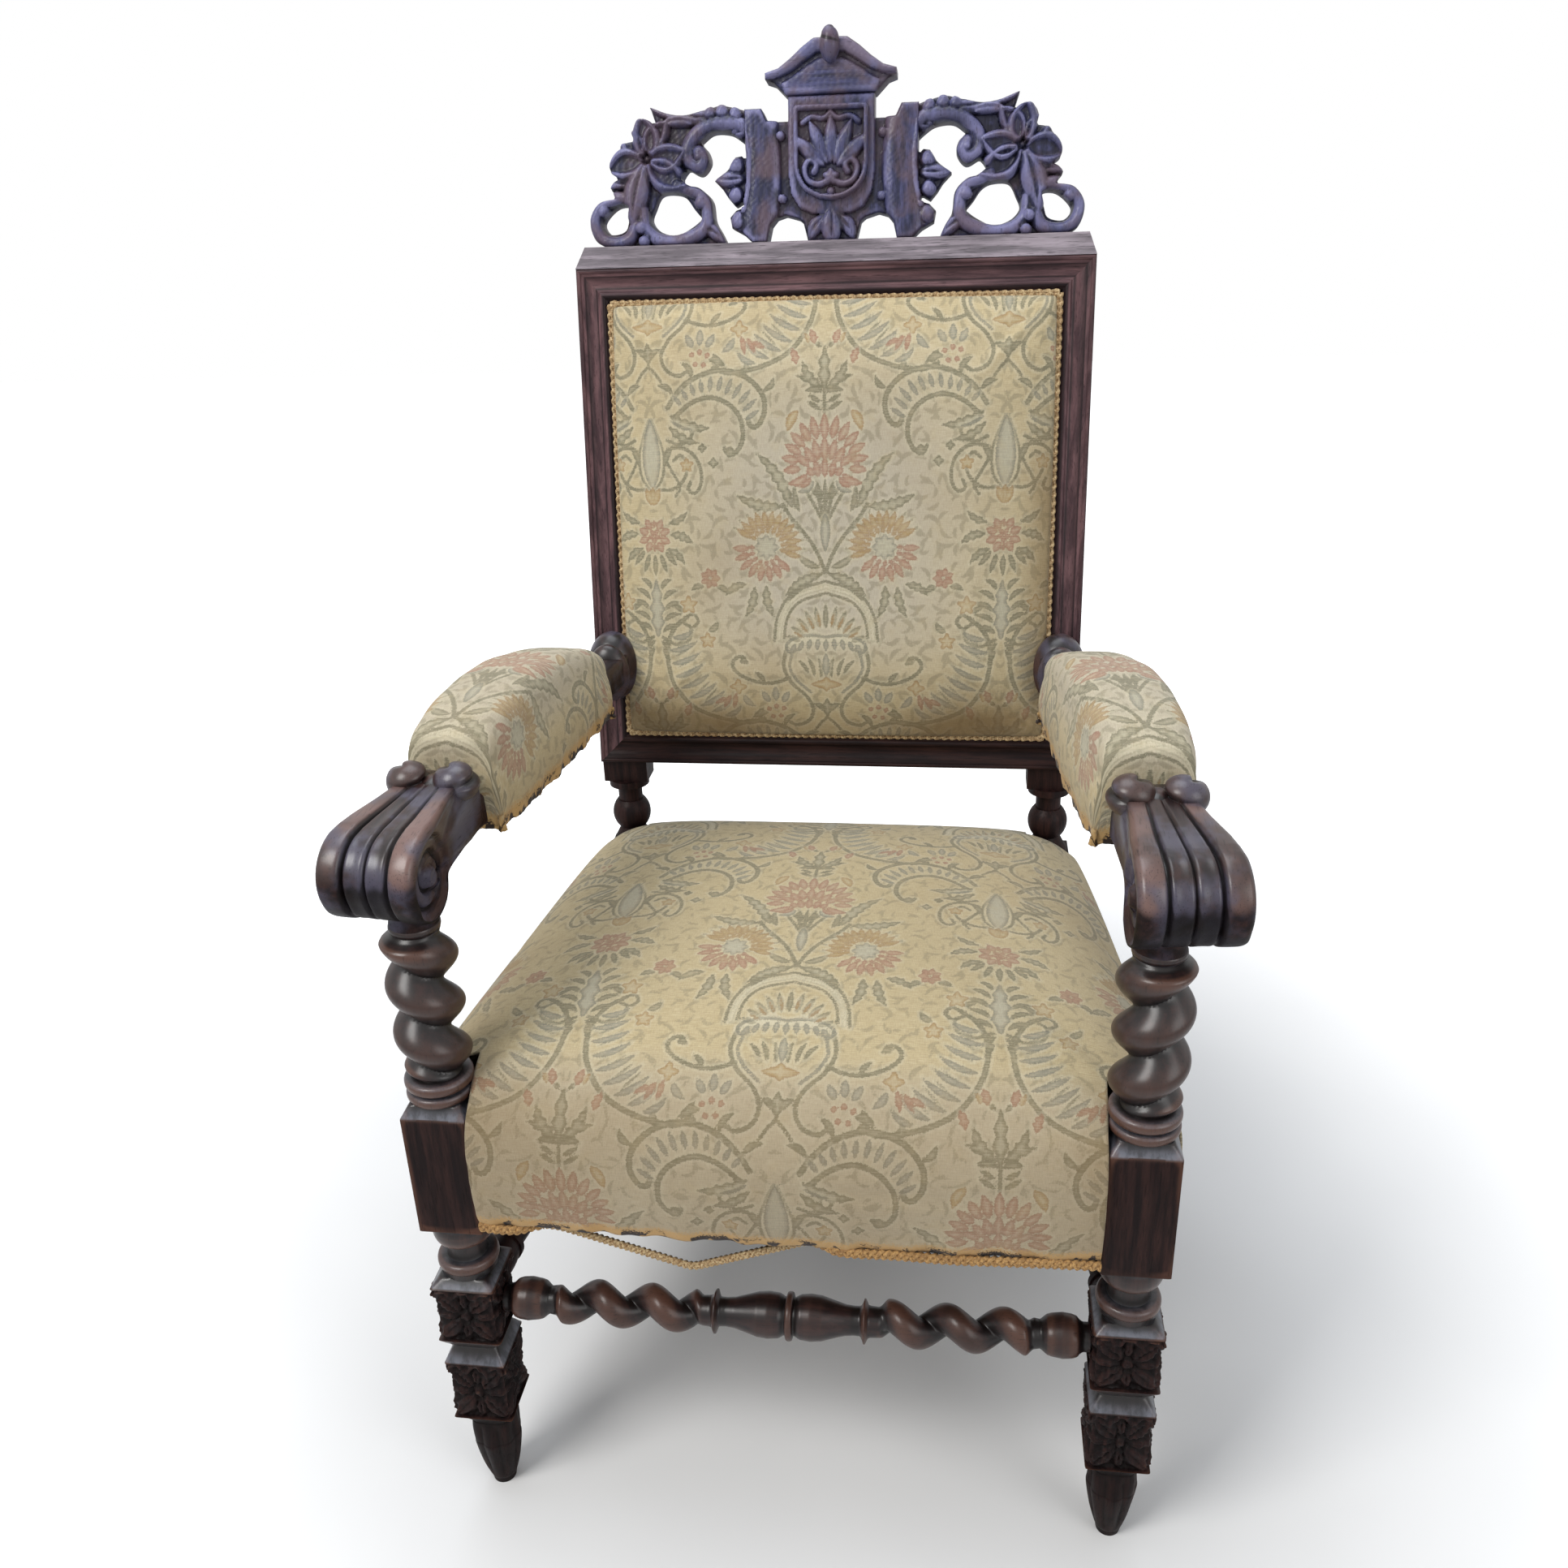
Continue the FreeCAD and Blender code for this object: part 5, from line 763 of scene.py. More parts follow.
# Stuffing. The settings of a cover's cloth while it is blown out:
COVER_CLOTH = {
    "quality": 6, "mass": 0.35, "tension_stiffness": 28, "compression_stiffness": 28, "shear_stiffness": 12,
    "bending_stiffness": 2.5, "air_damping": 6, "use_pressure": True, "vertex_group_mass": "held",
}


def stuffed(points, quads, pinned, pressure, cap, frames=16):
    """Shift of each point when stuffing blows the cover out: cloth under pressure, pinned, capped."""
    scene = bpy.context.scene
    mesh = bpy.data.meshes.new("cover_trial")
    mesh.from_pydata((points * MM).tolist(), [], quads.tolist())
    trial = bpy.data.objects.new("cover_trial", mesh)
    scene.collection.objects.link(trial)
    held = trial.vertex_groups.new(name="held")
    held.add([int(index) for index in pinned], 1, "REPLACE")
    cloth = trial.modifiers.new("cloth", "CLOTH")
    for key, value in COVER_CLOTH.items():
        setattr(cloth.settings, key, value)
    cloth.settings.uniform_pressure_force = pressure
    cloth.settings.effector_weights.gravity = 0
    cloth.collision_settings.use_self_collision = False
    cloth.point_cache.frame_start = 1
    cloth.point_cache.frame_end = frames
    for number in range(1, frames + 1):
        scene.frame_set(number)
    seen = trial.evaluated_get(bpy.context.evaluated_depsgraph_get())
    settled = np.empty(len(points) * 3, np.float32)
    seen.data.vertices.foreach_get("co", settled)
    shift = settled.reshape(-1, 3) / MM - points
    bpy.data.objects.remove(trial)
    bpy.data.meshes.remove(mesh)
    scene.frame_set(1)
    reach = np.linalg.norm(shift, axis=1, keepdims=True)
    return shift * np.minimum(1, cap / np.maximum(reach, 1e-6))


def finer(coarse, coarse_rows, coarse_columns, rows, columns):
    """A grid of vectors read off at other rows and columns, straight between its own."""
    def shares(known, wanted):
        low = np.clip(np.searchsorted(known, wanted, side="right") - 1, 0, len(known) - 2)
        return low, np.clip((wanted - known[low]) / (known[low + 1] - known[low]), 0, 1)

    low, share = shares(coarse_rows, rows)
    by_row = coarse[low] * (1 - share[:, None, None]) + coarse[low + 1] * share[:, None, None]
    low, share = shares(coarse_columns, columns)
    return by_row[:, low] * (1 - share[None, :, None]) + by_row[:, low + 1] * share[None, :, None]


def cloth_fields(across, up, hem, darkening, paling, bare=0):
    """Fields for the brocade's finish: cloth coordinates, motifs, torn hem, sprigs, darkening that is partly
    painted shade, and paling that is partly painted top light.
    """
    fields = motif_fields(across, up)
    hem = np.clip(hem, -FAR, FAR)
    threes = {
        "cloth": (across, up, 0),
        "motif_cool": (fields["sage"], fields["slate"], fields["ochre"]),
        "motif_warm": (fields["rose"], fields["pale"], hem),
        "cloth_state": (sprig_field(across, up) + bare, darkening, paling),
    }
    return {
        name: np.stack([np.broadcast_to(part, across.shape) for part in parts], -1).reshape(-1, 3)
        for name, parts in threes.items()
    }


def new_cover(name, points, quads, node, fields, mirrored=False):
    """A cover of brocade with its thickness inwards."""
    made = new_piece(name, points, [quads], "worn_brocade", node, fields, mirrored=mirrored)
    wall = made.modifiers.new("thickness", "SOLIDIFY")
    wall.thickness = COVER_THICKNESS * MM
    wall.offset = -1
    return made


def ripple(place, *waves):
    """Sum of sines with lengths, heights and phases of their own."""
    total = np.zeros_like(place)
    for length, height, phase in waves:
        total = total + height * np.sin(2 * np.pi * place / length + phase)
    return total


# Settings.
def tint(label, about, colour):
    """A colour that can be set."""
    return bpy.props.FloatVectorProperty(name=label, description=about, subtype="COLOR", default=colour)


class ChairSettings(bpy.types.PropertyGroup):
    """Sizes and colours of the chair that a user would change."""

    oak_dark: tint("Oak, dark", "Colour of the oak in its dark grain", (0.008, 0.0040, 0.0042))
    oak_brown: tint("Oak, brown", "Colour of the oak in its light grain", (0.031, 0.0135, 0.0115))
    oak_rubbed: tint("Oak, rubbed", "Colour where carving is worn", (0.080, 0.036, 0.024))
    hand_rubbed: tint("Hands, rubbed", "Colour of the hands where they are worn", (0.165, 0.098, 0.085))
    # Bluish patches on the hands: painted sky reflection.
    hand_sky_patches: tint("Hands, flush", "Cool patches on the hands", (0.066, 0.062, 0.092))
    # The cresting's oak is tinted blue for a painted sky reflection; its flush patches bring back warm oak.
    crest_sky_dark: tint("Cresting, dark", "Dark grain of the cresting", (0.013, 0.014, 0.034))
    crest_sky_brown: tint("Cresting, brown", "Light grain of the cresting", (0.064, 0.066, 0.150))
    crest_sky_rubbed: tint("Cresting, rubbed", "Worn carving of the cresting", (0.172, 0.168, 0.310))
    crest_flush: tint("Cresting, flush", "Warm patches on the cresting", (0.100, 0.066, 0.082))
    cornice_flush: tint("Cornice, flush", "Warm patches on the cornice", (0.120, 0.085, 0.105))
    # The cresting's base: pale for dust, and for painted light on its top.
    dust_toplit_dark: tint("Dust, dark", "Dark grain under dust", (0.10, 0.085, 0.095))
    dust_toplit_pale: tint("Dust, pale", "Light grain under dust", (0.26, 0.22, 0.245))
    # The mouldings' oak is lighter than the rest for painted light from above.
    moulding_lit_dark: tint("Moulding, dark", "Dark grain of the back's mouldings", (0.056, 0.030, 0.034))
    moulding_lit_brown: tint("Moulding, brown", "Light grain of the back's mouldings", (0.160, 0.085, 0.090))
    # Paler ground: bleaching, and painted top light on the arm pads' tops.
    faded: tint("Faded ground", "Ground of the brocade where light has bleached it", (0.425, 0.395, 0.340))
    ground: tint("Ground", "Ground of the brocade", (0.520, 0.435, 0.270))
    ground_thread: tint("Ground thread", "Darker weft of the ground", (0.415, 0.335, 0.190))
    sage: tint("Sage", "Grey-green leaves and scrolls", (0.180, 0.168, 0.108))
    slate: tint("Slate", "Grey-blue leaves", (0.230, 0.226, 0.180))
    ochre: tint("Ochre", "Buds and petal crowns", (0.340, 0.225, 0.090))
    rose: tint("Rose", "Dusty rose petals", (0.320, 0.165, 0.112))
    pale: tint("Pale", "Pale silk in the motifs", (0.560, 0.510, 0.370))
    frayed: tint("Frayed hem", "Golden brown of the torn hem", (0.430, 0.255, 0.090))
    braid: tint("Braid", "Golden yarn of the braid", (0.500, 0.300, 0.110))
    braid_dark: tint("Braid, dark", "Soiled yarn of the braid", (0.210, 0.110, 0.040))
    braid_faded: tint("Braid, faded", "Faded yarn of the back's braid", (0.560, 0.430, 0.240))
    cloth_step: bpy.props.FloatProperty(
        name="Cloth step", description="Distance between points of a cover, in millimetres",
        default=2, min=1.5, max=6,
    )
    carving_step: bpy.props.FloatProperty(
        name="Carving step", description="Distance between points of a carving, in millimetres",
        default=1.5, min=0.8, max=4,
    )
    stuffing: bpy.props.FloatProperty(
        name="Stuffing", description="Pressure that fills the covers", default=3, min=0, max=10
    )


def settings_of(context):
    """The chair's settings."""
    return context.scene.bishops_chair


class CHAIR_OT_stage(bpy.types.Operator):
    """Pale floor, soft studio light, white surround and the camera"""

    bl_idname = "chair.stage"
    bl_label = "Stage"

    floor_half, floor_points = 9, 7
    # Distances from the chair at which the floor starts to whiten, and is white.
    floor_shaded, floor_white = 0.45, 1.8
    # Name, place, aim, width, power and colour.
    lamps = (
        ("key_light", (-1.6, -1.9, 2.8), (0, 0, 0.7), 1.3, 70, (1, 0.985, 0.96)),
        ("fill_light", (2.3, -1.9, 1.7), (0, 0, 0.7), 1.6, 24, (1, 0.99, 0.98)),
        ("top_light", (-0.3, 0.2, 3.2), (0, 0.1, 0.6), 1.8, 44, (0.90, 0.94, 1)),
    )
    # Width of the photograph and distance of its eye, both in its pixels, width of the camera's sensor in
    # millimetres, and the camera's place.
    photo_width, photo_reach, sensor = 1932, 1658.17, 36
    camera_place = (
        (0.9917, -0.0194, 0.1271, 0.1446),
        (0.1240, 0.4051, -0.9058, -1.2484),
        (-0.0339, 0.9141, 0.4041, 1.2060),
        (0, 0, 0, 1),
    )

    def surround(self, scene):
        """White where it is seen, and a dimmer light where it lights."""
        world = bpy.data.worlds.new("studio")
        scene.world = world
        world.use_nodes = True
        tree = world.node_tree
        path = shade(tree, "ShaderNodeLightPath")
        seen = counted(tree, "MAXIMUM", path.outputs["Is Camera Ray"], path.outputs["Is Transmission Ray"])
        seen = counted(tree, "MAXIMUM", seen, path.outputs["Is Glossy Ray"])
        white = shade(tree, "ShaderNodeBackground", {"Color": (1, 1, 1, 1), "Strength": 1})
        light = shade(tree, "ShaderNodeBackground", {"Color": (0.94, 0.97, 1, 1), "Strength": 0.42})
        both = shade(tree, "ShaderNodeMixShader", {0: seen, 1: light.outputs[0], 2: white.outputs[0]})
        put(tree, tree.nodes["World Output"].inputs[0], both.outputs[0])

    def floor(self, scene):
        """Matt floor that keeps the chair's shadow and glows white to the camera farther out."""
        reach = np.linspace(-self.floor_half, self.floor_half, self.floor_points)
        spots = np.stack(np.broadcast_arrays(reach[None, :], reach[:, None], 0), -1).reshape(-1, 3)
        mesh = bpy.data.meshes.new("floor")
        mesh.from_pydata(spots.tolist(), [], grid_quads(self.floor_points, self.floor_points).tolist())
        floor = bpy.data.objects.new("floor", mesh)
        scene.collection.objects.link(floor)
        finish, tree, surface = new_finish("studio_floor")
        tree.nodes.remove(surface)
        grain = noise(tree, placed(tree, 3), 1, 2)
        grey = mixed(tree, ranged(tree, grain, 0.3, 0.7), (0.80, 0.80, 0.80), (0.82, 0.82, 0.82))
        matt = shade(tree, "ShaderNodeBsdfDiffuse", {"Color": grey})
        path = shade(tree, "ShaderNodeLightPath")
        spot = shade(tree, "ShaderNodeTexCoord").outputs["Object"]
        far = shade(tree, "ShaderNodeVectorMath", {0: spot}, operation="LENGTH").outputs["Value"]
        whiteness = ranged(tree, far, self.floor_shaded, self.floor_white)
        level = counted(tree, "MULTIPLY", path.outputs["Is Camera Ray"], whiteness)
        glow = shade(tree, "ShaderNodeEmission", {"Strength": level})
        both = shade(tree, "ShaderNodeAddShader", {0: matt.outputs[0], 1: glow.outputs[0]})
        put(tree, tree.nodes["Material Output"].inputs[0], both.outputs[0])
        mesh.materials.append(finish)

    def execute(self, context):
        scene = context.scene
        scene.view_settings.view_transform = "Standard"
        self.surround(scene)
        self.floor(scene)
        for name, spot, aim, width, power, colour in self.lamps:
            lamp = bpy.data.lights.new(name, "AREA")
            lamp.size = width
            lamp.energy = power
            lamp.color = colour
            stand = bpy.data.objects.new(name, lamp)
            turn = (Vector(aim) - Vector(spot)).to_track_quat("-Z", "Y")
            stand.matrix_world = Matrix.Translation(spot) @ turn.to_matrix().to_4x4()
            scene.collection.objects.link(stand)
        lens = bpy.data.cameras.new("photo_camera")
        lens.sensor_width = self.sensor
        lens.lens = self.sensor * self.photo_reach / self.photo_width
        camera = bpy.data.objects.new("photo_camera", lens)
        camera.matrix_world = Matrix(self.camera_place)
        scene.collection.objects.link(camera)
        scene.camera = camera
        return {"FINISHED"}


class CHAIR_OT_finishes(bpy.types.Operator):
    """Finishes of the chair, and the oak, cloth and iron of its plain pieces"""

    bl_idname = "chair.finishes"
    bl_label = "Finishes"

    # Grain of the oak: the axis along which it is drawn out.
    across, along, upright = 0, 1, 2
    # The mouldings' outer and inner edges: across from the middle in metres, and up the back in millimetres.
    side_strip, top_strip = (0.279, 0.245), (555, 521)
    # Finish, and how the names of the nodes that wear it start. The first that fits is taken.
    wearers = (
        ("lit_moulding_oak_upright", ("back_moulding_left", "back_moulding_right")),
        ("lit_moulding_oak_across", ("back_moulding_top",)),
        ("waxed_oak_upright", ("rear_leg", "crest_dowels", "front_leg")),
        ("waxed_oak_across", ("seat_rail_front", "seat_rail_rear", "stretcher_rear", "stretcher_front",
                              "back_rail", "back_moulding_bottom", "seat_corner")),
        ("dusty_toplit_oak", ("crest_base",)),
        ("waxed_oak_carved", ("crest_cartouche", "crest_pediment", "crest_finial", "crest_shield",
                              "crest_wing")),
        ("waxed_oak_deep", ("seat_rail_left", "seat_rail_right", "stretcher_left", "stretcher_right",
                            "arm_left", "arm_right", "arm_dowels")),
        ("hessian_cloth", ("spring_canvas", "back_canvas", "back_cover")),
        ("jute_tape", ("seat_webbing", "back_webbing")),
        ("drawn_steel", ("seat_springs",)),
        ("blued_iron", ("webbing_tacks",)),
        ("braid_yarn", ("seat_braid", "back_braid", "loose_braid")),
        ("worn_brocade", ("seat_pad", "back_pad", "arm_pad")),
    )

    def execute(self, context):
        settings = settings_of(context)
        plain = (settings.oak_dark, settings.oak_brown, settings.oak_rubbed)
        cool = (settings.crest_sky_dark, settings.crest_sky_brown, settings.crest_sky_rubbed)
        hands = (settings.oak_dark, settings.oak_brown, settings.hand_rubbed)
        strips = (settings.moulding_lit_dark, settings.moulding_lit_brown, settings.moulding_lit_brown)
        dusty_toplit = (settings.dust_toplit_dark, settings.dust_toplit_pale, settings.crest_sky_rubbed)
        top_strip = [float(back_point(0, up, 0)[2]) * MM for up in self.top_strip]
        oak_finish("waxed_oak_upright", self.upright, plain, 0.05)
        oak_finish("waxed_oak_across", self.across, plain, 0.05)
        oak_finish("waxed_oak_deep", self.along, plain, 0.10)
        oak_finish("waxed_oak_posts", self.upright, plain, 0, 0.75)
        oak_finish("waxed_oak_stretcher", self.across, plain, 0.55)
        oak_finish("waxed_oak_hands", self.along, hands, 0, 0.75, flush=settings.hand_sky_patches)
        # The mouldings: lighter oak for painted top light, with stripes of painted highlight and shade.
        oak_finish("lit_moulding_oak_upright", self.upright, strips, 0.12, strip=(0, *self.side_strip))
        oak_finish("lit_moulding_oak_across", self.across, strips, 0.12, strip=(2, *top_strip))
        # The cresting: oak tinted blue for a painted sky reflection.
        oak_finish("waxed_oak_carved", self.upright, cool, 0.35, flush=settings.crest_flush)
        oak_finish("waxed_oak_cornice", self.across, cool, 0.35, flush=settings.cornice_flush)
        # The cresting's base: pale oak for dust and painted top light.
        oak_finish("dusty_toplit_oak", self.across, dusty_toplit, 0.05)
        brocade_finish("worn_brocade", settings)
        braid_finish("braid_yarn", settings.braid, settings.braid_dark)
        braid_finish("faded_yarn", settings.braid_faded, settings.braid_dark)
        woven_finish("hessian_cloth", (0.36, 0.27, 0.15), (0.12, 0.08, 0.04), 1.6)
        woven_finish("jute_tape", (0.40, 0.30, 0.17), (0.15, 0.10, 0.05), 2.2)
        iron_finish("drawn_steel", (0.33, 0.32, 0.31), 0.38)
        iron_finish("blued_iron", (0.05, 0.05, 0.055), 0.45)
        left = set(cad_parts)
        for finish, names in self.wearers:
            for node in sorted(left):
                if node.startswith(names):
                    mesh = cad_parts[node].data
                    mesh.materials.clear()
                    mesh.materials.append(finish_of(finish))
                    left.discard(node)
        if left:
            raise RuntimeError(f"no finish for {sorted(left)}")
        return {"FINISHED"}


# Braid.
def plait(line, face, strand, wide, high, pitch, strands=3):
    """Strands plaited along a line against a face: each weaves across as a sine, and over twice as fast."""
    sides = 8
    run = run_along(line)
    way = np.gradient(line, axis=0)
    way /= np.linalg.norm(way, axis=1, keepdims=True)
    up = np.cross(way, face)
    up /= np.linalg.norm(up, axis=1, keepdims=True)
    out = np.cross(up, way)
    angle = full_turn(sides)
    ring = out[:, None] * np.cos(angle)[None, :, None] + up[:, None] * np.sin(angle)[None, :, None]
    shells = []
    for index in range(strands):
        phase = 2 * np.pi * (run / pitch + index / strands)
        centre = line + up * (wide * np.sin(phase))[:, None] + out * (high * np.sin(2 * phase))[:, None]
        swell = (strand * (1 + 0.16 * np.cos(2 * phase)))[:, None, None]
        depth = np.cos(angle)[None, :] * 0.6 + np.sin(2 * phase)[:, None] * 0.7
        shells.append((centre[:, None] + ring * swell, tube_faces(len(line), sides), depth))
    return joined(shells)


def new_braid(name, shell, finish, node):
    """A piece of braid from its points, faces and relief."""
    points, faces, relief = shell
    return new_piece(name, points, faces, finish, node, {"relief": relief})


class CHAIR_OT_loose_braid(bpy.types.Operator):
    """Length of braid that has come away and hangs from the front hem"""

    bl_idname = "chair.loose_braid"
    bl_label = "Loose Braid"

    hem_y = -0.333389
    # Places across and heights, in metres.
    hang = (
        (-0.222, 0.357), (-0.206, 0.357), (-0.188, 0.3514), (-0.15, 0.3395), (-0.11, 0.327), (-0.096, 0.3226),
        (-0.083, 0.3185), (-0.066, 0.3247), (-0.036, 0.3357), (-0.008, 0.346), (0.012, 0.3533),
        (0.022, 0.357), (0.034, 0.357),
    )
    # Face, half thickness of a strand, half width and half height of the plait, and its pitch.
    plait = ((0, -1, 0), 2.1, 2.2, 1, 15)

    def execute(self, context):
        route = [(across, self.hem_y, height) for across, height in self.hang]
        curve = bpy.data.curves.new("loose_braid_route", "CURVE")
        curve.dimensions = "3D"
        curve.resolution_u = 16
        spline = curve.splines.new("NURBS")
        spline.points.add(len(route) - 1)
        spline.points.foreach_set("co", np.column_stack([route, np.ones(len(route))]).ravel())
        spline.order_u = 3
        spline.use_endpoint_u = True
        guide = bpy.data.objects.new("loose_braid_route", curve)
        context.scene.collection.objects.link(guide)
        context.view_layer.update()
        run = bpy.data.meshes.new_from_object(guide)
        spots = np.empty(len(run.vertices) * 3)
        run.vertices.foreach_get("co", spots)
        bpy.data.objects.remove(guide)
        bpy.data.meshes.remove(run)
        line = smooth_line(spots.reshape(-1, 3) / MM, 1.3)
        made = new_braid("loose_braid_hanging", plait(line, *self.plait), "faded_yarn", "loose_braid")
        return {"FINISHED"}


class CHAIR_OT_braids(bpy.types.Operator):
    """Plaited braid along the hem of the seat and round the back"""

    bl_idname = "chair.braids"
    bl_label = "Braids"

    # The front hem's two runs, from the posts to where the loose length starts and ends.
    front_runs = (
        ((-274.5, -343, 359), (-258, -344.6, 358.5), (-240, -343, 357.5), (-226, -336, 357),
         (-218, -333.4, 357)),
        ((28, -333.4, 357), (38, -338, 357.5), (54, -347.5, 360), (100, -348.2, 360.8),
         (150, -347.6, 359.3), (220, -346.2, 360.5), (274.5, -343.2, 358.5)),
    )
    side_run = ((328, -279, 360), (303, -40, 360), (279, 196, 360))
    rear_run = ((-226, 243, 360), (0, 243, 360), (226, 243, 360))
    # Round the back: half width, low and high edge, and how far behind the face of the back.
    back_half, back_low, back_high, back_behind = 242.6, 36.6, 518.4, 5
    # Half thickness of a strand, half width and half height of the plait, and its pitch.
    front_plait = (2.6, 2.9, 1.1, 19)
    side_plait = (2.1, 2.3, 0.9, 17)
    back_plait = (2.6, 2, 1.1, 18)
    front_step, side_step = 1.3, 1.6

    def execute(self, context):
        parts = []
        for route in self.front_runs:
            parts.append(plait(smooth_line(route, self.front_step), (0, -1, 0), *self.front_plait))
        for sign in (-1, 1):
            route = smooth_line(np.multiply(self.side_run, (sign, 1, 1)), self.side_step)
            parts.append(plait(route, (sign, 0.1, 0), *self.side_plait))
        parts.append(plait(smooth_line(self.rear_run, self.side_step), (0, 1, 0), *self.side_plait))
        new_braid("seat_braid_plait", joined(parts), "braid_yarn", "seat_braid")
        half, low, high = self.back_half, self.back_low, self.back_high
        corners = ((-half, low), (half, low), (half, high), (-half, high), (-half, low))
        face = np.array((0, -math.cos(BACK_RAKE), math.sin(BACK_RAKE)))
        parts = []
        for start, end in zip(corners[:-1], corners[1:]):
            share = np.linspace(0, 1, int(math.dist(start, end) / self.front_step))
            across = start[0] + (end[0] - start[0]) * share
            up = start[1] + (end[1] - start[1]) * share
            parts.append(plait(back_point(across, up, self.back_behind), face, *self.back_plait, strands=2))
        new_braid("back_braid_plait", joined(parts), "faded_yarn", "back_braid")
        return {"FINISHED"}


# Covers.
class CHAIR_OT_back_pad(bpy.types.Operator):
    """Stuffed back in brocade"""

    bl_idname = "chair.back_pad"
    bl_label = "Back Pad"

    half, low, high = 240, 39, 516
    # How far behind the face of the back its edge sits, how far the crown stands before the edge, and over
    # what width it rounds off, by a superellipse of a power.
    seat, crown, rounding, power = 7, 30, 110, 2.6
    bow = 2
    # The big flower's heart across from the middle, and up.
    heart_across, heart_up = -4, 361
    # The trial of its stuffing: step between points, and the cap of their shift.
    trial_step, trial_cap = 9, 5

    def crowned(self, span, step):
        """Places across a span and their drop below the crown: a superellipse at each edge, evenly spaced."""
        turn = np.linspace(np.pi / 2, 0, 400)
        edge_inset = self.rounding - self.rounding * np.sin(turn) ** (2 / self.power)
        edge_drop = self.crown * (1 - np.cos(turn) ** (2 / self.power))
        flat = np.linspace(self.rounding, span / 2, 60)[1:]
        inset = np.concatenate([edge_inset, flat])
        drop = np.concatenate([edge_drop, np.zeros(len(flat))])
        place = np.concatenate([inset - span / 2, (span / 2 - inset)[::-1][1:]])
        drop = np.concatenate([drop, drop[::-1][1:]])
        run = np.concatenate([[0], np.cumsum(np.hypot(np.diff(place), np.diff(drop)))])
        even = np.linspace(0, run[-1], int(round(run[-1] / step)) + 1)
        return np.interp(even, run, place), np.interp(even, run, drop), even - run[-1] / 2

    def cover(self, step):
        """Points of the cover: two crowned lines crossed, drops joined by their cubes, edges bowed out."""
        tall, middle = self.high - self.low, (self.low + self.high) / 2
        across, across_drop, across_run = self.crowned(2 * self.half, step)
        rise, rise_drop, rise_run = self.crowned(tall, step)
        drop = (across_drop[None, :] ** 3 + rise_drop[:, None] ** 3) ** (1 / 3)
        drop = np.minimum(drop, self.crown)
        swell = self.bow / self.half
        x = across[None, :] * (1 + swell * (1 - (rise[:, None] / tall * 2) ** 2))
        up = middle + rise[:, None] * (1 + swell * (1 - (across[None, :] / self.half) ** 2))
        return back_point(x, up, self.seat - self.crown + drop), across_run, rise_run + middle

    def execute(self, context):
        settings = settings_of(context)
        points, across_run, rise_run = self.cover(settings.cloth_step)
        coarse, coarse_across, coarse_rise = self.cover(self.trial_step)
        rows, columns = coarse.shape[:2]
        inner = np.zeros((rows, columns), bool)
        inner[2:-2, 2:-2] = True
        rim = np.nonzero(~inner.ravel())[0]
        quads = grid_quads(rows, columns)
        shift = stuffed(coarse.reshape(-1, 3), quads, rim, settings.stuffing, self.trial_cap)
        points = points + finer(
            shift.reshape(rows, columns, 3), coarse_rise, coarse_across, rise_run, across_run
        )
        wide, tall = across_run[None, :], rise_run[:, None]
        across, up = np.broadcast_arrays(wide - self.heart_across, tall - self.heart_up)
        # Darker and browner towards the bottom.
        darkening = 0.62 * fade(tall, 125, 45) * fade(np.abs(wide), 20, 190)
        darkening = darkening + 0.45 * fade(tall, 90, 40)
        # Painted shade along the right edge.
        darkening = np.maximum(darkening, 0.75 * fade(wide, 196, 246) * fade(tall, 480, 260))
        paling = fade(tall, 60, 200) * fade(np.abs(wide), 260, 40)
        paling = paling * fade(tall, 540, 330)
        fields = cloth_fields(across, up, FAR, np.clip(darkening, 0, 0.8), paling)
        made = new_cover("back_pad_cover", points, grid_quads(*points.shape[:2]), "back_pad", fields)
        return {"FINISHED"}


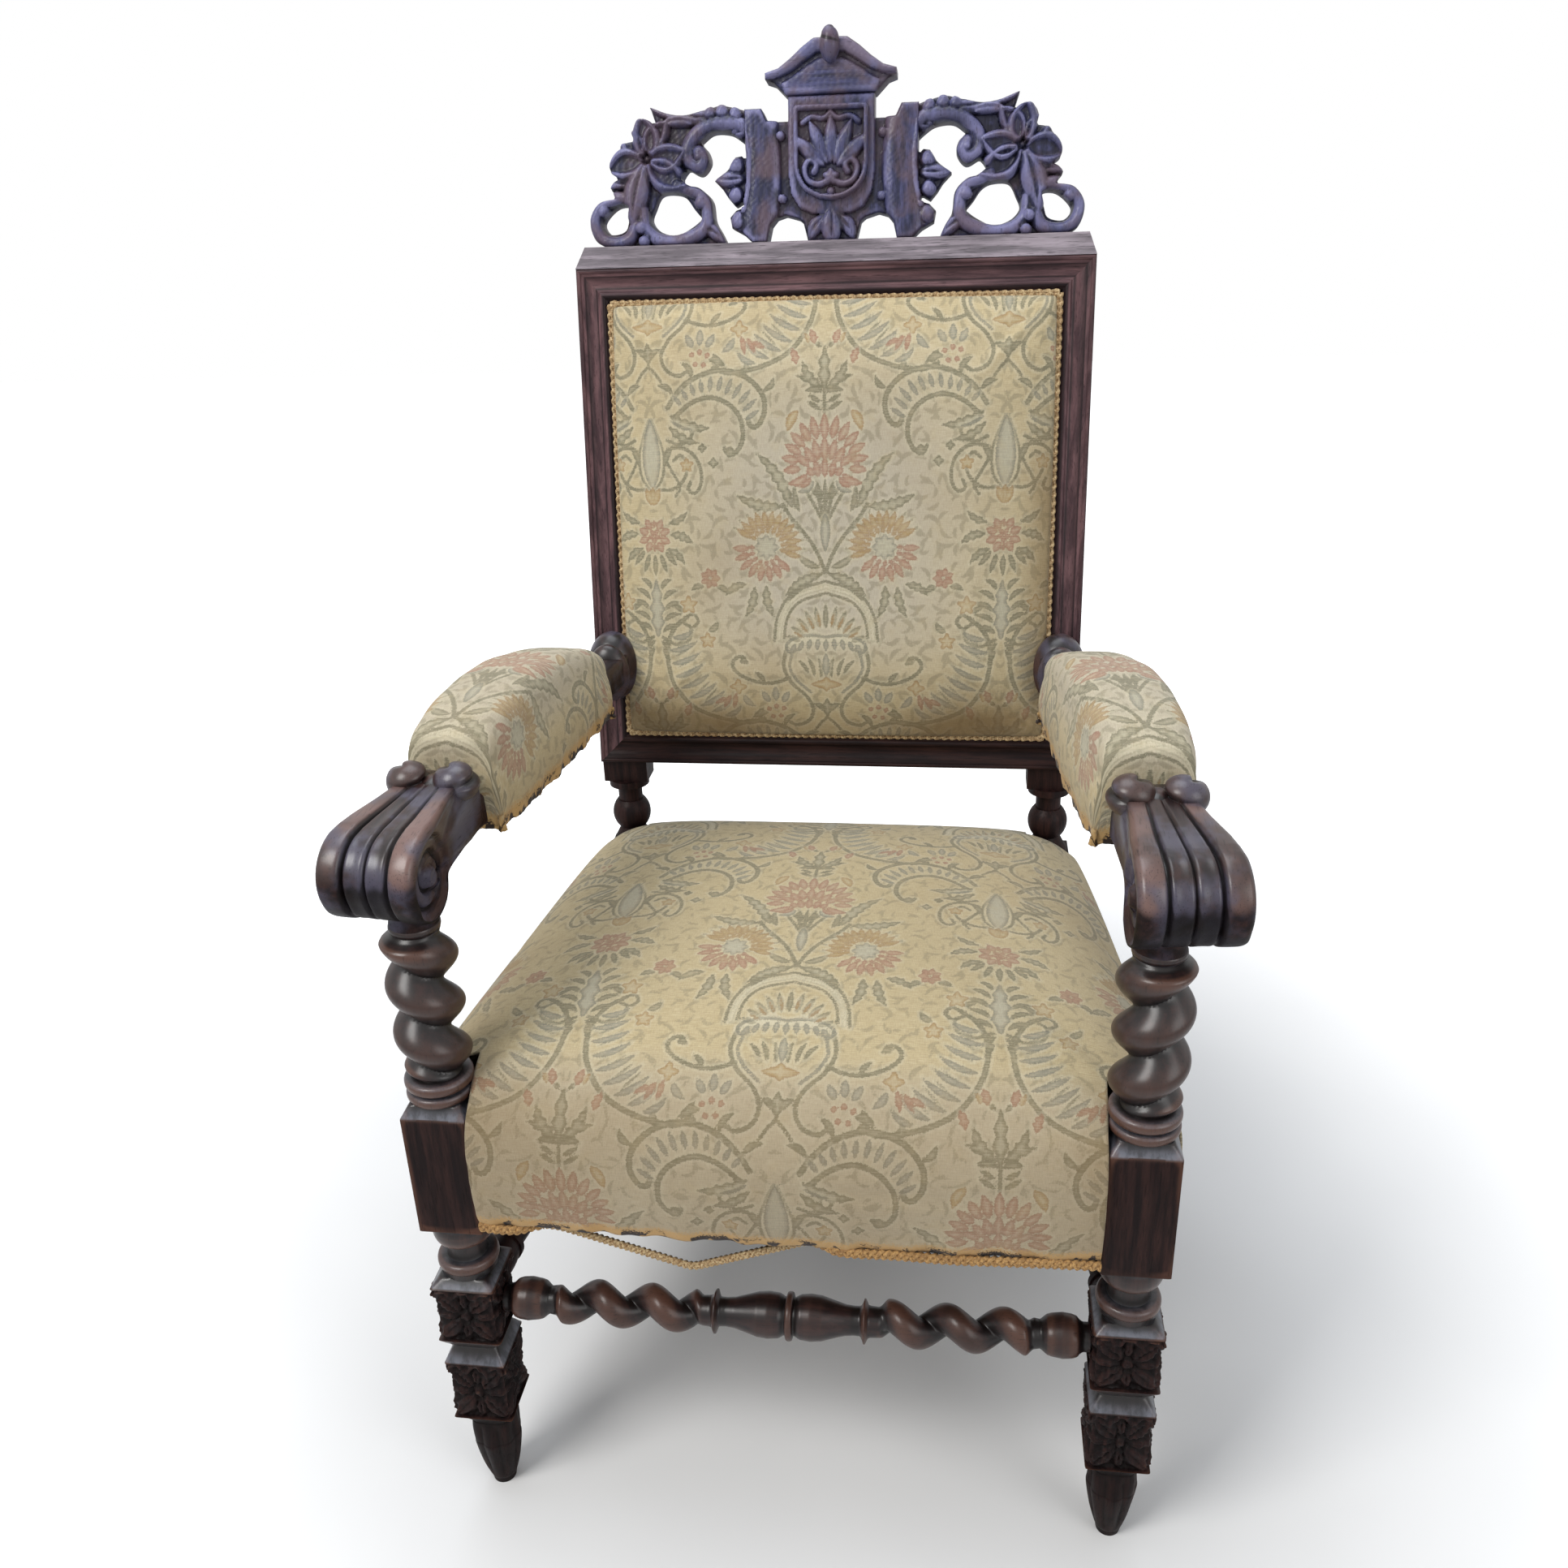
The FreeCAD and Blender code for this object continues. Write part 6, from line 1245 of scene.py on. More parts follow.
class CHAIR_OT_seat_pad(bpy.types.Operator):
    """Domed seat in brocade, its cover carried down over the rails between the posts"""

    bl_idname = "chair.seat_pad"
    bl_label = "Seat Pad"

    hem_z, crown_z = 362, 534
    # How far in from the hem line, and how far below the crown, from the hem to the flat of the seat.
    profile = (
        (0, 172), (-5.5, 150), (-7.7, 124), (-7.5, 98), (-5, 76), (3, 58), (17, 45),
        (34, 32.5), (58, 21.5), (88, 13.5), (124, 7), (164, 2.6), (206, 0),
    )
    front_y, rear_y = -339.889, 249.611
    front_half, rear_half = 335, 285.5
    # Where along the depth those half widths hold.
    half_places = (-280, 196)
    # Where the cover is cut round the posts: in from the front and rear edges, and in from the sides.
    front_cut, rear_cut, side_cut = 60.4, 53.4, 60.5
    # How far the edges bow out, and the middle and half length of the sides' bow.
    bow, bow_middle, bow_half = 7, -30, 295
    # The pattern: moved across and back, and widened a little by the pull of the stuffing.
    pattern_across, pattern_back, pattern_pull = 1.4, 36, 1.03
    # Step between points as a share of the cloth step. The trial of the stuffing: its step, the cap of the
    # shift, and how far above the hem points are held.
    fine_share, trial_step, trial_cap, trial_hem = 1.2, 9.5, 7, 14

    def side_line(self, step, cut):
        """Insets, drops and runs from the crown to the hem, even along the cloth, with a point at the cut."""
        line = smooth_line(self.profile, 0.5)[::-1]
        run = run_along(line)
        falling = np.minimum.accumulate(line[:, 0])
        at_cut = np.interp(-cut, -falling, run)
        above = np.linspace(0, at_cut, int(at_cut / step) + 1)
        below = np.linspace(at_cut, run[-1], int((run[-1] - at_cut) / step) + 1)[1:]
        places = np.concatenate([above, below])
        return np.interp(places, run, line[:, 0]), np.interp(places, run, line[:, 1]), places, len(above) - 1

    def cover(self, step):
        """Points of the cover: each side falls by the profile, and two falls join as a right triangle's."""
        side_in, side_drop, side_run, side_at = self.side_line(step, self.side_cut)
        front_in, front_drop, front_run, front_at = self.side_line(step, self.front_cut)
        rear_in, rear_drop, rear_run, rear_at = self.side_line(step, self.rear_cut)
        flat = self.profile[-1][0]
        flat_front, flat_rear = self.front_y + flat, self.rear_y - flat
        middle_y = np.linspace(flat_front, flat_rear, int((flat_rear - flat_front) / step) + 1)[1:-1]
        y = np.concatenate([(self.front_y + front_in)[::-1], middle_y, self.rear_y - rear_in])
        y_drop = np.concatenate([front_drop[::-1], 0 * middle_y, rear_drop])
        row_key = np.concatenate([flat_front - front_run[::-1], middle_y, flat_rear + rear_run])
        half = np.interp(y, self.half_places, (self.front_half, self.rear_half))[:, None]
        share = np.linspace(-1, 1, int((self.front_half - flat) * 2 / step) + 1)[1:-1]
        middle_x = share[None, :] * (half - flat)
        outer = half - side_in[None, :]
        x = np.concatenate([-outer[:, ::-1], middle_x, outer], 1)
        x_drop = np.concatenate([side_drop[::-1], 0 * share, side_drop])[None, :]
        edge = half - flat
        cloth_x = np.concatenate([-(edge + side_run[None, ::-1]), middle_x, edge + side_run[None, :]], 1)
        y = y[:, None]
        x_bow = np.clip(self.bow * (1 - ((y - self.bow_middle) / self.bow_half) ** 2), 0, self.bow)
        x = x + np.sign(x) * x_bow * fade(np.abs(x) / half, 0.45, 0.9)
        y_bow = self.bow * np.clip(1 - (x / self.front_half) ** 2, 0, 1)
        y = y + y_bow * np.where(y < 0, -1, 1) * fade(np.abs(y), 120, 300)
        z = self.crown_z - np.hypot(x_drop, y_drop[:, None])
        points = np.stack(np.broadcast_arrays(x, y, z), -1)
        rows, columns = points.shape[:2]
        row_low, row_high = len(front_in) - 1 - front_at, rows - len(rear_in) + rear_at
        column_low, column_high = len(side_in) - 1 - side_at, columns - len(side_in) + side_at
        row = np.arange(rows - 1)[:, None]
        column = np.arange(columns - 1)[None, :]
        kept = ((row >= row_low) & (row < row_high)) | ((column >= column_low) & (column < column_high))
        used, quads = np.unique(grid_quads(rows, columns)[kept.ravel()], return_inverse=True)
        return points, cloth_x, row_key, used, quads.reshape(-1, 4)

    def execute(self, context):
        settings = settings_of(context)
        points, cloth_x, row_key, used, quads = self.cover(settings.cloth_step * self.fine_share)
        coarse, coarse_x, coarse_rows, coarse_used, coarse_quads = self.cover(self.trial_step)
        uses = np.bincount(coarse_quads.ravel(), minlength=len(coarse_used))
        spots = coarse.reshape(-1, 3)[coarse_used]
        pinned = np.nonzero((uses < 4) | (spots[:, 2] < self.hem_z + self.trial_hem))[0]
        shift = np.zeros((coarse.size // 3, 3))
        shift[coarse_used] = stuffed(spots, coarse_quads, pinned, settings.stuffing, self.trial_cap)
        shift = shift.reshape(coarse.shape)
        points = points + finer(shift, coarse_rows, coarse_x[0], row_key, cloth_x[0])
        x, y, z = np.moveaxis(points, -1, 0)
        low = fade(z, self.hem_z + 55, self.hem_z + 4)
        front = fade(-y, 270, 320)
        along = np.where(np.abs(y) > 200, x, y)
        pucker = ripple(along, (47, 0.9, 0.4), (29, 0.7, 1.9), (81, 0.8, 2.6)) * low
        slack = ripple(z, (23, 0.35, 0.5), (37, 0.45, 1.1)) * fade(z, 480, 440)
        slack = slack * (0.6 + 0.4 * np.sin(x / 70))
        drawn = ripple(x, (61, 0.9, 0.2), (23, 0.5, 1)) * low
        points = np.stack([x, y - (pucker + slack) * front, z + drawn], -1)
        hem = np.where(low > 0, z - self.hem_z, FAR)
        # Darker towards the front face and the sides.
        darkening = 0.08 + 0.40 * fade(-y, 270, 340) + 0.18 * fade(np.abs(x), 230, 320)
        across = (cloth_x + self.pattern_across) * self.pattern_pull
        up = np.broadcast_to(row_key[:, None], across.shape) + self.pattern_back
        fields = cloth_fields(across, up, hem, darkening, 0.55 * front, 0.6)
        fields = {name: values[used] for name, values in fields.items()}
        made = new_cover("seat_pad_cover", points.reshape(-1, 3)[used], quads, "seat_pad", fields)
        return {"FINISHED"}


class CHAIR_OT_arm_pads(bpy.types.Operator):
    """Stuffed arm rests in brocade, their ends turned down"""

    bl_idname = "chair.arm_pads"
    bl_label = "Arm Pads"

    front_y, length, hem_z, rise, half_width = -192.3, 282, 684, 110, 43
    # Place along the pad, half width and height as shares.
    stations = (
        (0, 0.90, 0.82), (0.03, 0.94, 0.88), (0.08, 0.98, 0.93), (0.2, 1.02, 0.99), (0.45, 1.05, 1.03),
        (0.72, 0.97, 0.94), (0.93, 0.88, 0.79), (1, 0.84, 0.70),
    )
    # Girth from hem to hem, height of the shoulder as a share, and how far sides, ends and the whole bow out.
    girth, shoulder_share = 260, 0.68
    side_bow, end_bow, whole_bow = 4, 5, 3
    pattern_along = 150
    # The trial of the stuffing: step, cap of the shift, height above the hem that is held, share of pressure.
    trial_step, trial_cap, trial_hem, trial_stuffing = 8, 4, 6, 0.7

    def section(self, half, crown, count):
        """Across and up from hem to hem: bowed sides, and a round crown above a shoulder, evenly spaced."""
        half, crown = half[:, None], crown[:, None]
        turn = np.linspace(0, np.pi, 121)[None, :]
        shoulder = self.shoulder_share * crown
        dome_x = half * np.sign(np.cos(turn)) * np.abs(np.cos(turn)) ** 0.58
        dome_z = shoulder + (crown - shoulder) * np.sin(turn) ** 0.66
        side = np.linspace(0, 1, 40, endpoint=False)[None, :]
        side_x = half + self.side_bow * np.sin(np.pi * side)
        side_z = shoulder * side
        x = np.concatenate([side_x, dome_x, -side_x[:, ::-1]], 1)
        z = np.concatenate([side_z, dome_z, side_z[:, ::-1]], 1)
        run = np.cumsum(np.hypot(np.diff(x, axis=1), np.diff(z, axis=1)), 1)
        run = np.concatenate([np.zeros((len(half), 1)), run], 1)
        even = np.linspace(0, 1, count)
        across, up = (
            np.stack([np.interp(even * reach[-1], reach, line) for reach, line in zip(run, lines)])
            for lines in (x, z)
        )
        return across, up, even[None, :] * run[:, -1:] - run[:, -1:] / 2

    def cover(self, step):
        """Points from the hem of the front end over the top to the hem of the rear end."""
        line = smooth_line(self.stations, 0.01)
        along = np.linspace(0, 1, int(self.length / step) + 1)
        half = np.interp(along, line[:, 0], line[:, 1]) * self.half_width
        crown = np.interp(along, line[:, 0], line[:, 2]) * self.rise
        count = int(self.girth / step)
        across, up, cloth_x = self.section(half, crown, count)
        y = np.broadcast_to((self.front_y + along * self.length)[:, None], across.shape)
        cloth_y = np.broadcast_to((along * self.length)[:, None], across.shape)
        ends = []
        for row, sign in ((0, -1), (-1, 1)):
            tall = up[row].max()
            fall = np.linspace(0, 1, int(tall / step) + 1)[1:, None]
            rounded = 1 - (across[row] / half[row]) ** 2 * 0.6
            swell = self.end_bow * np.sin(np.pi * np.sqrt(fall)) * rounded[None, :]
            inward = 1 - 0.05 * np.sin(np.pi * fall)
            end = (
                across[row] * inward, y[row] + sign * swell, up[row] * (1 - fall), across[row],
                cloth_y[row] + sign * fall * tall,
            )
            ends.append([np.broadcast_to(part, (len(fall), count)) for part in end])
        across, y, up, cloth_x, cloth_y = (
            np.concatenate([front[::-1], top, rear])
            for front, top, rear in zip(ends[0], (across, y, up, cloth_x, cloth_y), ends[1])
        )
        bowed = self.whole_bow * np.sin(np.pi * np.clip((y - self.front_y) / self.length, 0, 1))
        points = np.stack([arm_middle(y) + bowed - across, y, self.hem_z + up], -1)
        middle = points[:, count // 2]
        keys = np.concatenate([[0], np.cumsum(np.linalg.norm(np.diff(middle, axis=0), axis=1) + 0.01)])
        return points, cloth_x, cloth_y, keys / keys[-1], np.linspace(0, 1, count)

    def execute(self, context):
        settings = settings_of(context)
        points, cloth_x, cloth_y, row_key, column_key = self.cover(settings.cloth_step)
        coarse, _, _, coarse_rows, coarse_columns = self.cover(self.trial_step)
        spots = coarse.reshape(-1, 3)
        pinned = np.nonzero(spots[:, 2] < self.hem_z + self.trial_hem)[0]
        pressure = settings.stuffing * self.trial_stuffing
        shift = stuffed(spots, grid_quads(*coarse.shape[:2]), pinned, pressure, self.trial_cap)
        shift = shift.reshape(coarse.shape)
        points = points + finer(shift, coarse_rows, coarse_columns, row_key, column_key)
        x, y, z = np.moveaxis(points, -1, 0)
        low = fade(z, self.hem_z + 45, self.hem_z + 5)
        out = np.sign(x - arm_middle(y))
        pucker = ripple(y, (41, 0.8, 0.3), (23, 0.5, 1.2), (67, 0.8, 2))
        lumps = ripple(y, (90, 0.6, 0.8), (53, 0.4, 2.2)) * np.sin(x / 19) * (1 - low)
        z = z + lumps + low * ripple(y + x, (37, 0.6, 0), (11, 0.3, 0.7), (6.3, 0.25, 0.2))
        points = np.stack([x + out * pucker * low, y, z], -1)
        hem = np.where(low > 0, z - self.hem_z, FAR)
        # Darker towards the hem.
        darkening = 0.25 * fade(z, self.hem_z + 65, self.hem_z + 15)
        # Paler on top: bleaching, and painted top light.
        paling = 0.8 * fade(z, self.hem_z + 45, self.hem_z + 90)
        fields = cloth_fields(cloth_x, cloth_y - self.pattern_along, hem * 0.75, darkening, paling)
        quads = grid_quads(*points.shape[:2])
        for side, mirrored in SIDES:
            made = new_cover(f"arm_pad_{side}_cover", points, quads, f"arm_pad_{side}", fields, mirrored)
        return {"FINISHED"}


# Turned and carved oak.
def squared(angle, half, power):
    """Radius of a rounded square of a half width: a superellipse, round at power 2, sharp at a high one."""
    return half * (np.abs(np.cos(angle)) ** power + np.abs(np.sin(angle)) ** power) ** (-1 / power)


def barley(angle, place, pitch, strand, offset):
    """Radius of one thick strand wound about an axis: wide rounds with narrow grooves between them."""
    wave = np.cos(angle - 2 * np.pi * place / pitch)
    return strand + offset * (2 * ((1 + wave) / 2) ** 0.6 - 1)


def rosette(across, up, wide, tall):
    """Carved height of a square panel, 0 to 1: a round boss, four leaves to the corners, four between."""
    across = across / wide
    up = up / tall
    corner = burst_distance(across, up, (0, 0), 0.22, 1.28, -180, 180, 4, 0.30)
    side = burst_distance(across, up, (0, 0), 0.25, 0.95, -135, 225, 4, 0.17)
    boss = np.hypot(across, up) - 0.2
    shape = np.minimum(np.minimum(corner, side), boss)
    height = fade(shape, 0.10, -0.14)
    vein = np.minimum(np.abs(np.abs(across) - np.abs(up)), np.minimum(np.abs(across), np.abs(up)))
    height = height - 0.35 * fade(vein, 0.07, 0) * fade(boss, 0.02, 0.08)
    valance = up - 0.56 - 0.26 * np.cos(1.5 * np.pi * across) ** 2
    height = np.maximum(height, fade(valance, 0, 0.12) * (1 - 0.5 * fade(valance, 0.2, 0.34)))
    border = np.maximum(np.abs(across), np.abs(up))
    return np.clip(height, 0, 1) * fade(border, 1.04, 0.94) + 0.25 * fade(border, 0.88, 0.97)


def turned_shell(radius, place):
    """Points of a turned or carved bar about the z axis, and its faces, the ends closed by a middle point."""
    rows, columns = radius.shape
    angle = full_turn(columns)[None, :]
    points = np.stack(np.broadcast_arrays(radius * np.cos(angle), radius * np.sin(angle), place[:, None]), -1)
    ends = np.array([[0, 0, place[0]], [0, 0, place[-1]]])
    count = rows * columns
    ring = np.arange(columns)
    beside = (ring + 1) % columns
    low = np.stack([np.full(columns, count), beside, ring], -1)
    high = np.stack([np.full(columns, count + 1), ring + count - columns, beside + count - columns], -1)
    return np.concatenate([points.reshape(-1, 3), ends]), [grid_quads(rows, columns, True), low, high]


def new_pair(stem, points, faces, finish, fields, sharp):
    """The left and the right one of a pair of carved oak pieces."""
    for side, mirrored in SIDES:
        node = f"{stem}_{side}"
        new_piece(f"{node}_carved", points, faces, finish, node, fields, sharp, mirrored)


def relief_of(radius, rows, columns, gain):
    """How far each point stands proud of its surroundings, with the two end points added."""
    proud = np.clip((radius - blur(radius, rows, columns, True)) * gain, -1, 1)
    return np.concatenate([proud.ravel(), [0, 0]])


class CHAIR_OT_front_legs(bpy.types.Operator):
    """Front posts: toe, carved blocks, cup, seat block, rings and barley twist, handed left and right"""

    bl_idname = "chair.front_legs"
    bl_label = "Front Legs"

    # Low and high end, half width at each, power of the section at each, and bulge between them.
    runs = (
        (0, 8, 11.5, 13, 2, 2, 0), (8, 64, 13, 23, 2, 2, 1.5),
        (64, 93, 23, 20, 2, 4, 0), (93, 110, 20, 30, 4, 30, -2),
        (110, 181, 30, 30, 18, 18, 0),
        (181, 197, 30, 22, 30, 6, 0), (197, 212, 22, 31, 6, 30, 0),
        (212, 275, 31, 31, 18, 18, 0), (275, 284, 31, 23, 30, 8, 0),
        (284, 290, 26, 26, 2, 2, 0), (290, 301, 26, 26, 2, 2, 2.75),
        (301, 321, 19.5, 19, 2, 2, -1.5), (321, 345, 23, 23, 2, 2, 6),
        (345, 470, 30, 30, 40, 40, 0), (470, 482, 30, 23, 40, 10, 0),
        (482, 491, 28, 28, 2, 2, 2.25), (491, 494, 20, 20, 2, 2, 0),
        (494, 504, 28, 28, 2, 2, 2.5), (504, 648, 24.5, 24.5, 2, 2, 0),
        (648, 656, 20, 20, 2, 2, 2),
    )
    # Carved blocks by their low end, and the lobed toe from its sole to its neck.
    blocks = (110, 212)
    carving_depth, chip_depth = 5.5, 1
    toe_low, toe_high, toe_lobes, toe_depth = 8, 93, 4, 2.4
    # The twist: low end, pitch, half thickness of the strand, how far it winds out, run-in and core.
    twist_low, pitch, strand, offset, ease, core = 504, 48, 24.5, 8, 9, 21
    # Low and high end of the sloped tops of the blocks, and of the rings that take the painted sky reflection
    # too, with a share.
    ledges = ((181, 197), (275, 285), (470, 484))
    glinting_rings = ((284, 345, 0.3), (482, 504, 0.45))
    # Painted shade: the carving darkens from the first height down to the second, by this much.
    dark_high, dark_low, darkness = 300, 270, 0.42
    columns = 144

    def radius(self, step):
        """Heights and radii of the post, run by run."""
        angle = full_turn(self.columns)[None, :]
        heights, radii = [], []
        for low, high, first, last, first_power, last_power, bulge in self.runs:
            share = np.linspace(0.004, 0.996, max(3, int(round((high - low) / step))))[:, None]
            bulged = bulge * np.sqrt(np.clip(4 * share * (1 - share), 0, 1))
            half = first + (last - first) * share + bulged
            power = first_power * (last_power / first_power) ** share
            place = low + (high - low) * share
            radius = squared(angle, half, power)
            if low == self.twist_low:
                ease = fade(place, low, low + self.ease) * fade(place, high, high - self.ease)
                wound = barley(angle, place - low, self.pitch, self.strand, self.offset)
                radius = wound * ease + self.core * (1 - ease)
            if low in self.blocks:
                across = first * np.tan((angle + np.pi / 4) % (np.pi / 2) - np.pi / 4)
                tall = (high - low) / 2
                height = rosette(across, place - low - tall, first, tall)
                chips = np.sin(place / 2.3 + 3 * np.sin(angle * 5)) * np.sin(angle * 21 + place / 3.1)
                radius = radius - (self.carving_depth * (1 - height) + self.chip_depth * chips)
            if self.toe_low <= low < self.toe_high:
                lobes = np.abs(np.cos(angle * self.toe_lobes)) - 0.6
                swell = fade(place, self.toe_low, 34) * fade(place, self.toe_high, 80)
                radius = radius + self.toe_depth * lobes * swell
            heights.append(place.ravel())
            radii.append(radius)
        return np.concatenate(heights), np.concatenate(radii)

    def execute(self, context):
        place, radius = self.radius(settings_of(context).carving_step)
        place[0] = 0
        points, faces = turned_shell(radius, place)
        points = points + (FRONT_POST_X, FRONT_POST_Y, 0)
        height = points[:, 2]
        # Relief lowered towards the foot for painted shade.
        relief = relief_of(radius, 6, 4, 0.28) - self.darkness * fade(height, self.dark_high, self.dark_low)
        falling = np.append(fade(-np.gradient(radius, place, axis=0), 0.2, 0.7).ravel(), [0, 0])
        # Painted bluish sky reflection on the sloped ledges and rings where they face up, carried in the
        # polish field above 1.
        sky_glint = np.zeros_like(height)
        for low, high, share in self.glinting_rings:
            sky_glint = sky_glint + share * ((height > low) & (height < high))
        for low, high in self.ledges:
            sky_glint = np.maximum(sky_glint, fade(height, high, low) * (height > low - 1))
        sky_glint = sky_glint * falling
        polish = fade(height, 468, 474) + fade(height, 274, 278) * fade(height, 347, 343)
        polish = polish + fade(height, 180, 184) * fade(height, 214, 211)
        polish = np.where(sky_glint > 0, 1 + sky_glint, np.clip(polish, 0, 1))
        new_pair("front_leg", points, faces, "waxed_oak_posts", {"relief": relief, "polish": polish}, 50)
        return {"FINISHED"}


class CHAIR_OT_front_stretcher(bpy.types.Operator):
    """Front stretcher: a double bulb between two barley twists, handed left and right"""

    bl_idname = "chair.front_stretcher"
    bl_label = "Front Stretcher"

    reach, height, step, columns = 274, 243, 1.3, 72
    # Radius by distance from the middle, up to the twist, and beyond it.
    middle = (
        (0, 22), (2.4, 22), (3.2, 19), (4.2, 16.5), (5.6, 17.5), (10, 20), (20, 21),
        (30, 20), (42, 16.5), (52, 13.8), (60, 13), (66, 13.2), (67.4, 15), (69, 20),
        (71, 20), (72.6, 15), (75, 14), (82, 13.5),
    )
    outside = (
        (225, 13.5), (230, 12.6), (233, 15), (236, 17.4), (240, 18.6), (250, 20),
        (258, 19.2), (263, 17.6), (265, 15), (268, 13), (274, 13),
    )
    # The twist: ends, turns, half thickness of its strand, how far it winds out, run-in and first angle.
    twist_low, twist_high, turns, strand, offset, ease, start = 82, 225, 2.75, 13.6, 7.6, 10, 0.6

    def execute(self, context):
        low, high = self.twist_low, self.twist_high
        place = np.linspace(-self.reach, self.reach, int(2 * self.reach / self.step) | 1)
        far = np.abs(place)
        angle = full_turn(self.columns)[None, :]
        inner = np.interp(far, *zip(*self.middle))
        outer = np.interp(far, *zip(*self.outside))
        plain = np.where(far < (low + high) / 2, inner, outer)[:, None]
        turned = angle * np.sign(place)[:, None] + self.start
        wound = barley(turned, far[:, None] - low, (high - low) / self.turns, self.strand, self.offset)
        ease = (fade(far, low, low + self.ease) * fade(far, high, high - self.ease))[:, None]
        radius = wound * ease + plain * (1 - ease)
        points, faces = turned_shell(radius, place)
        points = np.stack([points[:, 2], FRONT_POST_Y + points[:, 0], self.height + points[:, 1]], -1)
        new_piece(
            "stretcher_front_turned", points, faces, "waxed_oak_stretcher", "stretcher_front",
            {"relief": relief_of(radius, 9, 6, 0.42)}, 60,
        )
        return {"FINISHED"}


def knob(centre, size, turns, deep):
    """Ball with a spiral cut about its upright axis."""
    rows, columns, pole = 40, 60, np.pi / 2 - 0.03
    tilt = np.linspace(-pole, pole, rows)[:, None]
    angle = full_turn(columns)[None, :]
    wind = (angle / (2 * np.pi) + (tilt / np.pi + 0.5) * turns) % 1
    cut = np.exp(-((wind - 0.5) / 0.14) ** 2) * fade(tilt, -0.2, 0.3) * fade(tilt, 1.45, 1.1)
    scale = 1 - deep * cut
    points = np.stack(np.broadcast_arrays(
        np.cos(tilt) * np.cos(angle) * scale, np.cos(tilt) * np.sin(angle) * scale, np.sin(tilt) * scale
    ), -1) * size + centre
    return points, tube_faces(rows, columns), 0.3 - 1.2 * cut


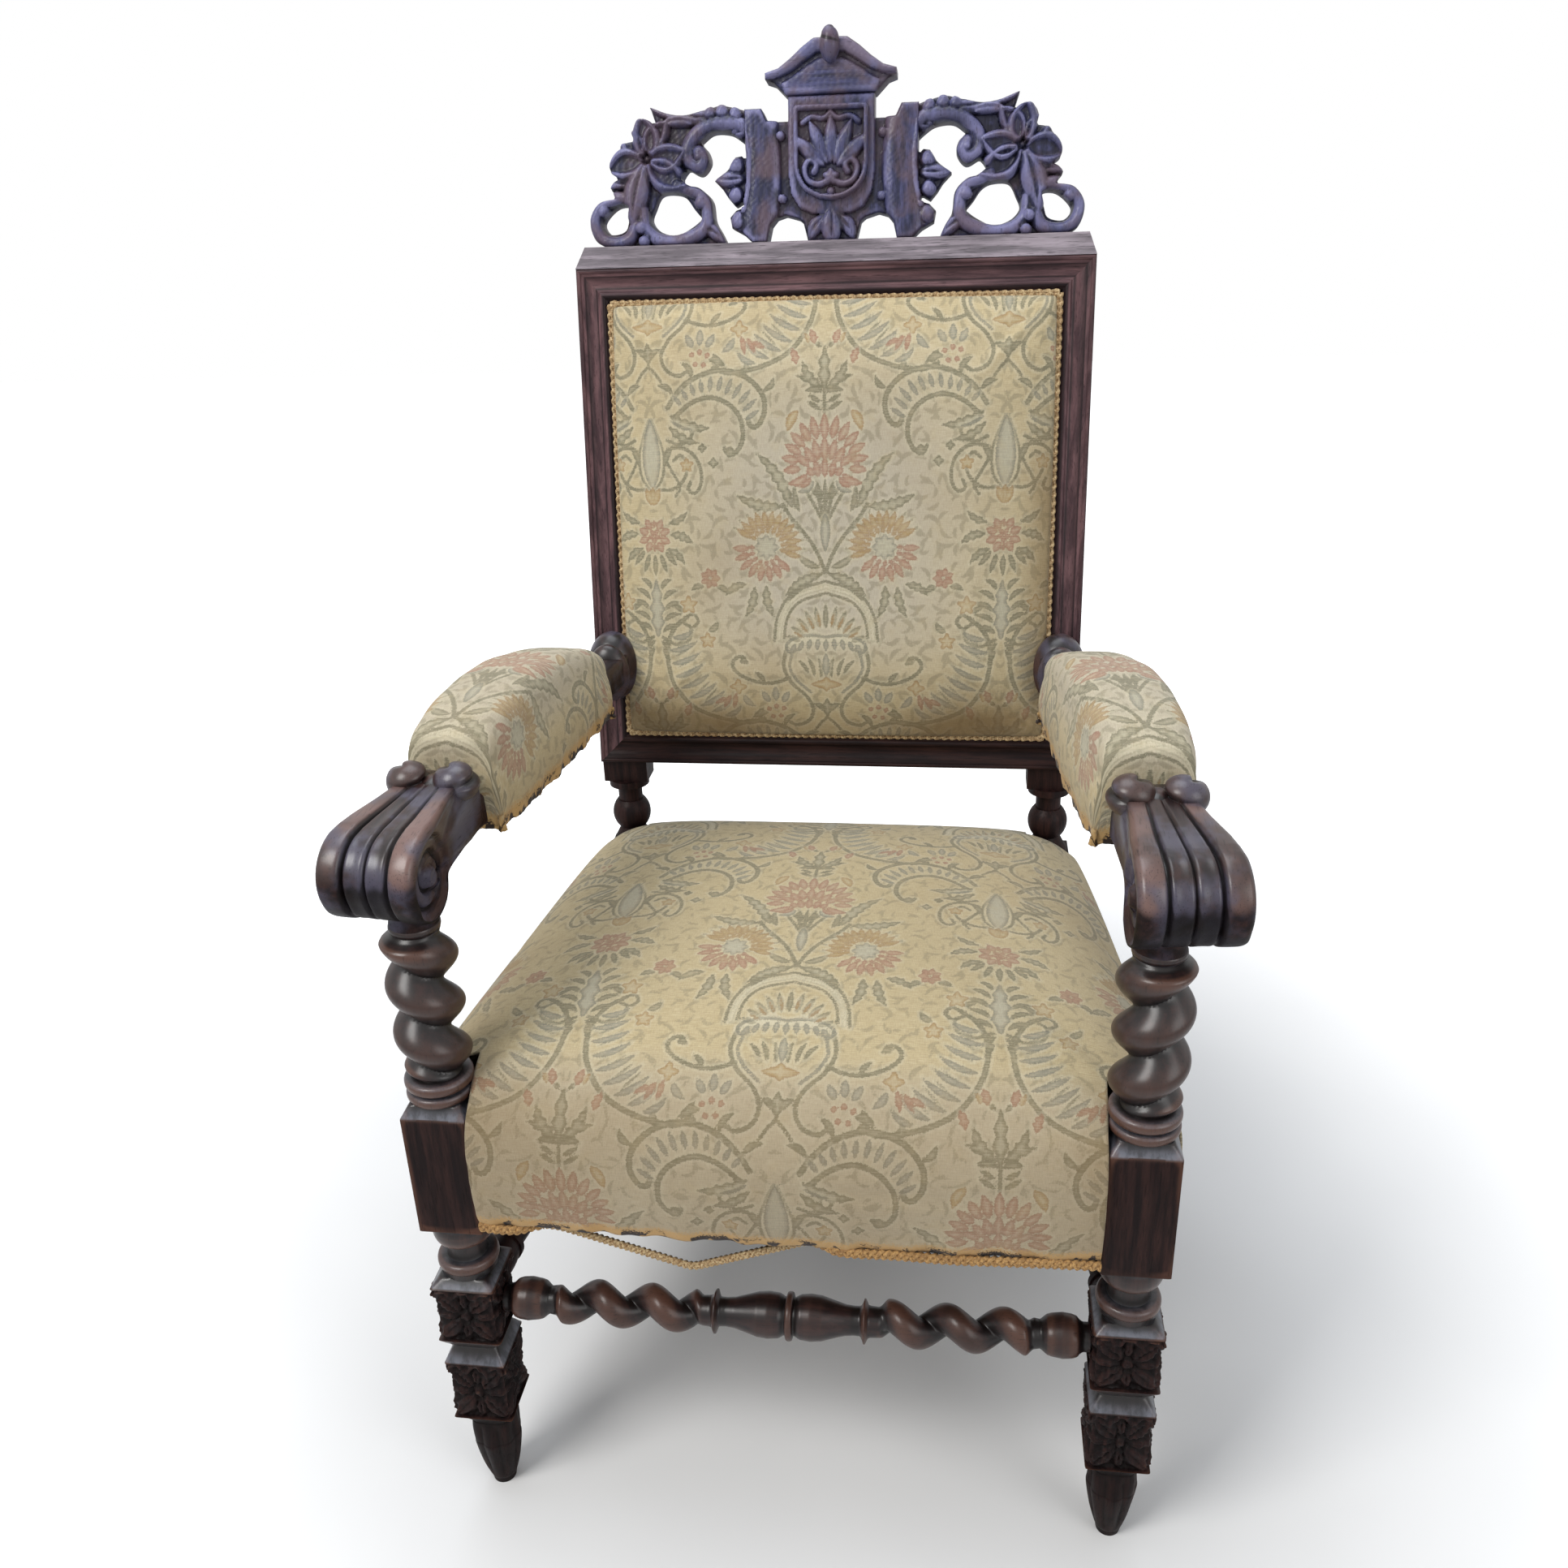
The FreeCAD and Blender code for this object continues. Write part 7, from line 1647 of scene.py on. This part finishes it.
class CHAIR_OT_arms(bpy.types.Operator):
    """Arms: bar, fluted scroll hand, a pair of small volutes and a round rear boss"""

    bl_idname = "chair.arms"
    bl_label = "Arms"

    # The hand: axis of its scroll, radius, how far it runs back, and how far its block lies below the axis.
    axis_y, axis_z, roll, length, drop = -316.3, 704, 40, 121, 14
    # Grooves of the hand: place across as a share of its half width, width and depth.
    grooves = ((0, 0.035, 3.6), (0.46, 0.042, 4.6), (0.24, 0.12, 0.8))
    # Height of its rims, and how much its edges and the flats between are cut back.
    rim_height, edge_depth, flat_depth = 2.6, 6, 2
    # Half width of the hand by place along it, from its axis.
    hand_places = (-40, -10, 20, 50, 80, 121)
    hand_halves = (44, 43, 39.5, 33, 28, 29)
    # Slope of its top towards the rear, and how far back that goes on.
    hand_rise, hand_rise_end = 0.04, 96
    # Spiral of the hand's sides: pitch, depth of its cut, of the hollow round it, and height of its eye.
    spiral_pitch, spiral_cut, spiral_hollow, spiral_eye = 15, 4.2, 3, 5
    bar_low, bar_high, bar_front, bar_rear = 690, 722, -232, 222
    bar_places, bar_halves = (-220, 213), (29, 21)
    # Knobs behind the hand: how far behind its axis, aside, their heights and half sizes.
    knob_reach, knob_aside, knob_z, knob_size = 90, 21, 746, (20.5, 19, 18)
    saddle_z, saddle_size = 739, (13, 16, 13)
    # Rear boss and its collar: centre and half sizes.
    bosses = (((256, 211, 703), (29, 26, 41)), ((255, 184, 703), (24, 14, 34)))
    # Neck between post and hand: height and radius.
    neck = ((646, 20), (654, 21.5), (662, 20), (672, 22), (690, 26))

    def scroll(self, angle):
        """Radius of the scroll about its axis: a round front that runs back into a block."""
        least, endless = 1e-6, 1e6
        sine, cosine = np.sin(angle), np.cos(angle)
        top = np.where(angle > 0, self.roll * 1.02 / np.maximum(sine, least), endless)
        under = np.where(angle < 0, self.drop / np.maximum(-sine, least), endless)
        rear = np.where(cosine > 0, self.length / np.maximum(cosine, least), endless)
        base = np.maximum(self.roll, np.minimum(np.minimum(top, under), rear))
        base[cosine < 0] = self.roll
        return blur(base[None, :], 0, 2, True)

    def hand(self):
        """Hand about the axis of its scroll: grooved and rimmed outside, with a spiral cut in each side."""
        columns, rows, rings = 180, 97, 44
        angle = np.linspace(-np.pi, np.pi, columns, endpoint=False)[None, :]
        sine, cosine = np.sin(angle), np.cos(angle)
        share = np.sin(np.linspace(-np.pi / 2, np.pi / 2, rows))[:, None]
        aside = np.abs(share)
        groove = np.zeros_like(share)
        for place, wide, deep in self.grooves:
            groove = groove + deep * np.exp(-((aside - place) / wide) ** 2)
        rim = self.rim_height * np.sqrt(np.clip(1 - ((aside - 0.74) / 0.26) ** 2, 0, 1))
        round_off = np.sqrt(np.clip(1 - ((aside - 0.86) / 0.14).clip(0) ** 2, 0, 1))
        edge = self.edge_depth * (1 - round_off)
        outside = fade(cosine, 0.97, 0.80)
        worn = fade(-sine, 0.35, 0.75)
        carved = (groove - rim + self.flat_depth + edge) * outside * (1 - 0.65 * worn)
        radius = self.scroll(angle[0]) - carved - edge * (1 - outside) * 0.8
        y = radius * cosine
        z = radius * sine
        half = np.interp(y, self.hand_places, self.hand_halves)
        rise = self.hand_rise * np.clip(y, 0, self.hand_rise_end) * (z > 0)
        sheet = np.stack([share * half, y, z + rise], -1)
        caps, cuts = [], []
        for row, sign in ((0, -1), (-1, 1)):
            fall = np.linspace(1, 0.02, rings)[1:, None]
            cap_y, cap_z = y[row][None, :] * fall, z[row][None, :] * fall
            reach = np.hypot(cap_y, cap_z)
            wind = (reach / self.spiral_pitch + np.arctan2(cap_z, cap_y) / (2 * np.pi)) % 1
            cut = np.exp(-((wind - 0.5) / 0.17) ** 2) * fade(reach, 36, 32) * fade(reach, 8, 11)
            deep = self.spiral_cut * cut + self.spiral_hollow * fade(reach, 38, 31)
            deep = deep - self.spiral_eye * fade(reach, 11, 6)
            x = sign * (half[row][None, :] * fall + half[row].mean() * (1 - fall) - deep)
            caps.append(np.stack([x, cap_y, cap_z], -1))
            cuts.append(0.25 - 1.1 * cut)
        x, y, z = np.moveaxis(np.concatenate([caps[0][::-1], sheet, caps[1]]), -1, 0)
        depth = (0.7 * rim - groove + 0.7) * outside * (1 - 0.8 * worn) * 0.30
        # Painted shade under the hand: its relief is lowered where it faces down.
        depth = depth - 0.95 * fade(-sine, -0.35, 0.15) * outside
        depth = np.concatenate([cuts[0][::-1], depth, cuts[1]])
        cosine, sine = math.cos(ARM_SPLAY), math.sin(ARM_SPLAY)
        turned_x = arm_middle(self.axis_y) + x * cosine - y * sine
        turned_y = self.axis_y + y * cosine + x * sine
        turned = np.stack([turned_x, turned_y, self.axis_z + z], -1)
        return turned, tube_faces(len(turned), columns), depth

    def bar(self):
        """Bar from behind the hand to the stile: rounded rectangles along the arm."""
        rows, columns = 150, 64
        place = np.linspace(self.bar_front, self.bar_rear, rows)[:, None]
        angle = full_turn(columns)[None, :]
        half = np.interp(place, self.bar_places, self.bar_halves)
        tall = (self.bar_high - self.bar_low) / 2
        shape = squared(angle, 1, 9)
        x = arm_middle(place) + half * shape * np.cos(angle)
        z = (self.bar_high + self.bar_low) / 2 + tall * shape * np.sin(angle)
        points = np.stack(np.broadcast_arrays(x, place, z), -1)
        return points, [part[:, ::-1] for part in tube_faces(rows, columns)], np.zeros((rows, columns))

    def execute(self, context):
        knob_y = self.axis_y + self.knob_reach
        front_x = arm_middle(self.axis_y + self.hand_rise_end)
        parts = [self.hand(), self.bar()]
        for aside in (-self.knob_aside, self.knob_aside):
            parts.append(knob((front_x + aside, knob_y, self.knob_z), self.knob_size, 1.7, 0.30))
        for centre, size in (((front_x, knob_y, self.saddle_z), self.saddle_size), *self.bosses):
            parts.append(knob(centre, size, 1, 0))
        heights, radii = zip(*self.neck)
        place = np.linspace(heights[0], heights[-1], 24)
        shell, faces = turned_shell(np.repeat(np.interp(place, heights, radii)[:, None], 48, 1), place)
        parts.append((shell + (FRONT_POST_X, FRONT_POST_Y, 0), faces, np.zeros(len(shell))))
        points, faces, relief = joined(parts)
        polish = 0.05 + 0.95 * fade(points[:, 2], self.axis_z - 2, self.axis_z + 26)
        new_pair("arm", points, faces, "waxed_oak_hands", {"relief": relief, "polish": polish}, 55)
        return {"FINISHED"}


# Cresting, in millimetres across the back from its middle and up from its foot.
# Edges run between sharp corners.
WING_EDGE = (
    ((90, 711), (100, 714), (120, 718), (138, 713), (155, 709), (175, 711), (196, 719)),
    ((196, 719), (191, 704), (188, 697)),
    ((188, 697), (197, 705), (210, 706), (216, 697), (214, 686)),
    ((214, 686), (228, 682), (239, 668), (240, 655), (230, 648)),
    ((230, 648), (237, 646), (243, 640), (239, 634), (236, 628)),
    ((236, 628), (255, 624), (266, 608), (262, 588), (250, 579)),
    ((250, 579), (115, 579)),
    ((115, 579), (121, 591), (128, 604), (131, 624), (143, 636), (155, 639), (164, 646)),
    ((164, 646), (160, 652), (156, 656)),
    ((156, 656), (142, 650), (132, 661), (134, 673), (142, 682)),
    ((142, 682), (128, 691), (110, 690), (98, 683), (90, 676)),
    ((90, 676), (90, 711)),
)
WING_VOIDS = (
    ((142, 606), (150, 615), (159, 627), (170, 632), (187, 631), (195, 618), (199, 606), (190, 595),
     (172, 590), (155, 597), (142, 606)),
    ((224, 608), (222, 620), (235, 621), (247, 613), (253, 603), (245, 593), (229, 596), (224, 608)),
)
CARTOUCHE_EDGE = (
    (0, 722), (46, 722), (46, 699), (68, 699), (74, 711), (92, 711), (92, 662), (97, 667), (104, 666),
    (111, 655), (119, 648), (127, 643), (118, 634), (112, 625), (105, 617), (96, 622), (94, 616), (104, 613),
    (111, 606), (109, 595), (96, 588), (86, 579), (70, 579), (66, 596), (60, 603), (50, 606), (36, 602),
    (31, 598), (26, 579), (0, 579),
)
PEDIMENT_EDGE = (
    (0, 776), (18, 775), (30, 767), (42, 757), (55, 748), (69, 744), (69, 738), (60, 735), (52, 727),
    (47, 722), (0, 722),
)
SHIELD_EDGE = ((0, 712), (36, 712), (40, 708), (40, 656), (37, 640), (28, 627), (14, 620), (0, 618))
# Carved forms: kind, height of their edge before the board, swell above it, width of its round,
# and the shape.
WING_FORMS = (
    ("leaf", -9, 8, 9, (112, 706), (198, 719), 9.5, -5),
    ("leaf", -5, 6, 6, (146, 700), (186, 699), 6, 4),
    ("disc", -6, 7, 7, (103, 707), 7.5, 3, 0.08),
    ("disc", -6, 7.5, 7, (117, 710), 7.5, 3, 0.08),
    ("disc", -6, 7, 7, (130, 709), 7, 3, 0.08),
    ("line", -7, 9, 8, 8, ((90, 694), (106, 699), (124, 699), (142, 692), (154, 678), (154, 664),
     (144, 658), (138, 665), (143, 671))),
    ("disc", -1, 4, 4, (143, 667), 4.5, 3, 0.02),
    ("leaf", -6, 6, 5, (90, 690), (110, 682), 6, 3),
    ("petal", -8, 12, 11, (199, 664), (206, 712), 17, 3),
    ("petal", -9, 11, 10, (202, 668), (234, 692), 14, 4),
    ("petal", -7, 12, 11, (200, 664), (248, 652), 17, 4),
    ("petal", -9, 12, 10, (199, 670), (174, 704), 14, -4),
    ("petal", -7, 12, 11, (200, 666), (155, 675), 16.5, 4),
    ("petal", -8, 13, 12, (200, 664), (152, 638), 18, 3),
    ("leaf", -7, 11, 11, (201, 664), (217, 596), 14.5, 5),
    ("leaf", -9, 8, 6, (214, 640), (244, 640), 7, 4),
    ("pit", 0, 9, 5, (200, 667), 8, 5, 0.12),
    ("disc", -7, 4, 3, (200, 667), 3.4, 5, 0.12),
    ("line", -8, 9, 7, 7, ((216, 628), (236, 629), (254, 620), (261, 604), (254, 588), (238, 583),
     (222, 588), (214, 602))),
    ("disc", -4, 6, 6, (250, 616), 6.5, 3, 0.05),
    ("line", -9, 9, 7, 7.5, ((168, 640), (150, 634), (138, 624), (135, 608), (139, 596), (152, 588),
     (172, 583), (192, 586), (205, 598), (208, 616))),
    ("disc", -4, 6, 6, (142, 622), 7, 3, 0.08),
    ("leaf", -9, 7, 7, (116, 580), (150, 600), 8, 4),
    ("disc", -2, 6, 6, (209, 598), 6.5, 3, 0),
    ("disc", -2, 6, 6, (206, 584), 6, 3, 0),
)
CARTOUCHE_FORMS = (
    ("panel", -2, 2.5, 4, ((-30, 724), (46, 724), (46, 646), (43, 626), (34, 612), (20, 606),
     (0, 604), (-30, 604))),
    ("line", -5, 7.5, 12, 19, ((80, 720), (76, 694), (73, 660), (74, 624), (79, 600), (79, 570))),
    ("line", -1, 4, 4, 3.2, ((92, 712), (91, 690), (88, 660), (90, 630), (95, 612))),
    ("disc", -7, 9, 8, (102, 656), 8.5, 3, 0.05),
    ("leaf", -8, 9, 8, (92, 644), (128, 643), 9, 0),
    ("disc", -7, 9, 8, (103, 628), 8.5, 3, 0.05),
    ("disc", -6, 8, 8, (100, 602), 9.5, 3, 0.05),
    ("leaf", -8, 8, 8, (72, 592), (106, 592), 8, 3),
    ("leaf", -3, 6, 9, (0, 612), (0, 572), 12, 0),
    ("leaf", -4, 6, 7, (6, 604), (24, 580), 8, 3),
    ("disc", -1, 4, 4, (54, 684), 4.5, 3, 0),
    ("disc", -1, 4, 4, (53, 622), 4.5, 3, 0),
)
PEDIMENT_FORMS = (
    ("panel", 3, 5, 6, ((-30, 777), (0, 777), (18, 776), (30, 768), (42, 758), (55, 749), (70, 745),
     (70, 737), (56, 739), (42, 744), (28, 753), (14, 761), (0, 762), (-30, 762))),
    ("panel", 1.5, 2, 4, ((-30, 757), (0, 757), (12, 756), (26, 749), (40, 740), (52, 734), (48, 722),
     (-30, 722))),
)
SHIELD_FORMS = (
    ("line", 0, 3, 3, 2.6, ((0, 709), (34, 709), (37, 706), (37, 656), (34, 641), (26, 630),
     (13, 623), (0, 621))),
    ("burst", -4, 6, 6, (0, 646), 8, 56, 30, 150, 5, 8),
    ("line", -4, 6, 4, 3.6, ((0, 640), (12, 634), (24, 638), (28, 650), (22, 658), (15, 653),
     (18, 646))),
    ("line", -4, 5, 4, 3, ((30, 694), (20, 700), (8, 698), (0, 704))),
    ("disc", -3, 7, 7, (0, 641), 8, 5, 0.14),
    ("disc", -4, 6, 5, (0, 627), 4.5, 3, 0),
)
# Boards: name, edge, forms, height of the ground before the board, front and back of the board, finish.
CREST_BOARDS = (
    ("crest_cartouche", CARTOUCHE_EDGE, CARTOUCHE_FORMS, -6, 20, 46, "waxed_oak_carved"),
    ("crest_pediment", PEDIMENT_EDGE, PEDIMENT_FORMS, 0.5, 20, 46, "waxed_oak_cornice"),
    ("crest_shield", SHIELD_EDGE, SHIELD_FORMS, -4.5, 13, 20.2, "waxed_oak_carved"),
)
WING_GROUND, WING_FRONT, WING_REAR = -10, 20, 46
CREST_SHARP = 50


def carved_height(side, up, distance, forms, ground):
    """Height of a carving before its board: the highest of its round-edged forms, leaves with a vein."""
    arris, vein_depth, vein_width, petal_dip = 3.5, 2.2, 1.6, 0.6
    height = ground + np.zeros_like(side)
    for kind, level, swell, width, *shape in forms:
        outside = DISTANCES[kind](side, up, *shape)
        if kind == "pit":
            height = height - swell * fade(-outside, 0, width)
            continue
        share = np.clip(-outside / width, 0, 1)
        form = level + swell * np.sqrt(1 - (1 - share) ** 2)
        if kind == "petal":
            form = form - petal_dip * swell * fade(share, 0.4, 1)
        if kind == "leaf":
            start, end, _, bow = shape
            vein = leaf_distance(side, up, start, end, 0, bow)
            form = form - vein_depth * np.exp(-(vein / vein_width) ** 2)
        height = np.where(outside < 0, np.maximum(height, form), height)
    return height - arris * (1 - np.sqrt(1 - (1 - np.clip(-distance / arris, 0, 1)) ** 2))


def carved_board(edge, voids, forms, ground, front, rear, step, whole):
    """A pierced, carved board: a grid cut to its outline, its rim moved onto it, walls and a flat back."""
    edge = np.asarray(edge, float)
    if whole:
        edge = np.concatenate([edge, edge[::-1] * (-1, 1)])
    low = edge.min(0) - 2 * step
    columns, rows = np.ceil((edge.max(0) + 2 * step - low) / step).astype(int) + 1
    across, up = np.broadcast_arrays(
        low[0] + step * np.arange(columns)[None, :], low[1] + step * np.arange(rows)[:, None]
    )

    def outside(x, y):
        distance = panel_distance(x, y, edge)
        for void in voids:
            distance = np.maximum(distance, -panel_distance(x, y, void))
        return distance

    inner = outside(across, up) < 0
    cell = inner[:-1, :-1] | inner[1:, :-1] | inner[:-1, 1:] | inner[1:, 1:]
    near = 0.05
    for _ in range(3):
        slope_x = (outside(across + near, up) - outside(across - near, up)) / (2 * near)
        slope_y = (outside(across, up + near) - outside(across, up - near)) / (2 * near)
        steep = np.maximum(slope_x ** 2 + slope_y ** 2, 0.3)
        past = np.where(inner, 0, np.clip(outside(across, up), -2 * step, 2 * step)) / steep
        across = across - past * slope_x
        up = up - past * slope_y
    distance = np.minimum(outside(across, up), 0)
    height = carved_height(np.abs(across) if whole else across, up, distance, forms, ground)
    height = height + 0.18 * np.sin(across * 0.9 + 2 * np.sin(up * 0.31)) * np.sin(up * 0.7)
    face = back_point(across, up, front - height).reshape(-1, 3)
    flat = back_point(across, up, rear).reshape(-1, 3)
    quads = grid_quads(rows, columns)[cell.ravel()]
    count = rows * columns
    number = np.arange(count).reshape(rows, columns)
    lower_left, lower_right = number[:-1, :-1], number[:-1, 1:]
    upper_left, upper_right = number[1:, :-1], number[1:, 1:]
    around = np.pad(cell, 1)
    walls = []
    for beside, first, second in (
        (around[:-2, 1:-1], lower_left, lower_right), (around[2:, 1:-1], upper_right, upper_left),
        (around[1:-1, :-2], upper_left, lower_left), (around[1:-1, 2:], lower_right, upper_right),
    ):
        start, end = first[cell & ~beside], second[cell & ~beside]
        walls.append(np.stack([end, start, start + count, end + count], -1))
    used, faces = np.unique(np.concatenate([quads, quads[:, ::-1] + count] + walls), return_inverse=True)
    relief = np.clip((height - blur(height, 6, 6)) * 0.42, -0.45, 1).ravel()
    relief = np.concatenate([relief, 0 * relief])
    return np.concatenate([face, flat])[used], [faces.reshape(-1, 4)], relief[used]


class CHAIR_OT_cresting(bpy.types.Operator):
    """Pierced and carved cresting: wings, strapwork with a shield, and a cornice"""

    bl_idname = "chair.cresting"
    bl_label = "Cresting"

    step_share, line_step = 0.8, 2
    # The bud on top: up and behind the face of the back, and its half sizes.
    bud_up, bud_behind, bud_size = 767, 10, (10.5, 10.5, 17.5)

    def execute(self, context):
        step = settings_of(context).carving_step * self.step_share
        edge = np.concatenate([smooth_line(run, self.line_step)[:-1] for run in WING_EDGE])
        voids = [smooth_line(void, self.line_step)[:-1] for void in WING_VOIDS]
        points, faces, relief = carved_board(
            edge, voids, WING_FORMS, WING_GROUND, WING_FRONT, WING_REAR, step, False
        )
        new_pair("crest_wing", points, faces, "waxed_oak_carved", {"relief": relief}, CREST_SHARP)
        points, faces, relief = knob(back_point(0, self.bud_up, self.bud_behind), self.bud_size, 3, 0.05)
        fields = {"relief": relief.ravel()}
        new_piece("crest_finial_bud", points, faces, "waxed_oak_carved", "crest_finial", fields)
        for node, edge, forms, ground, front, rear, finish in CREST_BOARDS:
            points, faces, relief = carved_board(edge, (), forms, ground, front, rear, step, True)
            fields = {"relief": relief}
            new_piece(f"{node}_carved", points, faces, finish, node, fields, CREST_SHARP)
        return {"FINISHED"}


CLASSES = [
    ChairSettings, CHAIR_OT_stage, CHAIR_OT_finishes, CHAIR_OT_loose_braid, CHAIR_OT_back_pad,
    CHAIR_OT_seat_pad, CHAIR_OT_arm_pads, CHAIR_OT_front_legs, CHAIR_OT_front_stretcher, CHAIR_OT_arms,
    CHAIR_OT_cresting, CHAIR_OT_braids,
]
STEPS = [kind for kind in CLASSES if issubclass(kind, bpy.types.Operator)]


class CHAIR_PT_steps(bpy.types.Panel):
    """The steps that make the chair, in order"""

    bl_label = "Bishops Chair"
    bl_idname = "CHAIR_PT_steps"
    bl_space_type = "VIEW_3D"
    bl_region_type = "UI"
    bl_category = "Chair"

    def draw(self, context):
        for step in STEPS:
            self.layout.operator(step.bl_idname)


def register():
    """Make the settings, steps and panel known."""
    for kind in CLASSES + [CHAIR_PT_steps]:
        bpy.utils.register_class(kind)
    bpy.types.Scene.bishops_chair = bpy.props.PointerProperty(type=ChairSettings)


def unregister():
    """Take the settings, steps and panel away again."""
    del bpy.types.Scene.bishops_chair
    for kind in reversed(CLASSES + [CHAIR_PT_steps]):
        bpy.utils.unregister_class(kind)


def main():
    """Make the chair step by step."""
    register()
    for step in STEPS:
        group, name = step.bl_idname.split(".")
        getattr(getattr(bpy.ops, group), name)()


if __name__ == "__main__":
    main()
